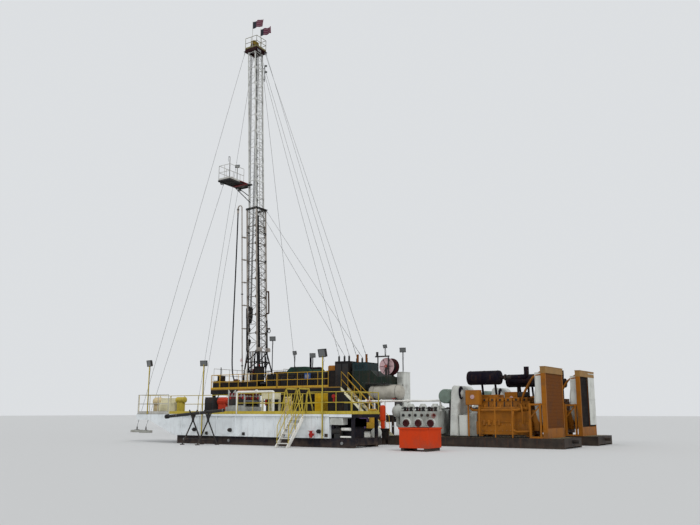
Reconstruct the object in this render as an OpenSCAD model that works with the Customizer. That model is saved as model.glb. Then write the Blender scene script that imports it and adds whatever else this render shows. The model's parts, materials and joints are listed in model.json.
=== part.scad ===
// Trailer drilling rig: telescoping guyed mast, raised floor, mud tank and two mud pump sets.
// The origin is on the ground under the mast, with the mast leaning towards -X over the well.

/* [Mast] */
// Height of the plane that the mast stands on
mast_foot_z = 4100; // [3950:50:4250]
// Lean of the mast towards the well, in degrees
mast_lean = 2.2; // [1.8:0.1:2.6]
// Height of the flared foot, along the mast
foot_h = 1900; // [1700:100:2100]
// Length of the lower section, along the mast
lower_h = 11300; // [11000:100:11600]
// Overlap of the two sections, along the mast
overlap_h = 1800; // [1500:100:2100]
// Height of the crown platform above the ground
crown_z = 31000; // [30500:100:31500]
// Outer depth of the lower section, along X
lower_dx = 1040; // [1000:10:1100]
// Outer width of the lower section, along Y
lower_dy = 1240; // [1200:10:1300]
// Side of the lower section's square legs
lower_leg = 100; // [90:5:110]
// Side of the upper section's square legs
upper_leg = 80; // [70:5:90]
// Gap between the two sections, all round
slide_gap = 20; // [15:1:25]
// Side of the bracing bars of the lower section
lower_web = 50; // [40:5:60]
// Side of the bracing bars of the upper section
upper_web = 40; // [35:5:50]
// Number of braced bays in the lower section
lower_bays = 8; // [7:1:9]
// Number of braced bays in the upper section
upper_bays = 11; // [10:1:12]

/* [Crown and hoist] */
// Distance of the hoisting line from the mast foot, along -X
hoist_x = 950; // [900:10:1000]
// Half size of the crown platform
crown_half = 620; // [580:10:680]
// Thickness of the crown platform
crown_t = 260; // [220:10:300]
// Radius of the crown sheaves
sheave_r = 360; // [330:10:380]
// Pitch of the crown sheaves
sheave_pitch = 80; // [75:1:90]
// Diameter of the drilling line
line_d = 30; // [24:2:36]
// Height of the top of the travelling block at rest
block_top_z = 9600; // [9400:100:9800]
// Height of the crown guard rail
guard_h = 1000; // [900:50:1100]
// Height of the tips of the flag poles above the ground
pole_top_z = 33600; // [33300:100:33900]

/* [Racking board] */
// Height of the board's floor
board_z = 19400; // [19200:100:19600]
// Height of the board's rail
board_rail_h = 1200; // [1100:50:1300]

/* [Rig deck] */
// Height of the side walkways
deck_z = 3200; // [3150:10:3250]
// Height of the drill floor
floor_z = 3750; // [3700:10:3800]
// Half width over the walkways
deck_half = 2700; // [2600:50:2800]
// Width of each side walkway
walk_w = 950; // [900:10:960]
// Thickness of the deck plates
deck_t = 60; // [50:5:80]
// End of the walkways beside the stair
deck_x1 = 9400; // [9300:50:9500]
// Rear end of the walkways
deck_x0 = -2200; // [-2300:50:-2100]
// Height of the handrails
rail_h = 1050; // [1000:10:1100]
// Diameter of the handrail tubes
rail_d = 42; // [38:1:48]
// Radius of the opening in the rotary table
rotary_bore_r = 130; // [120:5:150]

/* [Carrier] */
// Top of the carrier's main beams
frame_z = 1350; // [1300:10:1400]
// Depth of the main beams
frame_h = 450; // [400:10:500]
// Half distance between the main beams' centres
frame_y = 850; // [830:5:870]
// Width of each main beam
frame_w = 200; // [180:10:220]
// Front end of the carrier
frame_x1 = 13500; // [13500:50:13800]
// Radius of the tyres
tyre_r = 500; // [480:10:520]
// Width of one tyre
tyre_w = 235; // [220:5:245]
// Height of the engine house roof
house_z = 4250; // [4200:10:4300]

/* [Mud tank] */
// Distance of the tank's near wall in front of the mast
tank_y0 = -16500; // [-16600:50:-16400]
// Width of the tank
tank_w = 2400; // [2300:50:2500]
// Underside of the tank
tank_z0 = 400; // [380:10:420]
// Top of the tank
tank_z1 = 1450; // [1400:10:1500]
// Left end of the tank's deck
tank_x0 = 5600; // [5500:50:5700]
// Right end of the tank's wall
tank_x1 = 18000; // [17900:50:18100]
// Thickness of the tank's plates
tank_t = 20; // [15:1:30]
// Height of the tank's handrail
tank_rail_h = 1000; // [950:10:1050]

/* [Pump sets] */
// Near edge of the first pump skid
pump_y0 = -12350; // [-12400:10:-12300]
// Left end of the first pump skid
pump_x0 = 18600; // [18500:50:18700]
// Length of a pump skid
pump_l = 8600; // [8500:50:8700]
// Width of a pump skid
pump_w = 2450; // [2400:10:2500]
// Height of a pump skid
pump_skid_h = 400; // [380:10:420]
// Distance from the first pump set to the second
pump_pitch = 4100; // [3900:50:4300]
// Radius of the exhaust silencer
silencer_r = 320; // [300:5:340]

/* [Guys] */
// Diameter of the guy lines
guy_d = 28; // [24:2:32]
// Diameter of the guy lines' end fittings
guy_end_d = 90; // [80:5:100]

/* [Hidden] */

fit_gap = 0.3;
seat_gap = 0.3;
foot_z1 = foot_h + lower_h;
upper_z0 = foot_z1 - overlap_h;
upper_dx = lower_dx - 2 * lower_leg - 2 * slide_gap;
upper_dy = lower_dy - 2 * lower_leg - 2 * slide_gap;
upper_z1 = upper_z0 + upper_bays * 1440 + 400;
post_w = 140;
post_x = [-650, 850];
walk_y = deck_half - walk_w;
floor_x0 = -2900;
floor_x1 = 1500;
tank_y1 = tank_y0 + tank_w;

// Solid box between two opposite corners
module box(lo, hi) {
    translate(lo)
        cube(hi - lo);
}

// Square bar from one point to another
module bar(a, b, w) {
    d = b - a;
    translate(a)
        rotate([0, acos(d.z / norm(d)), atan2(d.y, d.x)])
            translate([-w / 2, -w / 2, 0])
                cube([w, w, norm(d)]);
}

// Round rod from one point to another
module rod(a, b, dia) {
    d = b - a;
    translate(a)
        rotate([0, acos(d.z / norm(d)), atan2(d.y, d.x)])
            cylinder(h = norm(d), d = dia, $fn = 24);
}

// Round bar along Y, centred on the point
module barrel_y(at, r, len) {
    translate([at.x, at.y - len / 2, at.z])
        rotate([-90, 0, 0])
            cylinder(h = len, r = r, $fn = 48);
}

// Round bar along X, starting at the point
module barrel_x(at, r, len) {
    translate(at)
        rotate([0, 90, 0])
            cylinder(h = len, r = r, $fn = 48);
}

// Places its children in the leaning frame of the mast
module on_mast() {
    translate([0, 0, mast_foot_z])
        rotate([0, -mast_lean, 0])
            children();
}

// X of the mast's axis at a height above the ground
function mast_axis_x(z) = -(z - mast_foot_z) * tan(mast_lean);

// Place above the ground of a point given in the mast's frame
function from_mast(p) = [
    p.x * cos(mast_lean) - p.z * sin(mast_lean),
    p.y,
    mast_foot_z + p.x * sin(mast_lean) + p.z * cos(mast_lean)
];

// Solid box between any two opposite corners
module block(a, b) {
    box([min(a.x, b.x), min(a.y, b.y), min(a.z, b.z)], [max(a.x, b.x), max(a.y, b.y), max(a.z, b.z)]);
}

// Flat outline in X and Z, thickened along Y from y0 to y1
module plate_xz(y0, y1, points) {
    translate([0, y1, 0])
        rotate([90, 0, 0])
            linear_extrude(y1 - y0)
                polygon(points);
}

// Handrail along a path of points: posts at the points, with a top rail and a middle rail
module rail_path(points, z, h) {
    for (p = points)
        box([p.x - rail_d / 2, p.y - rail_d / 2, z], [p.x + rail_d / 2, p.y + rail_d / 2, z + h]);
    for (i = [1:len(points) - 1])
        for (k = [0.52, 1]) {
            a = points[i - 1];
            b = points[i];
            bar([a.x, a.y, z + h * k - rail_d / 2], [b.x, b.y, z + h * k - rail_d / 2], rail_d * 0.8);
        }
}

// Vessel along X with domed ends, from its left end
module domed_vessel(at, r, len) {
    dome = r * 0.35;
    translate(at)
        rotate([0, 90, 0])
            rotate_extrude($fn = 48)
                polygon(concat(
                    [for (a = [0:15:90]) [r * sin(a), dome - dome * cos(a)]],
                    [for (a = [90:-15:0]) [r * sin(a), len - dome + dome * cos(a)]]
                ));
}

// Straight handrail along X: posts, two rails and a toe plate
module rail_x(x0, x1, y, z, h, gaps) {
    for (i = [0:gaps])
        box([x0 + (x1 - x0 - rail_d) * i / gaps, y, z], [x0 + (x1 - x0 - rail_d) * i / gaps + rail_d, y + rail_d, z + h]);
    for (k = [0.52, 1])
        box([x0, y, z + h * k - rail_d], [x1, y + rail_d, z + h * k]);
    box([x0, y + rail_d / 2 - 5, z], [x1, y + rail_d / 2 + 5, z + 150]);
}

// Straight handrail along Y
module rail_y(x, y0, y1, z, h, gaps) {
    translate([x, 0, 0])
        mirror([1, -1, 0])
            rail_x(y0, y1, 0, z, h, gaps);
}

// Flat side of a square-leg tower: two legs, cross bars and diagonals, in the mast's frame
module truss_side(dx, y0, leg, z0, z1, bays, web) {
    bay = (z1 - z0) / bays;
    xc = dx / 2 - leg / 2;
    yc = y0 + leg / 2;
    for (s = [-1, 1])
        box([s * xc - leg / 2, y0, z0], [s * xc + leg / 2, y0 + leg, z1]);
    for (i = [0:bays - 1])
        box([-xc, yc - web / 2, z0 + bay * i + web], [xc, yc + web / 2, z0 + bay * i + 2 * web]);
    for (i = [0:bays - 1]) {
        s = i % 2 == 0 ? 1 : -1;
        bar([-s * xc, yc, z0 + bay * i + 1.5 * web], [s * xc, yc, z0 + bay * (i + 1) - web], web * 0.8);
    }
}

// Back of a tower: cross bars and diagonals between the legs of its two sides
module truss_back(dx, dy, leg, z0, z1, bays, web) {
    bay = (z1 - z0) / bays;
    xc = dx / 2 - leg / 2;
    yi = dy / 2 - leg;
    for (i = [0:bays])
        box([xc - web / 2, -yi, min(z0 + bay * i, z1 - web)], [xc + web / 2, yi, min(z0 + bay * i, z1 - web) + web]);
    intersection() {
        box([xc - web, -yi, z0], [xc + web, yi, z1]);
        for (i = [0:bays - 1]) {
            s = i % 2 == 0 ? 1 : -1;
            bar([xc, -s * yi, z0 + bay * i + web / 2], [xc, s * yi, z0 + bay * (i + 1)], web * 0.8);
        }
    }
}

// Floodlight: pole, bracket and square lamp head
module lamp_pole(x, y, z0, z1, turn, size) {
    translate([x, y, z0]) {
        cylinder(h = z1 - z0 - size / 2, r = 30, $fn = 24);
        translate([0, 0, z1 - z0])
            rotate([20, 0, turn])
                cube([size * 1.3, size * 0.35, size], center = true);
    }
}

module carrier_frame() {
    color("#24272a") {
        for (s = [-1, 1])
            box([-1000, s * frame_y - frame_w / 2, frame_z - frame_h], [frame_x1, s * frame_y + frame_w / 2, frame_z]);
        for (x = [0, 2600, 5500, 8200, 10800, 13300])
            box([x - 150, -frame_y, frame_z - frame_h], [x + 150, frame_y, frame_z]);
        for (x = axle_x)
            for (s = [-1, 1])
                box([x - 120, s * frame_y - 60, tyre_r + 60], [x + 120, s * frame_y + 60, frame_z - frame_h]);
        for (x = axle_x)
            box([x - 60, -axle_end, tyre_r - 60], [x + 60, axle_end, tyre_r + 60]);
    }
}

axle_x = [4200, 5500, 6800];
axle_end = frame_y + 130;

module carrier_wheels() {
    color("#191919")
        for (x = axle_x)
            for (s = [-1, 1]) {
                for (k = [0, 1])
                    barrel_y([x, s * (axle_end + tyre_w / 2 + k * (tyre_w + 30)), tyre_r], tyre_r, tyre_w);
                barrel_y([x, s * (axle_end + tyre_w + 15), tyre_r], 190, 2 * tyre_w);
            }
}

jack_x = [-400, 2600, 9200, 12600];
jack_y = frame_y + frame_w / 2 + 420;

module carrier_jacks() {
    color("#3a3d40") {
        for (x = jack_x)
            for (s = [-1, 1]) {
                box([x - 90, min(s * (frame_y + frame_w / 2), s * jack_y), frame_z - 380],
                    [x + 90, max(s * (frame_y + frame_w / 2), s * jack_y), frame_z - 200]);
                translate([x, s * jack_y, 60])
                    cylinder(h = frame_z - 60, r = 85, $fn = 32);
                box([x - 280, s * jack_y - 280, 0], [x + 280, s * jack_y + 280, 60]);
            }
        box([-400, -400, 0], [400, 400, 60]);
        translate([0, 0, 60])
            cylinder(h = frame_z - frame_h - 60, r = 110, $fn = 32);
    }
}

deck_post_x = [-2050, 1900, 5300, 9100];

module rig_deck() {
    color("#b08a1e")
        for (s = [-1, 1]) {
            y0 = s < 0 ? -deck_half : walk_y;
            x0 = s < 0 ? deck_x0 : floor_x1 + seat_gap;
            box([x0, y0, deck_z - deck_t], [deck_x1, y0 + walk_w, deck_z]);
            box([x0, y0 + (s < 0 ? 60 : walk_w - 160), deck_z - deck_t - 300],
                [deck_x1, y0 + (s < 0 ? 160 : walk_w - 60), deck_z - deck_t]);
            box([x0, y0 + (s < 0 ? walk_w - 160 : 60), deck_z - deck_t - 160],
                [deck_x1, y0 + (s < 0 ? walk_w - 60 : 160), deck_z - deck_t]);
        }
    color("#24272a")
        for (x = deck_post_x)
            for (s = [-1, 1])
                if (s < 0 || x > floor_x1) {
                    y = s * (deck_half - 110);
                    box([x - 50, y - 50, 40], [x + 50, y + 50, deck_z - deck_t - 300]);
                    box([x - 200, y - 200, 0], [x + 200, y + 200, 40]);
                    block([x - 40, y, deck_z - deck_t - 160], [x + 40, s * (walk_y + 60), deck_z - deck_t]);
                    bar([x, y, 1900], [x, s * (walk_y + 90), deck_z - deck_t - 80], 70);
                }
}

module drill_floor() {
    color("#1d1b1a")
        difference() {
            union() {
                box([floor_x0, -walk_y + seat_gap, floor_z - deck_t], [floor_x1, deck_half, floor_z]);
                box([floor_x0, -walk_y + seat_gap, deck_z - 400], [floor_x1, -walk_y + seat_gap + 40, floor_z - deck_t]);
                box([floor_x0, deck_half - 40, deck_z - 400], [floor_x1, deck_half, floor_z - deck_t]);
                box([floor_x0, -walk_y + seat_gap, deck_z - 400], [floor_x0 + 40, deck_half, floor_z - deck_t]);
                for (p = floor_legs) {
                    box([p.x - 70, p.y - 70, 50], [p.x + 70, p.y + 70, floor_z - deck_t]);
                    box([p.x - 250, p.y - 250, 0], [p.x + 250, p.y + 250, 50]);
                }
            }
            for (x = post_x)
                for (s = [-1, 1])
                    box([x - post_w / 2 - 10, s * frame_y - post_w / 2 - 10, floor_z - deck_t - 1],
                        [x + post_w / 2 + 10, s * frame_y + post_w / 2 + 10, floor_z + 1]);
            translate([-hoist_x, 0, floor_z - deck_t - 1])
                cylinder(h = deck_t + 2, r = rotary_r + fit_gap, $fn = 64);
        }
}

floor_legs = [[floor_x0 + 110, -walk_y + seat_gap + 110], [floor_x0 + 110, deck_half - 110],
              [floor_x1 - 110, deck_half - 110]];
rotary_r = 330;

module rotary_table() {
    color("#5b5f63")
        translate([-hoist_x, 0, floor_z - deck_t])
            difference() {
                union() {
                    cylinder(h = deck_t, r = rotary_r, $fn = 64);
                    translate([0, 0, deck_t])
                        cylinder(h = 120, r = rotary_r + 60, $fn = 64);
                }
                translate([0, 0, -1])
                    cylinder(h = deck_t + 122, r = rotary_bore_r, $fn = 64);
            }
}

module deck_rails() {
    color("#c79a1f") {
        rail_x(deck_x0, deck_x1 - 5400, -deck_half, deck_z, rail_h, 4);
        rail_x(deck_x1 - 5300, deck_x1 - 1000, -deck_half, deck_z, rail_h, 3);
        rail_y(deck_x0, -deck_half + 80, -walk_y - 60, deck_z, rail_h, 1);
        rail_x(floor_x1 + 100, deck_x1, deck_half - rail_d, deck_z, rail_h, 6);
        rail_y(deck_x1 - rail_d, walk_y + 20, deck_half - 80, deck_z, rail_h, 1);
    }
}

module floor_rails() {
    color("#a9a9a4") {
        rail_x(floor_x0 + 80, floor_x1, deck_half - rail_d, floor_z, rail_h, 3);
        rail_y(floor_x0, -walk_y + 60, deck_half, floor_z, rail_h, 3);
        rail_y(floor_x1 - rail_d, 1350, deck_half - 80, floor_z, rail_h, 1);
    }
    color("#2f3235") {
        box([floor_x0 + 150, -1500, floor_z], [floor_x0 + 600, -950, floor_z + 520]);
        box([floor_x0 + 330, -1290, floor_z + 520], [floor_x0 + 420, -1200, floor_z + 1150]);
        box([-300, 1500, floor_z], [700, 2300, floor_z + 700]);
        box([700, 1700, floor_z + 100], [900, 2100, floor_z + 500]);
    }
    color("#dfe0dc")
        for (x = [150, 420])
            box([x, -1640, floor_z], [x + 130, -1510, floor_z + (x < 300 ? 900 : 620)]);
}

module engine_house() {
    color("#1b1c1d") {
        box([2000, -1300, frame_z], [5200, 1300, house_z]);
        box([5200, -1300, frame_z], [7200, 1300, house_z - 60]);
        box([5230, -1270, house_z - 60], [7170, 1270, house_z]);
        box([7200, -1200, frame_z], [7990, 1200, house_z + 120]);
        for (x = [2100:620:4600])
            box([x, -1340, 1700], [x + 520, -1300, house_z - 150]);
        for (x = [5300, 6250])
            box([x, -1340, 1600], [x + 850, -1300, house_z - 200]);
    }
    color("#8a5a26") {
        box([7260, -1050, house_z + 120], [7940, -350, house_z + 480]);
        barrel_x([7260, -150, house_z + 240], 130, 600);
        box([7300, 150, house_z + 120], [7900, 900, house_z + 330]);
    }
    color("#2f3235") {
        box([2300, -900, house_z], [3300, -250, house_z + 200]);
        barrel_x([3300, -575, house_z + 120], 80, 60);
    }
    color("#2a4d86")
        box([5500, -1440, house_z - 420], [6000, -1340, house_z - 20]);
}

module house_cover() {
    color("#1f3b33")
        plate_xz(-1000, 1150, [[3380, house_z], [5740, house_z], [5230, house_z + 480], [3920, house_z + 480]]);
}

exhaust_y = -1120;
rear_box_z = 4850;

module rig_exhausts() {
    color("#17171a") {
        translate([6750, exhaust_y, house_z])
            cylinder(h = 360, r = 55, $fn = 32);
        barrel_x([5800, exhaust_y, house_z + 330], 60, 1020);
        translate([5800, exhaust_y, house_z + 330])
            cylinder(h = 1050, r = 55, $fn = 32);
    }
    color("#6a5a3a")
        for (x = [9620, 10320])
            translate([x, -900, rear_box_z])
                cylinder(h = 560, r = 75, $fn = 32);
}

guy_post_z = 5320;
rear_top_z = 4970;
guy_posts = [[8250, -1150], [8700, -1150], [9080, -1150], [8250, 1150], [8700, 1150], [9080, 1150]];
neck_z = 4280;
reel_deck_z = 3850;

module rear_boxes() {
    color("#201a22") {
        box([8000, -1300, frame_z], [9160, 1300, rear_top_z]);
        for (p = guy_posts)
            box([p.x - 45, p.y - 45, rear_top_z], [p.x + 45, p.y + 45, guy_post_z]);
        for (s = [-1, 1])
            box([guy_posts[0].x, s * 1150 - 25, guy_post_z - 150], [guy_posts[2].x, s * 1150 + 25, guy_post_z - 100]);
        box([8100, -1340, 1600], [9060, -1300, rear_top_z - 250]);
    }
    color("#18323a") {
        box([9450, -1300, neck_z], [10500, 300, rear_box_z]);
        box([9560, -1320, neck_z + 100], [10390, -1300, rear_box_z - 80]);
    }
}

module gooseneck_body() {
    color("#173038") {
        plate_xz(-1300, 1300, [[9400, 3100], [10400, 3100], [10450, 3360], [12300, 3360], [12300, reel_deck_z],
                               [11400, reel_deck_z], [10900, neck_z], [9400, neck_z]]);
        for (p = [[9600, -frame_y], [9600, frame_y], [10300, -frame_y], [12100, frame_y]])
            box([p.x - 80, p.y - 80, frame_z], [p.x + 80, p.y + 80, p.x > 11000 ? 3360 : 3100]);
    }
}

reel_at = [12050, -800, 4520];
reel_r = 560;
reel_w = 760;
shaft_r = 40;
gantry_x = [11430, 12240];
gantry_y = -1240;
gantry_z = 5130;

module reel_stand() {
    color("#1b1f22") {
        for (s = [-1, 1])
            translate([reel_at.x, reel_at.y + s * (reel_w / 2 + 70) + 30, reel_at.z])
                rotate([90, 0, 0])
                    difference() {
                        union() {
                            cylinder(h = 60, r = 110, $fn = 32);
                            translate([-60, reel_deck_z - reel_at.z, 0])
                                cube([120, reel_at.z - reel_deck_z, 60]);
                        }
                        translate([0, 0, -1])
                            cylinder(h = 62, r = shaft_r + 0.05, $fn = 48);
                    }
        for (x = gantry_x)
            box([x - 30, gantry_y - 30, reel_deck_z], [x + 30, gantry_y + 30, gantry_z]);
        box([gantry_x[0] - 200, gantry_y - 40, gantry_z], [gantry_x[1] + 60, gantry_y + 40, gantry_z + 90]);
        box([gantry_x[0] - 120, gantry_y - 40, gantry_z + 90], [gantry_x[0] + 20, gantry_y + 40, gantry_z + 350]);
    }
}

module hose_reel() {
    color("#a08d92") {
        for (s = [-1, 1])
            barrel_y([reel_at.x, reel_at.y + s * (reel_w / 2 - 15), reel_at.z], reel_r, 30);
        barrel_y(reel_at, reel_r * 0.6, reel_w - 30);
        barrel_y(reel_at, shaft_r, reel_w + 2 * 130);
        for (a = [0:60:300])
            translate([reel_at.x + reel_r * 0.7 * cos(a), reel_at.y - reel_w / 2 - 20, reel_at.z + reel_r * 0.7 * sin(a)])
                rotate([-90, 0, 0])
                    cylinder(h = 30, r = 60, $fn = 24);
    }
}

vessel_at = [10600, -900, 2830];
vessel_r = 490;
vessel_l = 2550;

module air_vessel() {
    color("#b9bdb8") {
        domed_vessel(vessel_at, vessel_r, vessel_l);
        for (x = [vessel_at.x + 450, vessel_at.x + vessel_l - 450])
            difference() {
                box([x - 50, vessel_at.y - 300, frame_z], [x + 50, vessel_at.y + 300, vessel_at.z - vessel_r * 0.6]);
                box([x - 51, vessel_at.y - 200, frame_z + 150], [x + 51, vessel_at.y + 200, vessel_at.z - vessel_r * 1.3]);
            }
    }
}

module control_cabinet() {
    color("#1d2b30") {
        box([12350, -300, frame_z], [12850, 600, 4180]);
        box([12370, frame_w / 2 - frame_y, frame_z - 120], [12830, frame_y - frame_w / 2, frame_z]);
        for (k = [0, 1])
            box([12400 + 230 * k, -320, frame_z + 150], [12580 + 230 * k, -300, 4080]);
        box([12850, -200, frame_z + 300], [12870, 500, 3900]);
    }
}

stair_run = 3600;
stair_w = 850;
stair_y = -deck_half + 30;
stair_treads = 13;

// Places of the stair's treads and of its rail posts
function tread_z(i) = deck_z - deck_z * i / (stair_treads + 1);
function tread_x(i) = deck_x1 + stair_run * i / (stair_treads + 1);
function stair_at(i) = deck_x1 + 80 + i * (stair_run - 300) / 3;
function stair_rise(i) = deck_z - (stair_at(i) - deck_x1) * deck_z / stair_run;

module deck_stair() {
    color("#c9b98a") {
        for (s = [0, 1]) {
            y = stair_y + s * (stair_w - 50);
            plate_xz(y, y + 50, [[deck_x1, deck_z], [deck_x1, deck_z - 260],
                                 [deck_x1 + stair_run - 300, 0], [deck_x1 + stair_run, 0]]);
            for (i = [0:3])
                box([stair_at(i), y + 5, stair_rise(i) - 60], [stair_at(i) + 40, y + 45, stair_rise(i) + 950]);
            bar([stair_at(0) + 20, y + 25, stair_rise(0) + 930], [stair_at(3) + 20, y + 25, stair_rise(3) + 930], 36);
            bar([stair_at(0) + 20, y + 25, stair_rise(0) + 450], [stair_at(3) + 20, y + 25, stair_rise(3) + 450], 34);
        }
        for (i = [1:stair_treads])
            box([tread_x(i) - 220, stair_y + 20, tread_z(i) - 40], [tread_x(i) + 30, stair_y + stair_w - 20, tread_z(i)]);
    }
}

module mast_support() {
    color("#2b2d30")
        difference() {
            union() {
                for (x = post_x)
                    for (s = [-1, 1])
                        box([x - post_w / 2, s * frame_y - post_w / 2, frame_z], [x + post_w / 2, s * frame_y + post_w / 2, mast_foot_z + 200]);
                for (s = [-1, 1])
                    for (z = [2300, 3300])
                        box([post_x[0], s * frame_y - 50, z], [post_x[1], s * frame_y + 50, z + 100]);
            }
            on_mast()
                box([-2000, -2000, 0], [2000, 2000, 800]);
        }
}

// Centre of a flared leg at a height along the mast; k is 0 for the well side and 1 for the back
function foot_leg_x(k, z) = post_x[k] + ((2 * k - 1) * (lower_dx - lower_leg) / 2 - post_x[k]) * z / foot_h;
function foot_leg_y(z) = frame_y + ((lower_dy - lower_leg) / 2 - frame_y) * z / foot_h;

module mast_foot() {
    color("#1f2022")
        on_mast()
            intersection() {
                box([-1500, -1500, 0], [1500, 1500, foot_h]);
                union() {
                    for (s = [-1, 1])
                        for (k = [0, 1])
                            bar([foot_leg_x(k, -150), s * foot_leg_y(-150), -150],
                                [foot_leg_x(k, foot_h + 150), s * foot_leg_y(foot_h + 150), foot_h + 150], lower_leg);
                    for (s = [-1, 1])
                        for (z = [450, 1150])
                            bar([foot_leg_x(0, z), s * foot_leg_y(z), z], [foot_leg_x(1, z), s * foot_leg_y(z), z], 70);
                    for (s = [-1, 1]) {
                        bar([foot_leg_x(0, 450), s * foot_leg_y(450), 450],
                            [foot_leg_x(1, 1150), s * foot_leg_y(1150), 1150], 60);
                        bar([foot_leg_x(0, 1150), s * foot_leg_y(1150), 1150],
                            [foot_leg_x(1, foot_h), s * foot_leg_y(foot_h), foot_h], 60);
                    }
                    bar([foot_leg_x(1, 1150), -foot_leg_y(1150), 1150], [foot_leg_x(1, 1150), foot_leg_y(1150), 1150], 70);
                }
            }
}

module mast_lower_near() {
    color("#4c4f52")
        on_mast()
            truss_side(lower_dx, -lower_dy / 2, lower_leg, foot_h, foot_z1, lower_bays, lower_web);
}

module mast_lower_far() {
    color("#4c4f52")
        on_mast()
            truss_side(lower_dx, lower_dy / 2 - lower_leg, lower_leg, foot_h, foot_z1, lower_bays, lower_web);
}

module mast_lower_back() {
    color("#4c4f52")
        on_mast()
            truss_back(lower_dx, lower_dy, lower_leg, foot_h, foot_z1, lower_bays, lower_web);
}

// Cuts its children level at the underside of the crown platform
module below_crown() {
    intersection() {
        children();
        box([-4000, -2000, 0], [2000, 2000, crown_z]);
    }
}

module mast_upper_near() {
    color("#a7aaa6")
        below_crown()
            on_mast()
                truss_side(upper_dx, -upper_dy / 2, upper_leg, upper_z0, upper_z1, upper_bays, upper_web);
}

module mast_upper_far() {
    color("#a7aaa6")
        below_crown()
            on_mast()
                truss_side(upper_dx, upper_dy / 2 - upper_leg, upper_leg, upper_z0, upper_z1, upper_bays, upper_web);
}

module mast_upper_back() {
    color("#a7aaa6")
        below_crown()
            on_mast()
                truss_back(upper_dx, upper_dy, upper_leg, upper_z0, upper_z1, upper_bays, upper_web);
}

module mast_splice() {
    color("#33363a")
        on_mast() {
            for (s = [-1, 1])
                block([-lower_dx / 2 - 30, s * upper_dy / 2, foot_z1], [lower_dx / 2 + 30, s * (lower_dy / 2 + 30), foot_z1 + 150]);
            box([upper_dx / 2, -lower_dy / 2 - 30, foot_z1], [lower_dx / 2 + 30, lower_dy / 2 + 30, foot_z1 + 150]);
            box([lower_dx / 2 + 30, -lower_dy / 2, foot_z1 + 60], [lower_dx / 2 + 150, lower_dy / 2, foot_z1 + 100]);
            for (s = [-1, 1])
                for (k = [-1, 1])
                    block([k * lower_dx / 2, s * (lower_dy / 2 - lower_leg), upper_z0 - 100],
                          [k * (upper_dx / 2 - upper_leg), s * (upper_dy / 2 - upper_leg), upper_z0]);
        }
}

crown_x = mast_axis_x(crown_z);
axle_z = crown_z + crown_t + 420;
axle_r = 45;
well_half = 200;
lug_l = 140;
crown_axle_x = -1150;

module crown_frame() {
    color("#1c1d1f") {
        difference() {
            box([crown_x - crown_half, -crown_half, crown_z], [crown_x + crown_half, crown_half, crown_z + crown_t]);
            box([crown_axle_x - sheave_r - 60, -well_half, crown_z - 1], [crown_axle_x + sheave_r + 60, well_half, crown_z + crown_t + 1]);
        }
        for (s = [-1, 1])
            difference() {
                box([crown_axle_x - 130, s * (well_half + 35) - 30, crown_z + crown_t], [crown_axle_x + 130, s * (well_half + 35) + 30, axle_z + 110]);
                barrel_y([crown_axle_x, s * (well_half + 35), axle_z], axle_r, 100);
            }
        for (k = [-1, 1])
            block([crown_x + k * crown_half, -crown_half, crown_z + 80], [crown_x + k * (crown_half + lug_l), crown_half, crown_z + 120]);
    }
}

module crown_sheaves() {
    color("#c9a227") {
        for (i = [-1.5:1:1.5])
            barrel_y([crown_axle_x, i * sheave_pitch, axle_z], sheave_r, 50);
        barrel_y([crown_axle_x, 0, axle_z], axle_r, 2 * (well_half + 75));
    }
}

crown_deck_z = crown_z + crown_t;
pole_r = 19;
pole_y = crown_half - rail_d / 2;
flag_poles = [[-900, -pole_y, pole_top_z], [-1050, pole_y, pole_top_z - 100]];
flag_w = 1250;
flag_h = 620;

module crown_rail() {
    color("#c9a227") {
        for (s = [-1, 1])
            rail_x(crown_x - crown_half, crown_x + crown_half, s < 0 ? -crown_half : crown_half - rail_d, crown_deck_z, guard_h, 2);
        rail_y(crown_x + crown_half - rail_d, -crown_half + 80, crown_half - 80, crown_deck_z, guard_h, 1);
    }
    color("#8e9193")
        for (p = flag_poles)
            translate([p.x, p.y, crown_deck_z])
                cylinder(h = p.z - crown_deck_z, r = pole_r, $fn = 16);
}

module flags() {
    color("#1d2747")
        for (p = flag_poles)
            box([p.x + pole_r + fit_gap, p.y - 10, p.z - flag_h - 60], [p.x + pole_r + flag_w, p.y + 10, p.z - 60]);
}

board_mast_x = mast_axis_x(board_z);
board_x0 = -2200;
board_x1 = -1000;
board_y0 = -2700;
board_y1 = -160;

module racking_board() {
    color("#241c1c") {
        translate([0, 0, board_z - 80])
            linear_extrude(80)
                polygon([[board_x0, board_y0], [board_x0, board_y1], [-hoist_x - block_w / 2 - 110, board_y1],
                         [-hoist_x - block_w / 2 - 110, -upper_dy / 2], [board_mast_x, -upper_dy / 2],
                         [board_x1, -1000], [board_x1, board_y0]]);
        intersection() {
            bar([board_x0 + 500, board_y0 + 900, board_z - 70],
                [board_mast_x - 100, -upper_dy / 2 + 60, board_z - 1600], 60);
            box([-3000, -3000, board_z - 2000], [0, -upper_dy / 2, board_z - 79]);
        }
        for (p = [[board_x0 + 120, board_y0 + 300], [board_x0 + 120, board_y1 - 120]])
            box([p.x - 110, p.y - 90, board_z - 330], [p.x + 110, p.y + 90, board_z - 80]);
    }
}

module racking_rail() {
    color("#2a2d30") {
        rail_path([[board_x0 + 30, board_y1 - 30], [board_x0 + 30, -950], [board_x0 + 30, -1750], [board_x0 + 30, board_y0 + 30],
                   [board_x1 - 30, board_y0 + 30], [board_x1 - 30, -1850], [board_x1 - 30, -1030]], board_z, board_rail_h);
        box([board_x0 + 10, -1480, board_z], [board_x0 + 50, -1440, board_z + 2350]);
        box([board_x0 - 150, -1480, board_z + 2300], [board_x0 + 50, -1440, board_z + 2350]);
        box([board_x0 + 10, -560, board_z], [board_x0 + 50, -520, board_z + 1700]);
        translate([board_x0 + 30, -540, board_z + 1750])
            rotate([0, -20, 25])
                cube([330, 200, 120], center = true);
    }
}

lamp_bar_z = 24350;

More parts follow.
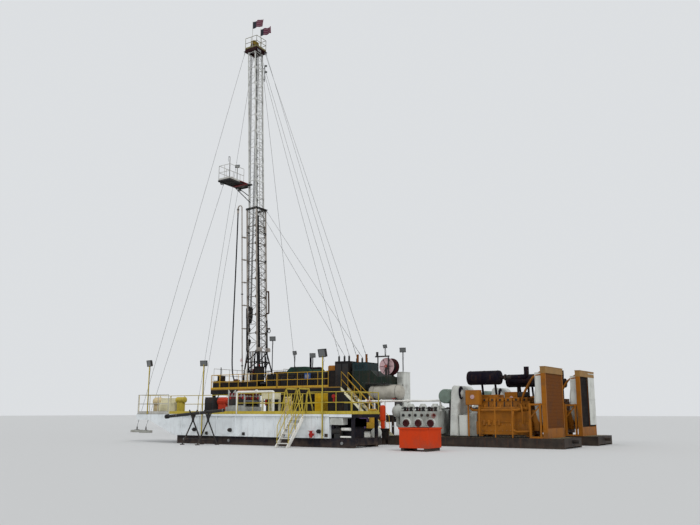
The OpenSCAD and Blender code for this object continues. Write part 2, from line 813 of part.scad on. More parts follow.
module mast_lamps() {
    color("#26282b")
        on_mast() {
            box([upper_dx / 2 + 180, upper_dy / 2 - 60, lamp_bar_z], [upper_dx / 2 + 240, upper_dy / 2, lamp_bar_z + 1500]);
            for (z = [200, 1200])
                box([upper_dx / 2, upper_dy / 2 - 60, lamp_bar_z + z], [upper_dx / 2 + 180, upper_dy / 2, lamp_bar_z + z + 60]);
            for (z = [700, 1250])
                box([upper_dx / 2 + 240, upper_dy / 2 - 130, lamp_bar_z + z], [upper_dx / 2 + 420, upper_dy / 2 + 70, lamp_bar_z + z + 160]);
            box([lower_dx / 2, lower_dy / 2 - 100, 4900], [lower_dx / 2 + 160, lower_dy / 2 - 40, 4960]);
            box([lower_dx / 2, lower_dy / 2 - 100, 6600], [lower_dx / 2 + 160, lower_dy / 2 - 40, 6660]);
            box([lower_dx / 2 + 160, lower_dy / 2 - 130, 4900], [lower_dx / 2 + 250, lower_dy / 2 - 10, 6660]);
            box([lower_dx / 2, lower_dy / 2 - 100, 3700], [lower_dx / 2 + 300, lower_dy / 2 - 40, 3780]);
            box([lower_dx / 2 + 140, lower_dy / 2 - 170, 3400], [lower_dx / 2 + 340, lower_dy / 2 + 30, 3700]);
            for (s = [-1, 1])
                block([lower_dx / 2, s * (lower_dy / 2 - 10), foot_h + 20], [lower_dx / 2 + 280, s * (lower_dy / 2 - 250), foot_h + 260]);
        }
}

pipe_at = [-640, -frame_y - 150];
pipe_r = 45;
neck_r = 200;
neck_top_z = 13350;
hose_r = 50;
hose_sides = 12;
hose_ring = 260;
hose_route = [
    [-1550, pipe_at.y, 17000], [-1550, pipe_at.y, 16700], [-1555, -1000, 16000], [-1575, -1000, 14500],
    [-1610, -1000, 12500], [-1650, -1000, 10500], [-1690, -1000, 8500], [-1710, -1000, 7000],
    [-1710, -1000, 6000], [-1690, -1000, 5200], [-1640, -1005, 4650], [-1540, -1020, 4220],
    [-1390, -1040, 3930], [-1210, -1100, 3815], [-1030, -1170, 3802], [-860, -1260, 3815],
    [-700, -1370, 3830], [-590, -1450, 3830]
];
hose_end = hose_route[len(hose_route) - 1];
hose_top = hose_route[0];

module standpipe() {
    color("#4a4d50") {
        intersection() {
            box([-3000, -3000, floor_z], [1000, 0, mast_foot_z + neck_top_z + 2000]);
            on_mast()
                translate([pipe_at.x, pipe_at.y, -600])
                    cylinder(h = neck_top_z + 600, r = pipe_r, $fn = 32);
        }
        on_mast() {
            translate([pipe_at.x - neck_r, pipe_at.y, neck_top_z])
                rotate([90, 0, 0])
                    rotate_extrude(angle = 180, $fn = 64)
                        translate([neck_r, 0])
                            circle(r = pipe_r, $fn = 32);
            for (i = [1:5])
                box([pipe_at.x - 30, pipe_at.y, foot_h + 1800 * i], [post_x[0] + 200, -lower_dy / 2, foot_h + 1800 * i + 60]);
        }
        translate(hose_top)
            cylinder(h = from_mast([pipe_at.x - 2 * neck_r, 0, neck_top_z]).z - hose_top.z + 20, r = 75, $fn = 32);
    }
}

// Point on a smooth curve through four points, between the middle two
function smooth(a, b, c, d, t) = 0.5 * (2 * b + (c - a) * t + (2 * a - 5 * b + 4 * c - d) * t * t + (3 * b - a - 3 * c + d) * t * t * t);

// Route with rings' centres a hose_ring apart
function fine_route(p) = concat([for (i = [0:len(p) - 2])
    let (n = max(1, round(norm(p[i + 1] - p[i]) / hose_ring)))
        for (k = [0:n - 1])
            smooth(p[max(i - 1, 0)], p[i], p[i + 1], p[min(i + 2, len(p) - 1)], k / n)], [p[len(p) - 1]]);

// Direction of a route at one of its points
function heading(p, i) = let (d = p[min(i + 1, len(p) - 1)] - p[max(i - 1, 0)]) d / norm(d);

// Ring of points round a route's point, square to the route
function ring(c, t, r, n) = let (u = cross(t, [0, 1, 0]) / norm(cross(t, [0, 1, 0])), v = cross(t, u))
    [for (k = [0:n - 1]) c + r * (cos(360 * k / n) * u + sin(360 * k / n) * v)];

module rotary_hose() {
    centres = fine_route(hose_route);
    last = len(centres) - 1;
    n = hose_sides;
    points = [for (i = [0:last]) each ring(centres[i], i == 0 ? [0, 0, -1] : heading(centres, i), hose_r, n)];
    sides = [for (i = [0:last - 1]) for (k = [0:n - 1])
        [i * n + k, i * n + (k + 1) % n, (i + 1) * n + (k + 1) % n, (i + 1) * n + k]];
    color("#15161a")
        polyhedron(points, concat([[for (k = [n - 1:-1:0]) k]], sides, [[for (k = [0:n - 1]) last * n + k]]), convexity = 8);
}

module hose_union() {
    t = heading(fine_route(hose_route), len(fine_route(hose_route)) - 1);
    color("#5a5d60")
        translate(hose_end)
            rotate([0, acos(t.z), atan2(t.y, t.x)]) {
                cylinder(h = 60, r = 80, $fn = 32);
                cylinder(h = 240, r = 62, $fn = 32);
            }
}

block_w = 480;
block_t = 260;
block_h = 1300;
kelly_r = 75;
kelly_z0 = 350;
swivel_r = 170;

module travelling_block() {
    color("#151618")
        translate([-hoist_x, 0, block_top_z]) {
            plate_xz(-block_t / 2, block_t / 2, [[-170, 0], [170, 0], [block_w / 2, -180], [block_w / 2, -820],
                                                 [130, -block_h], [-130, -block_h], [-block_w / 2, -820], [-block_w / 2, -180]]);
            barrel_y([0, 0, -420], 90, block_t + 60);
        }
}

module hook_and_kelly() {
    color("#3d4043")
        translate([-hoist_x, 0, block_top_z - block_h]) {
            translate([0, 0, -350])
                cylinder(h = 350, r = 60, $fn = 32);
            translate([0, 0, -700])
                cylinder(h = 360, r = 120, $fn = 32);
            for (s = [-1, 1])
                box([-30, s * 90 - 25, -1300], [30, s * 90 + 25, -640]);
            translate([0, 0, -1750])
                cylinder(h = 520, r = swivel_r, $fn = 32);
            translate([0, 0, kelly_z0 - block_top_z + block_h])
                cylinder(h = block_top_z - block_h - 1700 - kelly_z0, r = kelly_r, $fn = 6);
        }
}

module drilling_lines() {
    color("#3a3c3e")
        for (s = [-1, 1])
            for (i = [-1.5:1:1.5])
                rod([-hoist_x + s * 130, i * 50, block_top_z + 2 * fit_gap],
                    [crown_axle_x + s * (sheave_r + line_d / 2 + fit_gap), i * sheave_pitch, axle_z], line_d);
}

module guy(top, low) {
    rod(top, low, guy_d);
    translate(top)
        sphere(d = guy_end_d, $fn = 24);
    translate(low)
        sphere(d = guy_end_d, $fn = 24);
}

// Each row is the upper end and the lower end of a guy line
guy_r = guy_end_d / 2 + fit_gap;
crown_lug_z = crown_z + 80 - guy_r;
crown_front_x = crown_x - crown_half - 70;
crown_back_x = crown_x + crown_half + 70;
anchor_z = 420;
anchors = [[-9600, -3000], [-9600, 3300], [-7600, -3900], [-8000, 2100]];
cover_eye = [4100, -700, house_z + 480 + guy_r];
guys = concat(
    [for (s = [-1, 1]) [[crown_front_x, s * 540, crown_lug_z], [anchors[s < 0 ? 0 : 1].x, anchors[s < 0 ? 0 : 1].y, anchor_z + guy_r]]],
    [for (s = [0, 1]) [[board_x0 + 120, s == 0 ? board_y0 + 520 : board_y1 - 300, board_z - 80 - guy_r], [anchors[2 + s].x, anchors[2 + s].y, anchor_z + guy_r]]],
    [for (s = [-1, 1]) for (k = [0, 1])
        [[crown_back_x, s * (540 - 160 * k), crown_lug_z], [guy_posts[k * 2].x, s * guy_posts[k * 2].y * -1, guy_post_z + guy_r]]],
    [for (s = [-1, 1])
        [from_mast([lower_dx / 2 + 90, s * 500, foot_z1 + 60 - guy_r]), [guy_posts[1].x, s * guy_posts[1].y * -1, guy_post_z + guy_r]]],
    [[[crown_back_x, -200, crown_lug_z], cover_eye]]
);

module guy_lines() {
    color("#55585a")
        for (g = guys)
            guy(g[0], g[1]);
}

module guy_anchors() {
    color("#3b3d3f")
        for (p = anchors) {
            box([p.x - 350, p.y - 350, 0], [p.x + 350, p.y + 350, 180]);
            box([p.x - 60, p.y - 60, 180], [p.x + 60, p.y + 60, anchor_z]);
        }
}

nose_x = 8400;
walls = [nose_x, 11400, 14700, tank_x1 - tank_t];
hatch_x = [8900, 13150, 16120];
plate_seam = 0.3;
hatch_y = tank_y0 + 1500;
hatch_w = 550;
bay_x1 = 19200;

module tank_shell() {
    color("#cfd6d6") {
        difference() {
            plate_xz(tank_y0, tank_y1, [[tank_x0, tank_z1 - tank_t], [tank_x1, tank_z1 - tank_t], [tank_x1, tank_z0],
                                        [nose_x, tank_z0], [nose_x - 1900, 1150], [tank_x0, 1150]]);
            plate_xz(tank_y0 + tank_t, tank_y1 - tank_t, [[nose_x + 20, tank_z0 + tank_t], [walls[1], tank_z0 + tank_t],
                                                          [walls[1], tank_z1], [nose_x - 1820, tank_z1],
                                                          [nose_x - 1820, 1190]]);
            for (i = [1, 2])
                box([walls[i] + tank_t, tank_y0 + tank_t, tank_z0 + tank_t], [walls[i + 1], tank_y1 - tank_t, tank_z1]);
        }
        for (x = [nose_x + 500:1200:tank_x1 - 300])
            box([x, tank_y0 - 40, tank_z0], [x + 60, tank_y0, tank_z1 - 90]);
        box([nose_x - 300, tank_y0 - 60, tank_z1 - 90], [tank_x1, tank_y0, tank_z1]);
    }
    color("#17191b")
        box([tank_x0 - 60, tank_y0, tank_z1 - 220], [tank_x0, tank_y1, tank_z1 - tank_t]);
}

module tank_deck() {
    color("#5d6262") {
        box([tank_x0, tank_y0, tank_z1 - tank_t], [tank_x1, hatch_y - plate_seam, tank_z1]);
        box([tank_x0, hatch_y + hatch_w + plate_seam, tank_z1 - tank_t], [tank_x1, tank_y1, tank_z1]);
        for (i = [0:len(hatch_x)])
            box([i == 0 ? tank_x0 : hatch_x[i - 1] + hatch_w, hatch_y, tank_z1 - tank_t],
                [i == len(hatch_x) ? tank_x1 : hatch_x[i], hatch_y + hatch_w, tank_z1]);
    }
}

module tank_skid() {
    color("#17191b") {
        for (y = [tank_y0 + 150, tank_y1 - 350])
            box([nose_x + 100, y, 0], [bay_x1, y + 200, tank_z0]);
        for (x = [nose_x + 100:1500:tank_x1])
            box([x, tank_y0 + 350, 100], [x + 120, tank_y1 - 350, tank_z0]);
        box([bay_x1 - 200, tank_y0 + 350, 100], [bay_x1, tank_y1 - 350, tank_z0]);
        for (y = [tank_y0 + 150, tank_y1 - 290])
            for (x = [tank_x1 + 60, bay_x1 - 120])
                box([x, y, tank_z0], [x + 120, y + 140, 1300]);
        box([tank_x1 + 2, tank_y0, 1300], [bay_x1, tank_y1, tank_z1]);
        box([tank_x1 + 500, tank_y0 + 350, 250], [tank_x1 + 700, tank_y1 - 350, tank_z0]);
        box([tank_x1 + 350, tank_y0 + 500, tank_z0], [tank_x1 + 850, tank_y0 + 1600, 900]);
    }
    color("#9aa0a0")
        box([tank_x1 + 250, tank_y0 + 450, 900], [tank_x1 + 950, tank_y0 + 1650, 1250]);
}

module tank_rails() {
    color("#9ea09c")
        rail_x(tank_x0, 7900, tank_y0, tank_z1, tank_rail_h, 2);
    color("#c9b04a") {
        rail_x(12600, 15500, tank_y0, tank_z1, tank_rail_h, 3);
        rail_x(16750, bay_x1, tank_y0, tank_z1, tank_rail_h, 2);
        rail_x(tank_x0, bay_x1, tank_y1 - rail_d, tank_z1, tank_rail_h, 11);
        rail_y(bay_x1 - rail_d, tank_y0 + 90, tank_y1 - 90, tank_z1, tank_rail_h, 2);
        rail_y(tank_x0, tank_y0 + 90, tank_y1 - 90, tank_z1, tank_rail_h, 2);
        box([8000, tank_y0 + 10, tank_z1], [12500, tank_y0 + 20, tank_z1 + 150]);
        box([15600, tank_y0 + 10, tank_z1], [16650, tank_y0 + 20, tank_z1 + 90]);
    }
}

// Places its children on the tank's deck, with Y from its near wall
module on_tank() {
    translate([0, tank_y0, tank_z1])
        children();
}

module shale_shaker() {
    color("#6d1420")
        on_tank() {
            box([11450, 450, 0], [12750, 1750, 350]);
            for (y = [500, 1650])
                plate_xz(y, y + 50, [[11550, 350], [12650, 350], [12650, 850], [12450, 1110], [12250, 850],
                                     [12000, 1170], [11750, 930], [11550, 1190]]);
            box([11600, 550, 600], [12650, 1650, 670]);
            barrel_y([12200, 1100, 1050], 130, 1100);
            for (x = [11650, 12550])
                box([x, 550, 350], [x + 60, 1650, 600]);
        }
    color("#2a2d30")
        on_tank() {
            box([9650, 850, 0], [10250, 1550, 750]);
            box([9700, 900, 750], [10200, 1500, 840]);
        }
    color("#b8321c")
        on_tank() {
            barrel_x([10330, 1200, 630], 200, 640);
            box([10400, 1050, 0], [10900, 1350, 500]);
        }
    color("#e8e6de")
        on_tank() {
            barrel_x([12370, 250, 1057], 55, 2270);
            for (x = [12370, 14640])
                translate([x, 250, 0])
                    cylinder(h = 1112, r = 55, $fn = 24);
        }
}

mixers = [[9900, 2020], [14250, 1900], [17000, 1900]];

module tank_mixers() {
    color("#c8b28a")
        on_tank()
            for (p = mixers) {
                box([p.x - 300, p.y - 300, 0], [p.x + 300, p.y + 300, 90]);
                translate([p.x, p.y, 90])
                    cylinder(h = 260, r1 = 260, r2 = 200, $fn = 32);
                translate([p.x, p.y, 350])
                    cylinder(h = 420, r = 175, $fn = 32);
                translate([p.x, p.y, 770])
                    cylinder(h = 60, r = 195, $fn = 32);
            }
}

module tank_fittings() {
    color("#e6e3da")
        on_tank() {
            for (x = [13700, 14300])
                for (y = [500, 1050])
                    box([x, y, 0], [x + 80, y + 80, 700]);
            box([13700, 500, 700], [14380, 1130, 1030]);
            box([6370, 800, 0], [7180, 1500, 600]);
            box([6450, 850, 600], [7100, 1450, 830]);
        }
    color("#d6b21e")
        on_tank() {
            for (x = [14700, 15450]) {
                for (y = [700, 1500])
                    plate_xz(y, y + 40, [[x, 0], [x + 60, 0], [x + 320, 1150], [x + 580, 0], [x + 640, 0],
                                         [x + 340, 1220], [x + 300, 1220]]);
                box([x + 290, 700, 1150], [x + 350, 1540, 1220]);
            }
            box([16650, 800, 0], [17060, 1300, 950]);
            barrel_x([7350, 1150, 730], 150, 620);
            box([7450, 1050, 0], [7850, 1250, 600]);
        }
    color("#c8b28a")
        on_tank() {
            barrel_x([5650, 1200, 650], 230, 560);
            box([5700, 1020, 0], [6150, 1380, 450]);
        }
    color("#6d1420")
        on_tank()
            box([17450, 700, 0], [17950, 1300, 1000]);
    color("#2b2d2f")
        for (x = [9900, 12250, 17500]) {
            translate([x, tank_y0 - 40, 700])
                rotate([90, 0, 0])
                    cylinder(h = 90, r = 90, $fn = 24);
            translate([x, tank_y0, 700])
                rotate([90, 0, 0])
                    cylinder(h = 220, r = 55, $fn = 24);
        }
    color("#9c1e1c") {
        translate([17140, tank_y0, 560])
            rotate([90, 0, 0])
                cylinder(h = 260, r = 60, $fn = 24);
        translate([17140, tank_y0 - 170, 420])
            cylinder(h = 320, r = 70, $fn = 24);
        translate([17140, tank_y0 - 170, 700])
            cylinder(h = 25, r = 130, $fn = 32);
    }
}

ladder_x = 15980;
ladder_w = 680;
ladder_foot = tank_y0 - 1300;
ladder_top = tank_y0 - 60 - seat_gap;
ladder_run = ladder_top - ladder_foot;

module tank_ladder() {
    color("#d9d7c4") {
        for (x = [ladder_x, ladder_x + ladder_w - 50]) {
            translate([x, 0, 0])
                rotate([90, 0, 90])
                    linear_extrude(50)
                        polygon([[ladder_foot, 0], [ladder_foot + 190, 0], [ladder_top, tank_z1 - 220], [ladder_top, tank_z1]]);
            for (low = [450, 950])
                bar([x + 25, ladder_foot + 150, low], [x + 25, ladder_top - 70, low + tank_z1 - 50], 34);
            for (k = [0, 0.5, 1])
                box([x + 5, ladder_foot + 130 + (ladder_run - 220) * k, 100 + (tank_z1 - 300) * k],
                    [x + 45, ladder_foot + 170 + (ladder_run - 220) * k, 970 + (tank_z1 - 50) * k]);
        }
        for (i = [1:6])
            box([ladder_x + 20, ladder_foot + ladder_run * i / 7 - 20, tank_z1 * i / 7 - 40],
                [ladder_x + ladder_w - 20, ladder_foot + ladder_run * i / 7 + 170, tank_z1 * i / 7]);
    }
}

module lamp_poles() {
    color("#2c2f31") {
        lamp_pole(6250, tank_y0 - 30 - fit_gap, 0, 4180, 0, 300);
        lamp_pole(10400, tank_y0 - 90 - fit_gap, 0, 4030, 0, 300);
        lamp_pole(17700, tank_y0 - 90 - fit_gap, 0, 4270, 0, 400);
        lamp_pole(2300, -1100, house_z, 6950, 0, 180);
        lamp_pole(4400, -1150, house_z, 5800, 0, 160);
        lamp_pole(6050, -1230, house_z, 5560, 0, 160);
        lamp_pole(gantry_x[0] + 560, gantry_y, gantry_z + 90, 5900, 0, 160);
        lamp_pole(12560, 150, 4180, 5750, 0, 160);
    }
}

trestle_x = [10500, 11500];
trestle_y = tank_y0 - 800;

// Height of the axis of the pipe that lies across the trestles
function pipe_z(x) = 1390 + (x - 9500) * 0.08;

module pipe_trestles() {
    color("#1a1b1c")
        for (x = trestle_x)
            translate([x, trestle_y, 0])
                rotate([0, 0, 60]) {
                    for (s = [-1, 1]) {
                        bar([-s * 480, 0, 25], [s * 200, 0, 1650], 55);
                        box([-s * 480 - 90, -80, 0], [-s * 480 + 90, 80, 40]);
                    }
                    box([-380, -20, 250], [380, 20, 300]);
                    box([-50, -50, 1100], [50, 50, pipe_z(x)]);
                }
    color("#c9b04a")
        rod([8800, trestle_y, pipe_z(8800)], [12500, trestle_y, pipe_z(12500)], 150);
    color("#1a1b1c")
        rod([8620, trestle_y, pipe_z(8620)], [8800, trestle_y, pipe_z(8800)], 210);
}

module pump_sets() {
    for (i = [0, 1])
        translate([pump_x0 + 300 * i, pump_y0 + pump_pitch * i, 0])
            children();
}

module pump_skids() {
    color("#2b2f31")
        pump_sets() {
            for (y = [0, pump_w / 2 - 90, pump_w - 180])
                box([0, y, 0], [pump_l, y + 180, pump_skid_h]);
            for (x = [0:pump_l / 6:pump_l])
                box([min(x, pump_l - 140), 180, 60], [min(x, pump_l - 140) + 140, pump_w - 180, pump_skid_h]);
            box([0, 0, pump_skid_h], [pump_l, pump_w, pump_skid_h + 30]);
            for (x = [-260, pump_l])
                translate([x + 130, pump_w / 2, pump_skid_h - 120])
                    rotate([0, 90, 0])
                        cylinder(h = 260, r = 80, center = true, $fn = 24);
        }
    color("#d9dcd8")
        pump_sets()
            box([1700, -25, 90], [4700, 0, 330]);
}

deck_top = pump_skid_h + 30;

module mud_pumps() {
    color("#b9bdb8")
        pump_sets()
            translate([0, 0, deck_top]) {
                box([700, 0, 0], [2700, 900, 1150]);
                for (x = [1050, 1700, 2350]) {
                    translate([x, 0, 600])
                        rotate([90, 0, 0])
                            cylinder(h = 60, r = 235, $fn = 40);
                    translate([x, 450, 1150])
                        cylinder(h = 260, r = 200, $fn = 40);
                    translate([x, 450, 1410])
                        cylinder(h = 70, r = 130, $fn = 40);
                    translate([x, 900, 600])
                        rotate([-90, 0, 0])
                            cylinder(h = 300, r = 180, $fn = 40);
                }
                translate([550, 1200 + 1250, 0])
                    rotate([90, 0, 0])
                        linear_extrude(1250)
                            polygon([[0, 0], [2300, 0], [2300, 900], [1900, 1250], [400, 1250], [0, 900]]);
            }
    color("#3d4043")
        pump_sets()
            translate([0, 0, deck_top]) {
                for (x = [1050, 1700, 2350])
                    translate([x, -60, 600])
                        rotate([90, 0, 0])
                            cylinder(h = 50, r = 170, $fn = 40);
                translate([330, 450, 0])
                    cylinder(h = 800, r = 90, $fn = 32);
                translate([330, 450, 1150])
                    sphere(r = 300, $fn = 32);
                translate([330, 450, 780])
                    cylinder(h = 120, r = 150, $fn = 32);
                barrel_x([300, 450, 300], 90, 500);
            }
}

module pump_engines() {
    color("#b3701c")
        pump_sets()
            translate([0, 0, deck_top]) {
                box([4350, 620, 120], [7000, 1820, 1150]);
                box([4500, 720, 1150], [6900, 1250, 1600]);
                box([4500, 1300, 1150], [6900, 1720, 1600]);
                for (x = [4620:380:6600]) {
                    box([x, 680, 1600], [x + 300, 1240, 1760]);
                    box([x, 1310, 1600], [x + 300, 1760, 1760]);
                }
                barrel_x([4500, 660, 1280], 75, 2350);
                barrel_x([4500, 1780, 1280], 75, 2350);
                box([6950, 820, 300], [7250, 1620, 1200]);
                for (x = [4450, 6700])
                    for (y = [650, 1650])
                        box([x, y, 0], [x + 200, y + 140, 120]);
                box([4000, 250, 1430], [4700, 520, 2110]);
                for (x = [4050, 4590])
                    box([x, 350, 0], [x + 60, 420, 1430]);
                for (x = [5450, 6250]) {
                    box([x, 80, 0], [x + 60, 140, 1750]);
                    box([x, 80, 1690], [x + 60, 600, 1750]);
                }
                box([5450, 80, 1200], [6310, 130, 1260]);
                box([4520, 860, 1760], [5350, 1620, 1900]);
                translate([6450, 1250, 1760])
                    cylinder(h = 260, r = 250, $fn = 40);
            }
    color("#6b6f6c")
        pump_sets()
            translate([0, 0, deck_top]) {
                box([3700, 700, 0], [4350, 1750, 1050]);
                translate([3700, 1225, 550])
                    rotate([0, 90, 0])
                        cylinder(h = 500, r = 480, center = true, $fn = 48);
                translate([2900, 350, 1850])
                    rotate([-90, 0, 0])
                        cylinder(h = 900, r = 330, $fn = 48);
                box([3000, 620, 1200], [3200, 980, 1700]);
                box([2950, 620, 0], [3250, 980, 1200]);
            }
    color("#b9bdb8")
        pump_sets()
            translate([0, 0, deck_top])
                box([3320, 300, 0], [3620, 1900, 2350]);
}

exhaust_z = 3100;

module pump_exhausts() {
    color("#16161c")
        pump_sets() {
            barrel_x([4000, 700, exhaust_z], silencer_r, 1600);
            barrel_x([3950, 700, exhaust_z], 90, 2870);
            translate([6820, 700, exhaust_z]) {
                sphere(r = 90, $fn = 32);
                cylinder(h = 450, r = 90, $fn = 32);
            }
            translate([5000, 700, deck_top + 1760])
                cylinder(h = exhaust_z - deck_top - 1760, r = 80, $fn = 32);
            translate([4650, 700, deck_top + 1900])
                cylinder(h = exhaust_z - deck_top - 1900, r = 70, $fn = 32);
            barrel_x([5700, 1500, exhaust_z - 130], 230, 1100);
            translate([6000, 1500, deck_top + 1760])
                cylinder(h = exhaust_z - deck_top - 1890, r = 80, $fn = 32);
        }
}

module radiators() {
    color("#5a3014")
        pump_sets()
            translate([0, 0, deck_top]) {
                box([7700, 0, 0], [7900, 90, 3050]);
                box([7700, pump_w - 90, 0], [7900, pump_w, 3050]);
                box([7720, 90, 0], [7890, pump_w - 90, 420]);
                for (x = [7090, 7560])
                    box([x, 5, 0], [x + 90, 85, 1490]);
                for (z = [0, 1400])
                    box([7100, 10, z], [7710, 80, z + 80]);
                box([7760, 90, 420], [7850, pump_w - 90, 2650]);
                for (i = [1:12])
                    box([7850, 90, 420 + 170 * i], [7880, pump_w - 90, 450 + 170 * i]);
                for (i = [1:12])
                    box([7720, 90, 420 + 170 * i], [7760, pump_w - 90, 450 + 170 * i]);
            }
    color("#c2a878")
        pump_sets()
            translate([0, 0, deck_top])
                box([7680, 0, 2650], [7920, pump_w, 3080]);
    color("#b8bab6")
        pump_sets()
            translate([0, 0, deck_top]) {
                difference() {
                    translate([7340, pump_w / 2, 1600])
                        rotate([0, 90, 0])
                            cylinder(h = 380, r = 1080, $fn = 64);
                    translate([7320, pump_w / 2, 1600])
                        rotate([0, 90, 0])
                            cylinder(h = 300, r = 1040, $fn = 64);
                }
                for (y = [300, pump_w - 380])
                    box([7400, y, 0], [7480, y + 80, 1100]);
                for (k = [0:3])
                    translate([7420, pump_w / 2, 1600])
                        rotate([45 * k, 0, 0])
                            translate([0, -1050, -30])
                                cube([40, 2100, 60]);
                translate([7240, pump_w / 2, 1600])
                    rotate([0, 90, 0])
                        cylinder(h = 300, r = 200, $fn = 40);
                box([7250, pump_w / 2 - 150, 0], [7330, pump_w / 2 + 150, 1500]);
            }
}

manifold_y = -11750;

module manifold_frame() {
    color("#dfe2e2") {
        box([16700, -12500, 0], [17700, -11950, 620]);
        for (x = [16600, 17500, 18100])
            translate([x, manifold_y, 0])
                cylinder(h = 2080, r = 45, $fn = 24);
        barrel_x([16560, manifold_y, 2080], 50, 4592);
        translate([21152, manifold_y, deck_top + 1150 + fit_gap])
            cylinder(h = 2080 - deck_top - 1150 - fit_gap, r = 50, $fn = 24);
        barrel_x([16600, manifold_y, 1350], 35, 1500);
    }
    color("#1a1b1c")
        box([16650, -12550, 620], [18450, -11900, 760]);
    color("#1a1b1c")
        for (x = [17900, 18350])
            box([x, -12500, 0], [x + 80, -11950, 620]);
}

module manifold_units() {
    color("#6a4a86") {
        box([16720, -12480, 760], [17380, -11980, 1250]);
        box([16800, -12420, 1250], [17300, -12040, 1420]);
    }
    color("#d6b21e") {
        box([17450, -12450, 760], [17850, -12000, 1050]);
        translate([17650, -12220, 1050])
            cylinder(h = 560, r = 160, $fn = 32);
        translate([17650, -12220, 1610])
            cylinder(h = 90, r = 200, $fn = 32);
    }
    color("#c8541a") {
        translate([18250, -12220, 1120])
            cylinder(h = 760, r = 170, $fn = 32);
        translate([18250, -12220, 760])
            cylinder(h = 360, r = 100, $fn = 32);
    }
    color("#cdd0ce")
        translate([18200, -12900, 560])
            rotate([-90, 0, 0])
                cylinder(h = 300, r = 230, $fn = 40);
    color("#202225") {
        box([18000, -12850, 0], [18420, -12600, 340]);
        translate([18210, -12600, 480])
            rotate([-90, 0, 0])
                cylinder(h = 49, r = 120, $fn = 32);
    }
}

module orange_crate() {
    color("#c8401a") {
        for (s = [0, 1]) {
            box([21950, -17200 + s * 1160, 120], [23250, -17160 + s * 1160, 930]);
            box([21950 + s * 1260, -17200, 120], [21990 + s * 1260, -16000, 930]);
            for (k = [0, 1])
                box([22000 + s * 1100, -17220 + k * 1170, 0], [22120 + s * 1100, -17050 + k * 1070, 120]);
        }
        box([21950, -17200, 120], [23250, -16000, 160]);
        for (x = [22260, 22590, 22920])
            box([x - 25, -17230, 140], [x + 25, -17200, 910]);
        box([21920, -17230, 880], [23280, -17200, 930]);
        box([23250, -17230, 880], [23280, -15970, 930]);
        box([21920, -16000, 880], [23250, -15970, 930]);
        box([21920, -17200, 880], [21950, -16000, 930]);
    }
}

carrier_frame();
carrier_wheels();
carrier_jacks();
rig_deck();
drill_floor();
rotary_table();
deck_rails();
floor_rails();
engine_house();
house_cover();
rig_exhausts();
rear_boxes();
gooseneck_body();
reel_stand();
hose_reel();
air_vessel();
control_cabinet();
deck_stair();
mast_support();
mast_foot();
mast_lower_near();
mast_lower_far();
mast_lower_back();
mast_upper_near();
mast_upper_far();
mast_upper_back();
mast_splice();
crown_frame();
crown_sheaves();
crown_rail();
flags();
racking_board();
racking_rail();
mast_lamps();
standpipe();
rotary_hose();
hose_union();
travelling_block();
hook_and_kelly();
drilling_lines();
guy_lines();
guy_anchors();
tank_shell();
tank_deck();
tank_skid();
tank_rails();
shale_shaker();
tank_mixers();
tank_fittings();
tank_ladder();
lamp_poles();
pipe_trestles();
pump_skids();
mud_pumps();
pump_engines();
pump_exhausts();
radiators();
manifold_frame();
manifold_units();
orange_crate();
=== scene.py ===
"""Looks of the drilling rig: finishes, fine parts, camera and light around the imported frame."""

import json
import logging
import math
from dataclasses import dataclass
from enum import Enum
from typing import Iterable, Protocol, Sequence
import bmesh
import bpy
from mathutils import Matrix, Vector

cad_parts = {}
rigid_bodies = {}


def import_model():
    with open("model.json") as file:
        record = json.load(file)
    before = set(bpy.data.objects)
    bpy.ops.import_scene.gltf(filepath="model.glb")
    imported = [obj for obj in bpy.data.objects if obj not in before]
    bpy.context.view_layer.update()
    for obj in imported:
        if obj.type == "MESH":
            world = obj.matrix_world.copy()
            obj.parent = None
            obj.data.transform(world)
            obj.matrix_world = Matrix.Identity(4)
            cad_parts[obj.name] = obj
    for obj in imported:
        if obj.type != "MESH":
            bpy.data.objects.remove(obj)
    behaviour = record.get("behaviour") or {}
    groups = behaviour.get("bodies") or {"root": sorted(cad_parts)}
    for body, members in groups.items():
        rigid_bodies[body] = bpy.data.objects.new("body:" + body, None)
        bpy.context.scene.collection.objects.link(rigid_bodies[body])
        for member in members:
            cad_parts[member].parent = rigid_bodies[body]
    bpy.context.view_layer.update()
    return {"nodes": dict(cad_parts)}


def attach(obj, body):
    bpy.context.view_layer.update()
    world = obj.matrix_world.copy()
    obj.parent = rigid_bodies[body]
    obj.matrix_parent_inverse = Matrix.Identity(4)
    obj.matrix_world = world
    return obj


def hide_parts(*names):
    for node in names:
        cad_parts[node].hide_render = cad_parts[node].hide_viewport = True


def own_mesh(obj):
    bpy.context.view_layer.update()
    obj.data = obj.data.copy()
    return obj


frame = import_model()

LOG = logging.getLogger("rig")
Point = tuple[float, float, float]
Colour = tuple[float, float, float]

# Sizes shared by several sub-assemblies, in metres
MAST_FOOT_Z = 4.1
MAST_LEAN = math.radians(2.2)
SPLICE = 13.2
UPPER_START = 11.4
CROWN_Z = 31.0
AXLE_X = -1.15
AXLE_Z = 31.68
HOIST_X = -0.95
BLOCK_TOP = 9.6
FLOOR_Z = 3.75
DECK_Z = 3.2
DECK_HALF = 2.7
WALK_Y = 1.75
TANK_Y0 = -16.5
TANK_Y1 = -14.1
TANK_TOP = 1.45
BOARD_Z = 19.4
SKID_TOP = 0.43

# Directions, and the place and lean of the mast
RIGHT = Vector((1.0, 0.0, 0.0))
LEFT = Vector((-1.0, 0.0, 0.0))
FAR = Vector((0.0, 1.0, 0.0))
NEAR = Vector((0.0, -1.0, 0.0))
UP = Vector((0.0, 0.0, 1.0))
DOWN = Vector((0.0, 0.0, -1.0))
MAST = Matrix.Translation((0, 0, MAST_FOOT_Z)) @ Matrix.Rotation(-MAST_LEAN, 4, "Y")


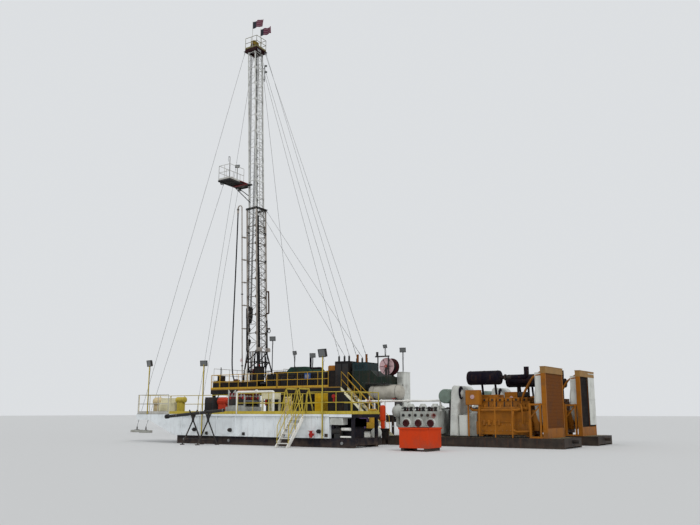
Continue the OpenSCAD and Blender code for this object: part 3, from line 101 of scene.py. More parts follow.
def srgb(code: str) -> Colour:
    """Turns a colour such as #c8a030 into linear values.

    Args:
        code: The colour, as a hash sign and six hexadecimal digits.

    Returns:
        Red, green and blue, each from 0 to 1 in linear light.
    """
    parts = [int(code[i : i + 2], 16) / 255 for i in (1, 3, 5)]
    red, green, blue = [c / 12.92 if c <= 0.04045 else ((c + 0.055) / 1.055) ** 2.4 for c in parts]
    return (red, green, blue)


def on_mast(x: float, y: float, z: float) -> Vector:
    """Turns a place in the leaning mast's frame into one above the ground.

    Args:
        x: Distance across the mast, positive towards its back.
        y: Distance across the mast, positive away from the viewer.
        z: Distance along the mast from its foot.

    Returns:
        The place in the rig's frame.
    """
    return MAST @ Vector((x, y, z))


class Body(Enum):
    """The bodies of the frame that a piece can ride on."""

    RIG = "rig"
    BLOCK = "travelling_block"
    REEL = "hose_reel"


class Sheen(Enum):
    """How a finish reflects: roughness, metallic value and specular level."""

    MATT = (0.78, 0.0, 0.06)
    SATIN = (0.55, 0.0, 0.13)
    STEEL = (0.42, 0.85, 0.5)
    RUBBER = (0.62, 0.0, 0.12)


# ---------------------------------------------------------------- shader groups


class Group:
    """A shader node group that is built once and placed in many materials."""

    def __init__(
        self, name: str, inputs: Sequence[tuple[str, str, object]], outputs: Sequence[tuple[str, str]]
    ) -> None:
        """Makes the empty group with its named sockets.

        Args:
            name: Name of the group.
            inputs: Name, socket type and default value of each input.
            outputs: Name and socket type of each output.
        """
        self.tree = bpy.data.node_groups.new(name, "ShaderNodeTree")
        for title, kind, value in inputs:
            socket = self.tree.interface.new_socket(name=title, in_out="INPUT", socket_type=kind)
            if value is not None:
                socket.default_value = value
        for title, kind in outputs:
            self.tree.interface.new_socket(name=title, in_out="OUTPUT", socket_type=kind)
        self.inside = self.tree.nodes.new("NodeGroupInput")
        self.outside = self.tree.nodes.new("NodeGroupOutput")

    def node(self, kind: str, links: dict[str, object] | None = None, **settings: object) -> bpy.types.Node:
        """Adds a node and wires its inputs.

        Args:
            kind: Blender's name of the node type.
            links: What each input takes: a socket, or a plain value.
            **settings: Properties to set on the node.

        Returns:
            The new node.
        """
        return wire(self.tree, kind, links, **settings)

    def source(self, name: str) -> bpy.types.NodeSocket:
        """Gives the socket that carries a group input."""
        return self.inside.outputs[name]

    def send(self, name: str, socket: bpy.types.NodeSocket) -> None:
        """Wires a socket to a group output."""
        self.tree.links.new(socket, self.outside.inputs[name])


def wire(
    tree: bpy.types.NodeTree, kind: str, links: dict[str, object] | None = None, **settings: object
) -> bpy.types.Node:
    """Adds a node to a tree, sets its properties and wires its inputs.

    Args:
        tree: The tree to add to.
        kind: Blender's name of the node type.
        links: What each input takes: a socket, or a plain value. Keys are names or numbers.
        **settings: Properties to set on the node.

    Returns:
        The new node.
    """
    node = tree.nodes.new(kind)
    for key, value in settings.items():
        setattr(node, key, value)
    for key, value in (links or {}).items():
        socket = node.inputs[key]
        if isinstance(value, bpy.types.NodeSocket):
            tree.links.new(value, socket)
        else:
            socket.default_value = value
    return node


def maths(
    tree: bpy.types.NodeTree, operation: str, a: object, b: object = 0.0, clamp: bool = False
) -> bpy.types.NodeSocket:
    """Adds a maths node.

    Args:
        tree: The tree to add to.
        operation: The sum to make, such as MULTIPLY.
        a: First value or socket.
        b: Second value or socket.
        clamp: Whether the result is kept between 0 and 1.

    Returns:
        The socket with the result.
    """
    return wire(tree, "ShaderNodeMath", {0: a, 1: b}, operation=operation, use_clamp=clamp).outputs[0]


def blend_colour(
    tree: bpy.types.NodeTree, factor: object, a: object, b: object, mode: str = "MIX"
) -> bpy.types.NodeSocket:
    """Adds a node that mixes two colours.

    Args:
        tree: The tree to add to.
        factor: Share of the second colour.
        a: First colour or socket.
        b: Second colour or socket.
        mode: How the colours are mixed.

    Returns:
        The socket with the mixed colour.
    """
    node = wire(tree, "ShaderNodeMix", data_type="RGBA", blend_type=mode)
    for index, value in ((0, factor), (6, a), (7, b)):
        if isinstance(value, bpy.types.NodeSocket):
            tree.links.new(value, node.inputs[index])
        elif index == 0:
            node.inputs[index].default_value = value
        else:
            node.inputs[index].default_value = (*value[:3], 1.0)
    return node.outputs[2]


def threshold(tree: bpy.types.NodeTree, value: object, low: float, high: float) -> bpy.types.NodeSocket:
    """Adds a smooth step from 0 at low to 1 at high."""
    return wire(
        tree, "ShaderNodeMapRange", {0: value, 1: low, 2: high, 3: 0.0, 4: 1.0}, interpolation_type="SMOOTHSTEP"
    ).outputs[0]


def noise_value(tree: bpy.types.NodeTree, vector: object, scale: float, detail: float = 4.0) -> bpy.types.NodeSocket:
    """Adds a noise texture and gives its value."""
    return wire(
        tree, "ShaderNodeTexNoise", {"Vector": vector, "Scale": scale, "Detail": detail, "Roughness": 0.6}
    ).outputs[0]


def stretch(tree: bpy.types.NodeTree, vector: object, scale: Point) -> bpy.types.NodeSocket:
    """Scales a vector along its three axes."""
    return wire(tree, "ShaderNodeVectorMath", {0: vector, 1: scale}, operation="MULTIPLY").outputs[0]


def build_weather_group() -> Group:
    """Makes the group for faded paint with grime, run marks, chips and dried mud.

    Returns:
        The group. Its masks come from the place on the object and from how far a face looks up.
    """
    g = Group(
        "weathering",
        [
            ("Place", "NodeSocketVector", None),
            ("Up", "NodeSocketFloat", 0.0),
            ("Paint", "NodeSocketColor", (0.5, 0.5, 0.5, 1.0)),
            ("Grime Colour", "NodeSocketColor", (0.05, 0.04, 0.03, 1.0)),
            ("Rust Colour", "NodeSocketColor", (0.12, 0.045, 0.02, 1.0)),
            ("Mud Colour", "NodeSocketColor", (0.12, 0.085, 0.06, 1.0)),
            ("Fade", "NodeSocketFloat", 0.2),
            ("Grime", "NodeSocketFloat", 0.3),
            ("Runs", "NodeSocketFloat", 0.3),
            ("Chips", "NodeSocketFloat", 0.2),
            ("Mud", "NodeSocketFloat", 0.5),
            ("Roughness", "NodeSocketFloat", 0.5),
        ],
        [
            ("Colour", "NodeSocketColor"), ("Roughness", "NodeSocketFloat"),
            ("Worn", "NodeSocketFloat"), ("Height", "NodeSocketFloat")
        ],
    )
    t = g.tree
    place = g.source("Place")
    height = wire(t, "ShaderNodeSeparateXYZ", {0: place}).outputs[2]
    patches = noise_value(t, place, 0.7, 3.0)
    bleached = blend_colour(
        t, 0.06, blend_colour(t, 1.0, g.source("Paint"), (1.7, 1.65, 1.6), "MULTIPLY"), (0.6, 0.58, 0.54)
    )
    pale = blend_colour(t, maths(t, "MULTIPLY", patches, g.source("Fade"), True), g.source("Paint"), bleached)
    dark = blend_colour(
        t, maths(t, "MULTIPLY", threshold(t, noise_value(t, place, 1.9, 6.0), 0.45, 0.7), g.source("Grime"), True),
        pale, g.source("Grime Colour"))
    streak = threshold(t, noise_value(t, stretch(t, place, (7.0, 7.0, 0.45)), 1.0, 5.0), 0.52, 0.74)
    side = maths(t, "SUBTRACT", 1.0, maths(t, "ABSOLUTE", g.source("Up")), True)
    run_mask = maths(t, "MULTIPLY", maths(t, "MULTIPLY", streak, side), g.source("Runs"), True)
    runs = blend_colour(t, run_mask, dark, g.source("Rust Colour"))
    chip_field = noise_value(t, place, 16.0, 6.0)
    chip_mask = maths(t, "MULTIPLY", threshold(t, chip_field, 0.6, 0.66), g.source("Chips"), True)
    chipped = blend_colour(t, chip_mask, runs, g.source("Rust Colour"))
    splash = maths(
        t, "ADD", maths(t, "MULTIPLY", noise_value(t, place, 2.6, 8.0), 1.5), maths(t, "MULTIPLY", height, -0.9)
    )
    top_dust = maths(t, "MULTIPLY", threshold(t, g.source("Up"), 0.6, 1.0), noise_value(t, place, 3.1, 5.0))
    low = maths(t, "MULTIPLY", threshold(t, splash, 0.25, 1.0), g.source("Mud"), True)
    dusty = maths(t, "MULTIPLY", maths(t, "MULTIPLY", top_dust, 0.7), g.source("Mud"), True)
    mud_mask = maths(t, "MAXIMUM", low, dusty)
    muddy = blend_colour(t, mud_mask, chipped, g.source("Mud Colour"))
    worn = maths(t, "MAXIMUM", mud_mask, maths(t, "MAXIMUM", chip_mask, run_mask))
    rough = maths(t, "ADD", g.source("Roughness"), maths(t, "MULTIPLY", worn, 0.3), True)
    rough = maths(t, "ADD", rough, maths(t, "MULTIPLY", maths(t, "SUBTRACT", patches, 0.5), 0.25), True)
    grain = noise_value(t, place, 60.0, 2.0)
    relief = maths(t, "SUBTRACT", maths(t, "MULTIPLY", grain, 0.25), maths(t, "MULTIPLY", chip_mask, 0.6))
    relief = maths(t, "ADD", relief, maths(t, "MULTIPLY", mud_mask, 0.7))
    g.send("Colour", muddy)
    g.send("Roughness", rough)
    g.send("Worn", worn)
    g.send("Height", relief)
    return g


def build_mesh_group() -> Group:
    """Makes the group for a square grid of bars seen from above: a mask that is 1 on a bar.

    Returns:
        The group.
    """
    g = Group(
        "grating",
        [("Place", "NodeSocketVector", None), ("Pitch", "NodeSocketFloat", 0.1), ("Bar", "NodeSocketFloat", 0.2)],
        [("Mask", "NodeSocketFloat"), ("Height", "NodeSocketFloat")],
    )
    t = g.tree
    split = wire(t, "ShaderNodeSeparateXYZ", {0: g.source("Place")})
    bars = []
    for axis, stride in ((0, 1.0), (1, 3.0)):
        pitch = maths(t, "MULTIPLY", g.source("Pitch"), stride)
        cell = maths(t, "FRACT", maths(t, "DIVIDE", split.outputs[axis], pitch))
        share = maths(t, "DIVIDE", g.source("Bar"), stride)
        bars.append(maths(t, "LESS_THAN", cell, share))
    mask = maths(t, "MAXIMUM", bars[0], bars[1])
    g.send("Mask", mask)
    g.send("Height", mask)
    return g


def build_strand_group() -> Group:
    """Makes the group for the twisted strands of a rope or the plies of a hose, by height along it.

    Returns:
        The group.
    """
    g = Group(
        "strands",
        [("Place", "NodeSocketVector", None), ("Pitch", "NodeSocketFloat", 0.12)],
        [("Mask", "NodeSocketFloat"), ("Height", "NodeSocketFloat")],
    )
    t = g.tree
    split = wire(t, "ShaderNodeSeparateXYZ", {0: g.source("Place")})
    twist = maths(
        t, "ADD", split.outputs[2], maths(t, "MULTIPLY", maths(t, "ADD", split.outputs[0], split.outputs[1]), 1.4)
    )
    wave = maths(t, "SINE", maths(t, "MULTIPLY", maths(t, "DIVIDE", twist, g.source("Pitch")), 6.2832))
    mask = maths(t, "ADD", maths(t, "MULTIPLY", wave, 0.5), 0.5)
    g.send("Mask", mask)
    g.send("Height", mask)
    return g


class Library:
    """Shader groups shared by the finishes, and the materials made so far."""

    made: dict[str, bpy.types.Material] = {}
    weather = build_weather_group()
    grating = build_mesh_group()
    strands = build_strand_group()


# ---------------------------------------------------------------- finishes


@dataclass(frozen=True)
class Finish:
    """A weathered paint or bare metal.

    Attributes:
        name: Name of the material.
        paint: Colour of the paint, as a hash sign and six hexadecimal digits.
        sheen: How the finish reflects.
        fade: Share of sun-bleached patches.
        grime: Share of dark oily patches.
        runs: Strength of rust run marks on upright faces.
        chips: Strength of small chips.
        mud: Strength of dried mud low down and of dust on top.
        relief: Height of the surface's grain in metres.
    """

    name: str
    paint: str
    sheen: Sheen = Sheen.SATIN
    fade: float = 0.25
    grime: float = 0.3
    runs: float = 0.25
    chips: float = 0.3
    mud: float = 0.4
    relief: float = 0.002

    def shade(self, tree: bpy.types.NodeTree, place: bpy.types.NodeSocket, paint: object) -> bpy.types.Node:
        """Places the weathering group in a material.

        Args:
            tree: The material's tree.
            place: Socket with the place on the object.
            paint: Colour or socket of the clean paint.

        Returns:
            The group node.
        """
        normal = wire(tree, "ShaderNodeNewGeometry").outputs["Normal"]
        up = wire(tree, "ShaderNodeSeparateXYZ", {0: normal}).outputs[2]
        node = wire(tree, "ShaderNodeGroup", node_tree=Library.weather.tree)
        values = {"Fade": self.fade, "Grime": self.grime, "Runs": self.runs, "Chips": self.chips, "Mud": self.mud,
                  "Roughness": self.sheen.value[0]}
        for key, value in values.items():
            node.inputs[key].default_value = value
        tree.links.new(place, node.inputs["Place"])
        tree.links.new(up, node.inputs["Up"])
        if isinstance(paint, bpy.types.NodeSocket):
            tree.links.new(paint, node.inputs["Paint"])
        else:
            node.inputs["Paint"].default_value = (*paint, 1.0)
        return node

    def pattern(self, tree: bpy.types.NodeTree, place: bpy.types.NodeSocket) -> tuple[object, object]:
        """Gives the clean colour and an extra height, which plain paint has none of.

        Args:
            tree: The material's tree. Not used.
            place: Socket with the place on the object. Not used.

        Returns:
            The colour or its socket, and the socket of the height or None.
        """
        return srgb(self.paint), None

    def material(self) -> bpy.types.Material:
        """Gives the material, which is made on first use.

        Returns:
            The finished material.
        """
        if self.name in Library.made:
            return Library.made[self.name]
        made = bpy.data.materials.new(f"look_{self.name}")
        Library.made[self.name] = made
        made.use_nodes = True
        tree = made.node_tree
        shader = tree.nodes["Principled BSDF"]
        place = wire(tree, "ShaderNodeTexCoord").outputs["Object"]
        colour, extra = self.pattern(tree, place)
        weather = self.shade(tree, place, colour)
        tree.links.new(weather.outputs["Colour"], shader.inputs["Base Color"])
        tree.links.new(weather.outputs["Roughness"], shader.inputs["Roughness"])
        shader.inputs["Specular IOR Level"].default_value = self.sheen.value[2]
        if self.sheen.value[1] > 0:
            bare = maths(tree, "SUBTRACT", 1.0, weather.outputs["Worn"], True)
            tree.links.new(maths(tree, "MULTIPLY", bare, self.sheen.value[1]), shader.inputs["Metallic"])
        height = weather.outputs["Height"]
        if extra is not None:
            height = maths(tree, "ADD", height, maths(tree, "MULTIPLY", extra, 4.0))
        bump = wire(tree, "ShaderNodeBump", {"Strength": 0.5, "Distance": self.relief, "Height": height})
        tree.links.new(bump.outputs[0], shader.inputs["Normal"])
        return made


@dataclass(frozen=True)
class GratingFinish(Finish):
    """A walkway of open bars: painted shade in the gaps between worn bars.

    Attributes:
        pitch: Distance between bars in metres.
    """

    pitch: float = 0.09

    def pattern(self, tree: bpy.types.NodeTree, place: bpy.types.NodeSocket) -> tuple[object, object]:
        """Gives the bars' colour with painted shade in the gaps, and the bars' height.

        Args:
            tree: The material's tree.
            place: Socket with the place on the object.

        Returns:
            The socket of the colour, and the socket of the height.
        """
        grid = wire(tree, "ShaderNodeGroup", node_tree=Library.grating.tree)
        grid.inputs["Pitch"].default_value = self.pitch
        grid.inputs["Bar"].default_value = 0.34
        tree.links.new(place, grid.inputs["Place"])
        # The near-black colour between the bars is painted shade for the open gaps.
        colour = blend_colour(tree, grid.outputs["Mask"], (0.012, 0.011, 0.01), srgb(self.paint))
        return colour, grid.outputs["Height"]


@dataclass(frozen=True)
class RopeFinish(Finish):
    """A wire rope or hose with strands that wind round it.

    Attributes:
        pitch: Length of one turn of a strand in metres.
    """

    pitch: float = 0.1

    def pattern(self, tree: bpy.types.NodeTree, place: bpy.types.NodeSocket) -> tuple[object, object]:
        """Gives a colour with painted shade between the strands, and the strands' height.

        Args:
            tree: The material's tree.
            place: Socket with the place on the object.

        Returns:
            The socket of the colour, and the socket of the height.
        """
        strands = wire(tree, "ShaderNodeGroup", node_tree=Library.strands.tree)
        strands.inputs["Pitch"].default_value = self.pitch
        tree.links.new(place, strands.inputs["Place"])
        base = srgb(self.paint)
        # deep is the base colour darkened as painted shade for the grooves between strands.
        deep = (base[0] * 0.45, base[1] * 0.45, base[2] * 0.45)
        return blend_colour(tree, strands.outputs["Mask"], deep, base), strands.outputs["Height"]


@dataclass(frozen=True)
class FlagFinish(Finish):
    """Printed cloth: a dark field beside the pole and bands along the rest.

    Attributes:
        pole_x: Place of the pole along X.
        top_z: Height of the cloth's top edge.
        field_w: Length of the dark field in metres.
        band: Height of one band in metres.
    """

    pole_x: float = 0.0
    top_z: float = 34.0
    field_w: float = 0.5
    band: float = 0.1

    def pattern(self, tree: bpy.types.NodeTree, place: bpy.types.NodeSocket) -> tuple[object, object]:
        """Gives the bands and the field, with no extra height.

        Args:
            tree: The material's tree.
            place: Socket with the place on the object.

        Returns:
            The socket of the colour, and None.
        """
        split = wire(tree, "ShaderNodeSeparateXYZ", {0: place})
        along = maths(tree, "SUBTRACT", split.outputs[0], self.pole_x)
        down = maths(tree, "DIVIDE", maths(tree, "SUBTRACT", self.top_z, split.outputs[2]), self.band)
        odd = maths(tree, "LESS_THAN", maths(tree, "FRACT", maths(tree, "MULTIPLY", down, 0.5)), 0.5)
        bands = blend_colour(tree, odd, srgb("#7a5f66"), srgb(self.paint))
        inner = maths(tree, "LESS_THAN", along, self.field_w)
        return blend_colour(tree, inner, bands, srgb("#2c3038")), None


@dataclass(frozen=True)
class CoreFinish(Finish):
    """A radiator core: close fins along its height, with flat tubes across them.

    Attributes:
        pitch: Distance between fins in metres.
        slot: Brightness of the painted shade in the gaps between the fins.
    """

    pitch: float = 0.03
    slot: float = 0.3

    def pattern(self, tree: bpy.types.NodeTree, place: bpy.types.NodeSocket) -> tuple[object, object]:
        """Gives the fins' colour with painted shade in the slots, and the fins' height.

        Args:
            tree: The material's tree.
            place: Socket with the place on the object.

        Returns:
            The socket of the colour, and the socket of the height.
        """
        split = wire(tree, "ShaderNodeSeparateXYZ", {0: place})
        fin = maths(tree, "FRACT", maths(tree, "DIVIDE", split.outputs[1], self.pitch))
        tube = maths(tree, "FRACT", maths(tree, "DIVIDE", split.outputs[2], self.pitch * 5))
        mask = maths(tree, "MULTIPLY", maths(tree, "GREATER_THAN", fin, 0.45), maths(tree, "GREATER_THAN", tube, 0.2))
        base = srgb(self.paint)
        # deep is the paint darkened by slot: painted shade in the gaps between the fins and along the tube rows.
        deep = (base[0] * self.slot, base[1] * self.slot, base[2] * self.slot)
        return blend_colour(tree, mask, deep, base), mask


@dataclass(frozen=True)
class LensFinish:
    """The glass of a floodlight.

    Attributes:
        name: Name of the material.
        tint: Colour of the glass.
    """

    name: str
    tint: str

    def material(self) -> bpy.types.Material:
        """Gives the material, which is made on first use.

        Returns:
            The finished material.
        """
        if self.name in Library.made:
            return Library.made[self.name]
        made = bpy.data.materials.new(f"look_{self.name}")
        Library.made[self.name] = made
        made.use_nodes = True
        tree = made.node_tree
        shader = tree.nodes["Principled BSDF"]
        place = wire(tree, "ShaderNodeTexCoord").outputs["Object"]
        ribs = maths(
            tree, "FRACT", maths(tree, "MULTIPLY", wire(tree, "ShaderNodeSeparateXYZ", {0: place}).outputs[2], 45.0)
        )
        dust = noise_value(tree, place, 9.0, 5.0)
        tint = srgb(self.tint)
        soiled = blend_colour(tree, maths(tree, "MULTIPLY", dust, 0.5), tint, (0.2, 0.18, 0.15))
        tree.links.new(soiled, shader.inputs["Base Color"])
        tree.links.new(maths(tree, "MULTIPLY", dust, 0.35), shader.inputs["Roughness"])
        bump = wire(tree, "ShaderNodeBump", {"Strength": 0.4, "Distance": 0.003, "Height": ribs})
        tree.links.new(bump.outputs[0], shader.inputs["Normal"])
        return made


Coat = Finish | LensFinish


class Finishes:
    """Every finish of the rig."""

    mast_white = Finish("mast_white", "#c3c4c0", fade=0.2, grime=0.45, runs=0.4, chips=0.5, mud=0.1)
    mast_grey = Finish("mast_grey", "#9f9890", fade=0.2, grime=0.5, runs=0.5, chips=0.7, mud=0.15)
    # The web is painted darker than the legs: painted shade on the lattice's bars.
    mast_web_shaded = Finish("mast_web_shaded", "#5a544e", fade=0.2, grime=0.5, runs=0.4, chips=0.4, mud=0.1)
    wheel_grey = Finish("wheel_grey", "#6d6e6c", fade=0.2, grime=0.55, runs=0.4, chips=0.5, mud=0.4)
    dark_steel = Finish("dark_steel", "#2b2c2d", fade=0.12, grime=0.5, runs=0.35, chips=0.4, mud=0.35)
    black_paint = Finish("black_paint", "#141314", fade=0.08, grime=0.3, runs=0.25, chips=0.35, mud=0.35)
    hot_black = Finish("hot_black", "#100d19", Sheen.MATT, fade=0.08, grime=0.4, runs=0.3, chips=0.25, mud=0.15)
    rail_yellow = Finish("rail_yellow", "#b8902a", fade=0.2, grime=0.2, runs=0.3, chips=0.45, mud=0.2)
    pale_yellow = Finish("pale_yellow", "#b5a13c", fade=0.3, grime=0.2, runs=0.25, chips=0.4, mud=0.25)
    crown_yellow = Finish("crown_yellow", "#9a7f26", fade=0.2, grime=0.7, runs=0.55, chips=0.45, mud=0.05)
    crown_dark = Finish("crown_dark", "#2c1418", Sheen.MATT, fade=0.08, grime=0.4, runs=0.3, chips=0.3, mud=0.05)
    guard_olive = Finish("guard_olive", "#6f6840", fade=0.15, grime=0.6, runs=0.4, chips=0.4, mud=0.05)
    rail_grey = Finish("rail_grey", "#b2b1ab", fade=0.25, grime=0.3, runs=0.3, chips=0.4, mud=0.2)
    tank_white = Finish("tank_white", "#dce1e3", fade=0.12, grime=0.14, runs=0.2, chips=0.16, mud=0.55)
    dark_red = Finish("dark_red", "#641a1e", fade=0.2, grime=0.4, runs=0.25, chips=0.35, mud=0.3)
    motor_red = Finish("motor_red", "#b83a22", fade=0.2, grime=0.35, runs=0.25, chips=0.35, mud=0.2)
    valve_red = Finish("valve_red", "#9e2320", fade=0.2, grime=0.25, runs=0.2, chips=0.35, mud=0.3)
    ochre = Finish("ochre", "#a0641a", fade=0.1, grime=0.34, runs=0.3, chips=0.3, mud=0.3)
    ochre_dark = Finish("ochre_dark", "#93590f", fade=0.1, grime=0.45, runs=0.35, chips=0.35, mud=0.3)
    guard_brown = Finish("guard_brown", "#3f2a1c", fade=0.15, grime=0.45, runs=0.3, chips=0.3, mud=0.15)
    rust_brown = Finish("rust_brown", "#7a4519", fade=0.2, grime=0.45, runs=0.4, chips=0.4, mud=0.3)
    tan_band = Finish("tan_band", "#8c6a3a", fade=0.2, grime=0.3, runs=0.35, chips=0.3, mud=0.15)
    # The core finishes darken the gaps between their fins by slot as painted shade.
    core_dark = CoreFinish("core_dark", "#221d1d", Sheen.MATT, fade=0.06, grime=0.4, runs=0.1, chips=0.1, mud=0.2)
    core_brown = CoreFinish(
        "core_brown", "#6e4018", Sheen.MATT, fade=0.1, grime=0.4, runs=0.2, chips=0.2, mud=0.3, slot=0.72
    )
    pump_grey = Finish("pump_grey", "#a9aca6", fade=0.2, grime=0.4, runs=0.35, chips=0.3, mud=0.45)
    pale_grey = Finish("pale_grey", "#c6c8c2", fade=0.2, grime=0.25, runs=0.3, chips=0.25, mud=0.3)
    pipe_white = Finish("pipe_white", "#e3e2dc", fade=0.15, grime=0.22, runs=0.28, chips=0.25, mud=0.25)
    cream = Finish("cream", "#dcd6b4", fade=0.2, grime=0.25, runs=0.3, chips=0.3, mud=0.45)
    buff = Finish("buff", "#cdbb92", fade=0.2, grime=0.3, runs=0.3, chips=0.3, mud=0.3)
    drum_green = Finish("drum_green", "#6f7f75", fade=0.2, grime=0.35, runs=0.25, chips=0.3, mud=0.2)
    body_green = Finish("body_green", "#18261f", fade=0.1, grime=0.35, runs=0.2, chips=0.25, mud=0.25)
    vessel_grey = Finish("vessel_grey", "#aaa69b", fade=0.2, grime=0.3, runs=0.35, chips=0.25, mud=0.3)
    pink_white = Finish("pink_white", "#c3a3a6", fade=0.3, grime=0.3, runs=0.2, chips=0.45, mud=0.15)
    maroon = Finish("maroon", "#3c1218", fade=0.15, grime=0.4, runs=0.25, chips=0.35, mud=0.2)
    pipe_ochre = Finish("pipe_ochre", "#a28a2e", fade=0.2, grime=0.5, runs=0.4, chips=0.45, mud=0.3)
    deck_gold = Finish("deck_gold", "#8a6a2c", fade=0.15, grime=0.45, runs=0.4, chips=0.4, mud=0.3)
    box_yellow = Finish("box_yellow", "#c9a010", fade=0.1, grime=0.25, runs=0.25, chips=0.3, mud=0.2)
    skid_navy = Finish("skid_navy", "#15151f", fade=0.1, grime=0.3, runs=0.2, chips=0.3, mud=0.6)
    teal = Finish("teal", "#1c3338", fade=0.15, grime=0.35, runs=0.25, chips=0.35, mud=0.25)
    cover_green = Finish(
        "cover_green", "#1e3a30", Sheen.MATT, fade=0.3, grime=0.4, runs=0.15, chips=0.0, mud=0.35, relief=0.004
    )
    blue = Finish("blue", "#2b4d86", fade=0.2, grime=0.3, runs=0.2, chips=0.3, mud=0.2)
    violet = Finish("violet", "#5f4a7c", fade=0.25, grime=0.4, runs=0.2, chips=0.3, mud=0.3)
    skid_grey = Finish("skid_grey", "#2b2624", fade=0.05, grime=0.45, runs=0.35, chips=0.35, mud=0.35)
    orange = Finish("orange", "#c43a0c", fade=0.08, grime=0.15, runs=0.15, chips=0.3, mud=0.4)
    bare_steel = Finish("bare_steel", "#8d8f90", Sheen.STEEL, fade=0.1, grime=0.4, runs=0.2, chips=0.1, mud=0.2)
    tyre = Finish("tyre", "#1b1b1b", Sheen.RUBBER, fade=0.15, grime=0.2, runs=0.0, chips=0.0, mud=0.9, relief=0.004)
    drill_hose = RopeFinish(
        "drill_hose", "#101117", Sheen.RUBBER, fade=0.0, grime=0.15, runs=0.0, chips=0.0, mud=0.0, pitch=0.16
    )
    hose_black = RopeFinish(
        "hose_black", "#1c1d20", Sheen.RUBBER, fade=0.12, grime=0.2, runs=0.0, chips=0.0, mud=0.2, pitch=0.16
    )
    wire_rope = RopeFinish(
        "wire_rope", "#5c5d5c", Sheen.STEEL, fade=0.1, grime=0.45, runs=0.0, chips=0.15, mud=0.05, pitch=0.09
    )
    walkway = GratingFinish("walkway", "#6a5c3c", fade=0.15, grime=0.4, runs=0.1, chips=0.4, mud=0.45)
    board_grating = GratingFinish(
        "board_grating", "#6a6461", fade=0.12, grime=0.4, runs=0.1, chips=0.4, mud=0.15, pitch=0.12
    )
    tank_deck = GratingFinish("tank_deck", "#8b8c86", fade=0.15, grime=0.4, runs=0.1, chips=0.3, mud=0.5, pitch=0.1)
    tread = GratingFinish("tread", "#9a8c62", fade=0.15, grime=0.35, runs=0.1, chips=0.35, mud=0.5, pitch=0.07)
    lens = LensFinish("lens", "#5a6064")


# ---------------------------------------------------------------- making meshes


def circle(
    centre: Point | Vector, axis: Point | Vector, radius: float, count: int, along: float = 0.0
) -> list[Vector]:
    """Gives points on a circle.

    Args:
        centre: Middle of the circle, before it is moved along the axis.
        axis: Direction that the circle faces.
        radius: Radius of the circle.
        count: Number of points.
        along: Distance from the middle along the axis.

    Returns:
        The points in order.
    """
    turn = Vector(axis).to_track_quat("Z", "Y").to_matrix()
    angles = [k * math.tau / count for k in range(count)]
    return [Vector(centre) + turn @ Vector((radius * math.cos(a), radius * math.sin(a), along)) for a in angles]


def border(x0: float, y0: float, x1: float, y1: float, wide: float) -> list[tuple[float, float, float, float]]:
    """Gives the four bars of a rectangular border, as left, lower, right and upper edge of each.

    Args:
        x0: Left edge of the border.
        y0: Lower edge.
        x1: Right edge.
        y1: Upper edge.
        wide: Width of a bar.

    Returns:
        The lower, the upper, the left and the right bar.
    """
    inner0, inner1 = y0 + wide, y1 - wide
    return [
        (x0, y0, x1, inner0), (x0, inner1, x1, y1), (x0, inner0, x0 + wide, inner1), (x1 - wide, inner0, x1, inner1)
    ]


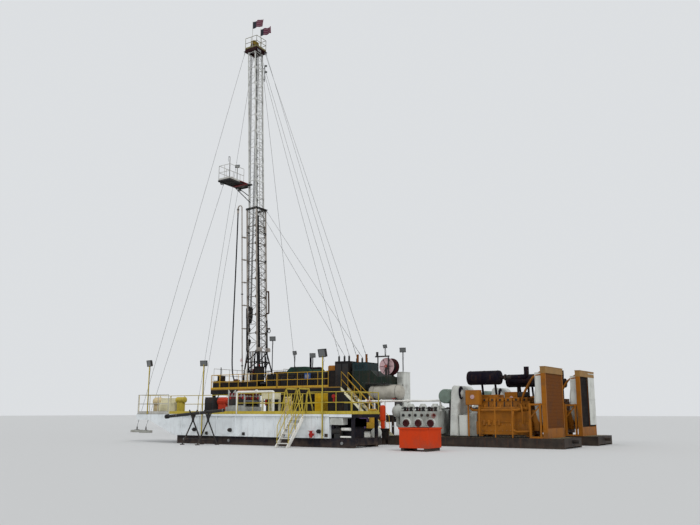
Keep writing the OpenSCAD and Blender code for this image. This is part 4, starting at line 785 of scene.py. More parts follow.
class Shape:
    """Gathers solid forms in one mesh, each with its finish."""

    MIN_RADIUS = 0.0004

    def __init__(self, name: str, finish: Coat, origin: Point = (0, 0, 0)) -> None:
        """Starts an empty mesh.

        Args:
            name: Name of the piece.
            finish: Finish of the first forms.
            origin: Place in the rig's frame that the forms are given from.
        """
        self.name = name
        self.origin = Vector(origin)
        self.mesh = bmesh.new()
        self.finishes: list[Coat] = []
        self.slot = 0
        self.use(finish)

    def use(self, finish: Coat) -> "Shape":
        """Sets the finish of the forms that follow.

        Args:
            finish: The finish.

        Returns:
            The shape, for the next call.
        """
        if finish not in self.finishes:
            self.finishes.append(finish)
        self.slot = self.finishes.index(finish)
        return self

    def _add(self, corners: Sequence[Vector], faces: Iterable[Sequence[int]]) -> None:
        """Adds points and the faces between them.

        Args:
            corners: The points.
            faces: Numbers of the points of each face.
        """
        verts = [self.mesh.verts.new(self.origin + Vector(c)) for c in corners]
        for face in faces:
            made = self.mesh.faces.new([verts[i] for i in face])
            made.material_index = self.slot

    def box(self, low: Point, high: Point, turn: Matrix | None = None) -> "Shape":
        """Adds a box between two opposite corners.

        Args:
            low: One corner.
            high: The opposite corner.
            turn: Turn and move applied to the box, or None.

        Returns:
            The shape, for the next call.
        """
        xs, ys, zs = sorted((low[0], high[0])), sorted((low[1], high[1])), sorted((low[2], high[2]))
        corners = [Vector((x, y, z)) for z in zs for y in ys for x in xs]
        if turn is not None:
            corners = [turn @ c for c in corners]
        self._add(corners, [(0, 2, 3, 1), (4, 5, 7, 6), (0, 1, 5, 4), (2, 6, 7, 3), (0, 4, 6, 2), (1, 3, 7, 5)])
        return self

    def bar(self, a: Point | Vector, b: Point | Vector, wide: float, deep: float | None = None) -> "Shape":
        """Adds a rectangular bar from one point to another.

        Args:
            a: Middle of the first end.
            b: Middle of the second end.
            wide: Width of the bar.
            deep: Depth of the bar, the same as its width when None.

        Returns:
            The shape, for the next call.
        """
        start, end = Vector(a), Vector(b)
        turn = Matrix.Translation(start) @ (end - start).to_track_quat("Z", "Y").to_matrix().to_4x4()
        deep = wide if deep is None else deep
        return self.box((-wide / 2, -deep / 2, 0), (wide / 2, deep / 2, (end - start).length), turn)

    def tube(
        self, a: Point | Vector, b: Point | Vector, radius: float, sides: int = 12, end_radius: float | None = None
    ) -> "Shape":
        """Adds a round bar or cone from one point to another.

        Args:
            a: Middle of the first end.
            b: Middle of the second end.
            radius: Radius at the first end.
            sides: Number of sides.
            end_radius: Radius at the second end, the same when None.

        Returns:
            The shape, for the next call.
        """
        start, end = Vector(a), Vector(b)
        return self.lathe(
            start, end - start,
            [(radius, 0.0), (radius if end_radius is None else end_radius, (end - start).length)], sides
        )

    def lathe(
        self, base: Point | Vector, axis: Point | Vector, profile: Sequence[tuple[float, float]], sides: int = 24
    ) -> "Shape":
        """Turns a profile round an axis, closed with a flat face at each end.

        Args:
            base: Start of the axis.
            axis: Direction of the axis.
            profile: Radius and distance along the axis of each ring.
            sides: Number of sides.

        Returns:
            The shape, for the next call.
        """
        rows = [circle(base, axis, max(radius, self.MIN_RADIUS), sides, along) for radius, along in profile]
        return self._skin(rows, closed=False)

    def _skin(self, rows: Sequence[Sequence[Vector]], closed: bool) -> "Shape":
        """Adds a skin over rings of points, closed on itself or with a face at each end.

        Args:
            rows: The rings of points.
            closed: Whether the last ring joins the first.

        Returns:
            The shape, for the next call.
        """
        n = len(rows[0])
        faces = []
        spans = len(rows) if closed else len(rows) - 1
        for i in range(spans):
            j = (i + 1) % len(rows)
            for k in range(n):
                m = (k + 1) % n
                faces.append((i * n + k, i * n + m, j * n + m, j * n + k))
        if not closed:
            faces.append(tuple(reversed(range(n))))
            faces.append(tuple(range((len(rows) - 1) * n, len(rows) * n)))
        self._add([p for row in rows for p in row], faces)
        return self

    def sweep(self, path: Sequence[Point | Vector], radius: float, sides: int = 10, closed: bool = False) -> "Shape":
        """Adds a round tube along a path.

        Args:
            path: Points of the path.
            radius: Radius of the tube.
            sides: Number of sides.
            closed: Whether the path joins its start.

        Returns:
            The shape, for the next call.
        """
        points = [Vector(p) for p in path]
        last = len(points) - 1
        side = None
        rows = []
        for i, point in enumerate(points):
            before = points[i - 1] if (i > 0 or closed) else point
            after = points[(i + 1) % len(points)] if (i < last or closed) else point
            along = (after - before).normalized()
            if side is None:
                side = along.cross(FAR if abs(along.y) < 0.9 else RIGHT).normalized()
            side = (side - along * side.dot(along)).normalized()
            other = along.cross(side)
            rows.append(
                [
                    point + radius * (
                        math.cos(k * math.tau / sides) * side + math.sin(k * math.tau / sides) * other
                    ) for k in range(sides)
                ]
            )
        return self._skin(rows, closed)

    def hose(self, points: Sequence[Point | Vector], step: float, radius: float, sides: int) -> "Shape":
        """Adds a round tube along a smooth curve through points."""
        return self.sweep(smooth_path(points, step), radius, sides)

    def plate(
        self, outline: Sequence[tuple[float, float]], y0: float, y1: float, turn: Matrix | None = None
    ) -> "Shape":
        """Adds a flat plate from an outline in X and Z, thickened along Y.

        Args:
            outline: X and Z of each corner.
            y0: Near side of the plate.
            y1: Far side of the plate.
            turn: Turn and move applied to the plate, or None.

        Returns:
            The shape, for the next call.
        """
        rows = [[Vector((x, y, z)) for x, z in outline] for y in (y0, y1)]
        if turn is not None:
            rows = [[turn @ p for p in row] for row in rows]
        return self._skin(rows, closed=False)

    def ring(
        self, centre: Point | Vector, axis: Point | Vector, big: float, small: float, around: int = 32, sides: int = 8
    ) -> "Shape":
        """Adds a torus.

        Args:
            centre: Middle of the ring.
            axis: Direction that the ring faces.
            big: Radius of the ring.
            small: Radius of its tube.
            around: Number of steps round the ring.
            sides: Number of sides of the tube.
        """
        return self.sweep(circle(centre, axis, big, around), small, sides, closed=True)

    def ball(
        self, centre: Point | Vector, radius: float, squeeze: float = 1.0,
        axis: Point | Vector = (0, 0, 1), sides: int = 20
    ) -> "Shape":
        """Adds a ball, or a dome flattened along an axis.

        Args:
            centre: Middle of the ball.
            radius: Radius of the ball.
            squeeze: Height of the ball as a share of its width.
            axis: Direction of its poles.
            sides: Number of sides.

        Returns:
            The shape, for the next call.
        """
        steps = max(6, sides // 2)
        profile = [
            (
                radius * math.sin(math.pi * i / steps), -radius * squeeze * math.cos(math.pi * i / steps)
            ) for i in range(steps + 1)
        ]
        return self.lathe(centre, axis, profile, sides)

    def bolts(self, centre: Point | Vector, axis: Point | Vector, radius: float, count: int, size: float) -> "Shape":
        """Adds a circle of hexagon bolt heads.

        Args:
            centre: Middle of the circle.
            axis: Direction that the heads point in.
            radius: Radius of the circle.
            count: Number of bolts.
            size: Width of one head.

        Returns:
            The shape, for the next call.
        """
        for start in circle(centre, axis, radius, count):
            self.lathe(start, axis, [(size / 2, 0.0), (size / 2, size * 0.6)], 6)
        return self

    def flange(
        self, centre: Point | Vector, axis: Point | Vector, radius: float, thick: float, count: int = 8
    ) -> "Shape":
        """Adds a pair of flange discs with bolts through them.

        Args:
            centre: Middle of the form.
            axis: Direction that it faces.
            radius: Radius of the discs.
            thick: Thickness of one disc.
            count: Number of bolts.

        Returns:
            The shape, for the next call.
        """
        way = Vector(axis).normalized()
        start = Vector(centre) - way * thick
        self.lathe(
            start, way,
            [
                (radius, 0.0), (radius, thick * 0.9), (radius * 0.97, thick * 0.95),
                (radius * 0.97, thick * 1.05), (radius, thick * 1.1), (radius, thick * 2)
            ],
            20
        )
        self.bolts(start + way * thick * 2, way, radius * 0.8, count, radius * 0.2)
        return self.bolts(start, -way, radius * 0.8, count, radius * 0.2)

    def wheel(self, centre: Point | Vector, axis: Point | Vector, radius: float, spokes: int = 4) -> "Shape":
        """Adds a valve's hand wheel.

        Args:
            centre: Middle of the form.
            axis: Direction that it faces.
            radius: Radius of the wheel.
            spokes: Number of spokes.

        Returns:
            The shape, for the next call.
        """
        self.ring(centre, axis, radius, radius * 0.1, 20, 6)
        for end in circle(centre, axis, radius, spokes):
            self.tube(centre, end, radius * 0.06, 6)
        return self

    def finish(
        self, body: Body = Body.RIG, replaces: Sequence[str] = (), edge: float = 0.006, smooth: float = 35.0
    ) -> bpy.types.Object:
        """Turns the gathered forms into a piece that rides on a body.

        Args:
            body: The body that the piece rides on.
            replaces: Names of the CAD nodes that the piece stands for.
            edge: Width of the rounded edges, or 0 for sharp ones.
            smooth: Angle in degrees up to which faces shade as one surface.

        Returns:
            The piece.
        """
        bmesh.ops.recalc_face_normals(self.mesh, faces=self.mesh.faces)
        data = bpy.data.meshes.new(self.name)
        self.mesh.to_mesh(data)
        self.mesh.free()
        for each in self.finishes:
            data.materials.append(each.material())
        data.shade_smooth()
        data.set_sharp_from_angle(angle=math.radians(smooth))
        piece = bpy.data.objects.new(self.name, data)
        bpy.context.scene.collection.objects.link(piece)
        if edge > 0:
            modifier = piece.modifiers.new("rounded", "BEVEL")
            modifier.width = edge
            modifier.segments = 1
            modifier.limit_method = "ANGLE"
            modifier.angle_limit = math.radians(40)
        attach(piece, body.value)
        if replaces:
            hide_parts(*replaces)
        LOG.info("%s: %d faces", self.name, len(data.polygons))
        return piece


def arc(
    centre: Point | Vector, u: Vector, v: Vector, radius: float, start: float, end: float, steps: int
) -> list[Vector]:
    """Gives points on an arc.

    Args:
        centre: Middle of the arc.
        u: Direction at angle 0.
        v: Direction at a quarter turn.
        radius: Radius of the arc.
        start: First angle in radians.
        end: Last angle in radians.
        steps: Number of steps.

    Returns:
        The points in order.
    """
    angles = [start + (end - start) * i / steps for i in range(steps + 1)]
    return [Vector(centre) + radius * (math.cos(a) * u + math.sin(a) * v) for a in angles]


def smooth_path(points: Sequence[Point | Vector], step: float) -> list[Vector]:
    """Runs a smooth curve through points.

    Args:
        points: The points to pass through.
        step: Longest distance between points of the curve.

    Returns:
        The points of the curve, both ends among them.
    """
    given = [Vector(p) for p in points]
    out = []
    for i in range(len(given) - 1):
        a, b, c, d = given[max(i - 1, 0)], given[i], given[i + 1], given[min(i + 2, len(given) - 1)]
        count = max(1, round((c - b).length / step))
        for k in range(count):
            t = k / count
            out.append(
                0.5 * (2 * b + (c - a) * t + (2 * a - 5 * b + 4 * c - d) * t * t + (3 * b - a - 3 * c + d) * t**3)
            )
    return out + [given[-1]]


@dataclass
class Handrail:
    """A handrail of round tubes with a toe board.

    Attributes:
        height: Height of the top rail.
        radius: Radius of the tubes.
        toe: Height of the toe board, or 0 for none.
        gap: Longest distance between posts.
    """

    height: float = 1.05
    radius: float = 0.02
    toe: float = 0.15
    gap: float = 1.7

    def build(self, shape: Shape, path: Sequence[Point]) -> None:
        """Adds the handrail to a shape.

        Args:
            shape: The shape to add to.
            path: Corners of the run, at the level of the floor.
        """
        top = self.height - self.radius
        for a, b in zip(path[:-1], path[1:]):
            start, end = Vector(a), Vector(b)
            run = end - start
            count = max(1, math.ceil(run.length / self.gap))
            for i in range(count + 1):
                foot = start + run * i / count
                shape.tube(foot, foot + UP * top, self.radius * 0.9, 8)
                shape.lathe(foot, UP, [(self.radius * 2.0, 0), (self.radius * 2.0, 0.012)], 8)
            for level in (top, self.height * 0.52):
                shape.tube(start + UP * level, end + UP * level, self.radius, 8)
            if self.toe > 0:
                shape.bar(start + UP * self.toe / 2, end + UP * self.toe / 2, 0.008, self.toe)


@dataclass
class Floodlight:
    """A lamp on a pole: yoke, ribbed housing, rim and lens.

    Attributes:
        size: Width of the lamp's head.
        tilt: How far the lens looks down, in degrees.
        turn: Direction that the lens looks in, in degrees from -Y.
    """

    size: float = 0.3
    tilt: float = 20.0
    turn: float = 0.0

    def build(self, shape: Shape, at: Point | Vector, paint: Finish) -> None:
        """Adds the lamp's head.

        Args:
            shape: The shape to add to.
            at: Middle of the head.
            paint: Finish of the housing.
        """
        s = self.size
        turn = (
            Matrix.Translation(Vector(at)) @ Matrix.Rotation(math.radians(self.turn), 4, "Z")
            @ Matrix.Rotation(math.radians(self.tilt), 4, "X")
        )
        shape.use(paint).box((-0.6 * s, -0.12 * s, -0.45 * s), (0.6 * s, 0.12 * s, 0.45 * s), turn)
        for k in range(5):
            x = (-0.5 + 0.25 * k) * s
            shape.box((x - 0.02 * s, 0.12 * s, -0.4 * s), (x + 0.02 * s, 0.2 * s, 0.4 * s), turn)
        for low, high in (
            ((-0.62, -0.47), (0.62, -0.4)), ((-0.62, 0.4), (0.62, 0.47)),
            ((-0.62, -0.47), (-0.55, 0.47)), ((0.55, -0.47), (0.62, 0.47))
        ):
            shape.box((low[0] * s, -0.16 * s, low[1] * s), (high[0] * s, -0.1 * s, high[1] * s), turn)
        shape.use(Finishes.lens).box((-0.55 * s, -0.135 * s, -0.4 * s), (0.55 * s, -0.115 * s, 0.4 * s), turn)
        shape.use(paint)


def louvres(shape: Shape, x0: float, x1: float, y: float, z0: float, z1: float, count: int) -> None:
    """Adds a panel of sloping louvres that faces -Y.

    Args:
        shape: The shape to add to.
        x0: Left edge.
        x1: Right edge.
        y: Face that the louvres stand on.
        z0: Lower edge.
        z1: Upper edge.
        count: Number of louvres.
    """
    pitch = (z1 - z0) / count
    for i in range(count):
        z = z0 + pitch * i
        shape.plate([(x0, z), (x1, z), (x1, z + 0.35 * pitch), (x0, z + 0.35 * pitch)], y - 0.018, y - 0.0005)


def paint_node(finish: Finish, *names: str) -> None:
    """Gives CAD nodes a finish.

    Args:
        finish: The finish.
        *names: Names of the nodes.
    """
    for name in names:
        data = frame["nodes"][name].data
        data.materials.clear()
        data.materials.append(finish.material())


def paint_by_colour(node: str, table: Sequence[Finish]) -> None:
    """Gives a CAD node of several colours one finish per colour, in the order of its slots.

    Args:
        node: Name of the node.
        table: Finishes in the order of the node's material slots. The last one serves any more slots.
    """
    data = frame["nodes"][node].data
    for index in range(len(data.materials)):
        data.materials[index] = table[min(index, len(table) - 1)].material()


# ---------------------------------------------------------------- mast and crown


@dataclass
class MastSection:
    """One section of the lattice mast: square legs, flat bars, crossed tubes and plates at their joints.

    Attributes:
        name: Name of the piece.
        nodes: CAD nodes that the piece stands for.
        legs: Finish of the legs.
        web: Finish of the bars between them.
        dx: Outside size across the mast along X.
        dy: Outside size across the mast along Y.
        leg: Width of a leg.
        start: Lower end along the mast.
        end: Upper end along the mast.
        bays: Number of braced bays.
        bay: Length of one bay.
        bar: Width of a cross bar.
    """

    name: str
    nodes: tuple[str, ...]
    legs: Finish
    web: Finish
    dx: float
    dy: float
    leg: float
    start: float
    end: float
    bays: int
    bay: float
    bar: float

    def build(self) -> bpy.types.Object:
        """Builds the section.

        Returns:
            The piece.
        """
        shape = Shape(self.name, self.legs)
        xc, yc = (self.dx - self.leg) / 2, (self.dy - self.leg) / 2
        for sx in (-1, 1):
            for sy in (-1, 1):
                shape.box(
                    (sx * xc - self.leg / 2, sy * yc - self.leg / 2, self.start),
                    (sx * xc + self.leg / 2, sy * yc + self.leg / 2, self.end), MAST
                )
        shape.use(self.web)
        for i in range(self.bays + 1):
            z = self.start + self.bay * i + self.bar
            if z > self.end:
                continue
            self._level(shape, xc, yc, z)
            top = min(z + self.bay - self.bar, self.end - self.bar)
            if i < self.bays and top - z > 0.3:
                middle = (z + top) / 2
                self._braces(shape, xc, yc, z, middle, 1)
                self._braces(shape, xc, yc, middle, top, -1)
                for s in (-1, 1):
                    shape.box(
                        (-xc, s * yc - self.bar * 0.35, middle - self.bar * 0.35),
                        (xc, s * yc + self.bar * 0.35, middle + self.bar * 0.35), MAST
                    )
        return shape.finish(replaces=self.nodes, edge=0.005)

    def _level(self, shape: Shape, xc: float, yc: float, z: float) -> None:
        """Adds the cross bars of one level and the plates at their ends.

        Args:
            shape: The shape to add to.
            xc: Middle of a leg along X.
            yc: Middle of a leg along Y.
            z: Place along the mast.
        """
        b = self.bar / 2
        for s in (-1, 1):
            shape.box((-xc, s * yc - b, z - b), (xc, s * yc + b, z + b), MAST)
            for k in (-1, 1):
                shape.box(
                    (k * xc - k * 0.02, s * (yc + self.leg * 0.32), z - 0.11),
                    (k * (xc - self.leg * 1.6), s * (yc + self.leg * 0.32) - s * 0.012, z + 0.11), MAST
                )
        shape.box((xc - b, -yc, z - b * 1.3), (xc + b, yc, z + b * 1.3), MAST)
        for s in (-1, 1):
            shape.box(
                (xc + self.leg * 0.3, s * yc, z - 0.1),
                (xc + self.leg * 0.3 - 0.012, s * (yc - self.leg * 1.5), z + 0.1), MAST
            )

    def _braces(self, shape: Shape, xc: float, yc: float, z: float, top: float, side: int) -> None:
        """Adds the diagonals of one bay.

        Args:
            shape: The shape to add to.
            xc: Middle of a leg along X.
            yc: Middle of a leg along Y.
            z: Lower end.
            top: Upper end.
            side: Which way they lean, -1 or 1.
        """
        for s in (-1, 1):
            shape.tube(on_mast(-side * xc, s * yc, z), on_mast(side * xc, s * yc, top), self.bar * 0.36, 8)
        shape.tube(on_mast(xc, -side * yc, z), on_mast(xc, side * yc, top), self.bar * 0.36, 8)
        shape.tube(on_mast(xc, side * yc, z), on_mast(xc, -side * yc, top), self.bar * 0.3, 8)


@dataclass
class MastFittings:
    """What runs up the mast: ladder, service hoses, splice plates, foot plates and lamps.

    Attributes:
        rung: Distance between rungs.
        ladder_w: Width of the ladder.
        ladder_x: Place of the ladder across the lower mast.
    """

    rung: float = 0.3
    ladder_w: float = 0.4
    ladder_x: float = 0.42

    def build(self) -> None:
        """Builds every fitting."""
        self._ladder()
        self._service_lines()
        self._splice()
        self._foot()
        self._lamps()

    def _ladder(self) -> None:
        """Builds the ladder inside the back of the mast."""
        shape = Shape("mast_ladder", Finishes.rail_grey)
        for x, start, end in ((self.ladder_x - 0.02, 2.1, SPLICE - 0.1), (self.ladder_x - 0.14, SPLICE, 26.4)):
            for s in (0, 1):
                y = 0.06 + s * self.ladder_w
                shape.box((x - 0.02, y - 0.008, start), (x + 0.02, y + 0.008, end), MAST)
            for i in range(int((end - start) / self.rung)):
                z = start + 0.1 + i * self.rung
                shape.tube(on_mast(x, 0.06, z), on_mast(x, 0.06 + self.ladder_w, z), 0.011, 6)
        shape.finish(edge=0)

    def _service_lines(self) -> None:
        """Builds the hoses and cables that are tied to the back legs."""
        shape = Shape("mast_service_lines", Finishes.hose_black)
        for k, (y, r) in enumerate(((-0.30, 0.022), (-0.24, 0.016), (-0.36, 0.014), (0.56, 0.016))):
            top = 26.6 if k != 2 else 16.0
            y_low = y * 1.15 if y < 0 else y
            y_high = y if y < 0 else y - 0.12
            points = [(0.40, y_low, 2.0), (0.40, y_low, 11.0), (0.31, y_high, 13.6), (0.31, y_high, top)]
            shape.sweep([MAST @ p for p in smooth_path(points, 0.8)], r, 8)
        shape.use(Finishes.dark_steel)
        for i in range(15):
            z = 3.0 + 1.62 * i
            x, y = (0.40, -0.3) if z < 12 else (0.31, -0.26)
            shape.box((x - 0.035, y - 0.12, z), (x + 0.035, y + 0.1, z + 0.04), MAST)
        self._leg_lines(shape)
        shape.finish(edge=0)

    def _leg_lines(self, shape: Shape) -> None:
        """Adds the dark hoses that run down the lower legs to the drill floor.

        Args:
            shape: The piece that takes them.
        """
        shape.use(Finishes.hose_black)
        runs = (
            (0.585, -0.50, 12.6, 0.034), (0.585, -0.43, 12.6, 0.026),
            (0.59, -0.37, 8.4, 0.022), (-0.46, -0.70, 5.3, 0.034), (-0.38, -0.70, 4.6, 0.028),
            (0.585, 0.52, 4.4, 0.028), (0.585, 0.46, 3.6, 0.022)
        )
        for x, y, top, radius in runs:
            points = [(x, y, 2.05), (x, y, 3.2), (x + 0.012, y, 0.5 * (3.2 + top)), (x, y, top)]
            shape.sweep([MAST @ p for p in smooth_path(points, 0.4)], radius, 8)
        for i, (x, y, end_x, end_y) in enumerate(
            (
                (0.585, -0.50, 0.30, -0.45), (0.585, -0.43, 0.72, -0.2), (-0.46, -0.70, -0.30, -0.62),
                (-0.38, -0.70, 0.1, -0.7), (0.585, 0.52, 0.34, 0.3), (0.585, 0.46, 0.6, 0.05)
            )
        ):
            start = on_mast(x, y, 2.08)
            middle = Vector(
                (0.5 * (start.x + end_x) + 0.12 * (-1) ** i, 0.5 * (start.y + end_y), 0.5 * (start.z + FLOOR_Z))
            )
            shape.hose([start, middle, (end_x, end_y, FLOOR_Z + 0.02)], 0.5, 0.03, 8)

    def _splice(self) -> None:
        """Builds the collar where the upper section leaves the lower one."""
        shape = Shape("splice_bolts", Finishes.bare_steel)
        for s in (-1, 1):
            for x in (-0.42, 0.0, 0.42):
                shape.bolts(on_mast(x, s * 0.652, SPLICE + 0.075), (0, s, 0), 0.04, 4, 0.03)
            for k in (-1, 1):
                shape.tube(
                    on_mast(k * 0.44, s * 0.70, UPPER_START - 0.05),
                    on_mast(k * 0.44, s * 0.50, UPPER_START - 0.05), 0.03, 12
                )
        shape.use(Finishes.dark_steel)
        for z in (2.3, 4.2, 6.4, 9.0, 11.2):
            for s in (-1, 1):
                shape.box((0.52, s * 0.4, z), (0.545, s * 0.56, z + 0.12), MAST)
        shape.finish(edge=0.003)
        paint_node(Finishes.dark_steel, "mast_splice")

    def _foot(self) -> None:
        """Builds the hinge plates and bracket boxes at the mast's foot."""
        paint_node(Finishes.black_paint, "mast_foot", "mast_support")
        shape = Shape("mast_foot_plates", Finishes.rust_brown)
        for x in (-0.65, 0.85):
            for s in (-1, 1):
                shape.tube((x, s * 0.76, MAST_FOOT_Z + 0.02), (x, s * 0.94, MAST_FOOT_Z + 0.02), 0.05, 14)
                shape.bolts((x, s * 0.912, MAST_FOOT_Z - 0.2), (0, s, 0), 0.035, 4, 0.028)
        shape.use(Finishes.hot_black)
        for i, x in enumerate((-0.42, -0.26, -0.12, 0.04, 0.2, 0.34)):
            for s in (-1, 1):
                shape.tube(
                    (x + 0.1 * (-1) ** i, s * 0.72, FLOOR_Z), on_mast(x, s * 0.62, 1.93), 0.026 + 0.006 * (i % 3), 10
                )
        shape.use(Finishes.mast_grey)
        for x in (-0.34, 0.1):
            shape.tube((x, -0.76, FLOOR_Z), on_mast(x, -0.64, 1.93), 0.03, 10)
        for s in (-1, 1):
            shape.box((0.5, s * 0.4, 2.0), (0.78, s * 0.6, 2.22), MAST)
            shape.box((0.44, s * 0.35, 2.3), (0.52, s * 0.62, 2.34), MAST)
        shape.finish()

    def _lamps(self) -> None:
        """Builds the lamp brackets on the mast."""
        shape = Shape("mast_lamp_brackets", Finishes.dark_steel)
        strut = (0.61, 0.41, 24.35)
        shape.tube(on_mast(*strut), on_mast(0.61, 0.47, 25.85), 0.03, 10)
        for z in (24.58, 25.58):
            shape.tube(on_mast(0.4, 0.47, z), on_mast(0.61, 0.45, z), 0.022, 8)
        for z in (25.13, 25.68):
            shape.tube(on_mast(0.61, 0.45, z), on_mast(0.70, 0.45, z), 0.02, 8)
            Floodlight(0.17, 25, 40).build(shape, on_mast(0.73, 0.44, z + 0.06), Finishes.dark_steel)
        shape.use(Finishes.guard_brown)
        loop = [
            (0.5, 0.55, 4.93), (0.68, 0.55, 4.93), (0.725, 0.55, 5.06),
            (0.725, 0.55, 6.5), (0.68, 0.55, 6.63), (0.5, 0.55, 6.63)
        ]
        shape.sweep([MAST @ p for p in smooth_path(loop, 0.06)], 0.06, 12)
        shape.box((0.52, 0.52, 3.7), (0.82, 0.58, 3.78), MAST)
        shape.use(Finishes.hose_black)
        for k in range(4):
            shape.ring(on_mast(0.76, 0.53, 3.54), (0.2, 1, 0), 0.15 - 0.004 * k, 0.022, 24, 8)
        shape.use(Finishes.mast_grey)
        for s in (-1, 1):
            shape.box((0.52, s * 0.61, 1.93), (0.8, s * 0.37, 2.15), MAST)
        shape.finish(replaces=("mast_lamps",), edge=0.003)


@dataclass
class Crown:
    """The crown: platform, grooved sheaves, guard rail and flag poles.

    Attributes:
        x: Middle of the platform.
        half: Half its size.
        deck: Height of its floor.
        sheave: Radius of a sheave.
        pitch: Distance between sheaves.
    """

    x: float = -26.9 * math.tan(MAST_LEAN)
    half: float = 0.62
    deck: float = CROWN_Z + 0.26
    sheave: float = 0.36
    pitch: float = 0.08

    def build(self) -> None:
        """Builds the crown."""
        paint_node(Finishes.crown_dark, "crown_frame")
        self._sheaves()
        self._rail()
        self._platform()

    def _sheaves(self) -> None:
        """Builds the sheaves on their axle."""
        shape = Shape("crown_sheave_set", Finishes.crown_yellow)
        r = self.sheave
        for i in (-1.5, -0.5, 0.5, 1.5):
            y = i * self.pitch
            profile = [
                (0.09, -0.025), (r * 0.82, -0.013), (r - 0.004, -0.025), (r, -0.02),
                (r - 0.035, 0), (r, 0.02), (r - 0.004, 0.025), (r * 0.82, 0.013), (0.09, 0.025)
            ]
            shape.lathe((AXLE_X, y, AXLE_Z), FAR, profile, 40)
        shape.use(Finishes.bare_steel)
        shape.tube((AXLE_X, -0.275, AXLE_Z), (AXLE_X, 0.275, AXLE_Z), 0.0449, 24)
        shape.finish(replaces=("crown_sheaves",), edge=0)

    def _rail(self) -> None:
        """Builds the guard rail and the flag poles."""
        shape = Shape("crown_guard", Finishes.guard_olive)
        e = self.half - 0.021
        x0, x1 = self.x - e, self.x + e
        Handrail(1.0, 0.021, 0.15, 0.7).build(
            shape, [(x0, -e, self.deck), (x1, -e, self.deck), (x1, e, self.deck), (x0, e, self.deck)]
        )
        shape.use(Finishes.rail_grey)
        for x, y, top in ((-0.9, -e, 33.6), (-1.05, e, 33.5)):
            shape.tube((x, y, self.deck), (x, y, top - 0.03), 0.019, 12, 0.016)
            shape.ball((x, y, top - 0.02), 0.02, 1.0, UP, 12)
        shape.finish(replaces=("crown_rail",), edge=0)

    def _platform(self) -> None:
        """Builds the platform's ribs, the frame over the sheaves and the axle's bolts."""
        shape = Shape("crown_ribs", Finishes.dark_steel)
        for s in (-1, 1):
            for k in range(6):
                x = self.x - self.half + 0.1 + 0.208 * k
                shape.box((x, s * self.half, CROWN_Z + 0.02), (x + 0.02, s * (self.half + 0.012), CROWN_Z + 0.24))
        shape.use(Finishes.crown_yellow)
        shape.box((AXLE_X - 0.18, -0.29, AXLE_Z + 0.36), (AXLE_X + 0.18, 0.29, AXLE_Z + 0.4))
        for s in (-1, 1):
            shape.bar((AXLE_X - 0.12, s * 0.27, AXLE_Z + 0.05), (AXLE_X - 0.12, s * 0.27, AXLE_Z + 0.37), 0.03)
            shape.bar((AXLE_X + 0.12, s * 0.27, AXLE_Z + 0.05), (AXLE_X + 0.12, s * 0.27, AXLE_Z + 0.37), 0.03)
        shape.use(Finishes.bare_steel)
        for s in (-1, 1):
            shape.bolts((AXLE_X, s * 0.266, AXLE_Z), (0, s, 0), 0.075, 6, 0.024)
        shape.finish(edge=0.003)


@dataclass
class Flags:
    """Two sheets of cloth that stream from their poles.

    Attributes:
        length: Length of a flag.
        height: Height of a flag.
        columns: Steps along a flag.
        rows: Steps up a flag.
    """

    length: float = 1.25
    height: float = 0.62
    columns: int = 50
    rows: int = 20

    def build(self) -> None:
        """Builds both flags."""
        spots = ((-0.9, -0.599, 33.54, "#5c2236", 0.0), (-1.05, 0.599, 33.44, "#5e1f3c", 1.7))
        for index, (x, y, top, paint, phase) in enumerate(spots):
            cloth = FlagFinish(
                f"flag_cloth_{index}", paint, Sheen.MATT, fade=0.2, grime=0.15, runs=0.0, chips=0.0, mud=0.0,
                relief=0.0008, pole_x=x, top_z=top, field_w=0.36, band=self.height / 7,
            )
            self._sheet(f"flag_{index}", x + 0.02, y, top, phase, cloth, index == 0)

    def _sheet(self, name: str, x0: float, y0: float, top: float, phase: float, cloth: Finish, first: bool) -> None:
        """Builds one flag, with its real length kept along its waves.

        Args:
            name: Name of the piece.
            x0: Edge beside the pole.
            y0: Plane of the pole.
            top: Height of the top edge.
            phase: Shift of its waves.
            cloth: Finish of the cloth.
            first: Whether the piece stands for the CAD node.
        """
        mesh = bmesh.new()
        step = self.length / self.columns
        grid = []
        for r in range(self.rows + 1):
            down = self.height * r / self.rows
            x, row, last = x0, [], None
            for c in range(self.columns + 1):
                s = c / self.columns
                y = 0.075 * min(1.0, 2.5 * s) * math.sin(9.5 * s + 0.9 * down / self.height + phase)
                y += 0.02 * s * math.sin(23 * s + 2.2 * down + phase)
                if last is not None:
                    x += math.sqrt(max(step * step - (y - last) ** 2, 0.0))
                last = y
                row.append(mesh.verts.new((x, y0 + y, top - down - 0.05 * s * s)))
            grid.append(row)
        for r in range(self.rows):
            for c in range(self.columns):
                mesh.faces.new((grid[r][c], grid[r][c + 1], grid[r + 1][c + 1], grid[r + 1][c]))
        data = bpy.data.meshes.new(name)
        mesh.to_mesh(data)
        mesh.free()
        data.materials.append(cloth.material())
        data.shade_smooth()
        piece = bpy.data.objects.new(name, data)
        bpy.context.scene.collection.objects.link(piece)
        solid = piece.modifiers.new("cloth", "SOLIDIFY")
        solid.thickness = 0.0015
        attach(piece, Body.RIG.value)
        if first:
            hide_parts("flags")


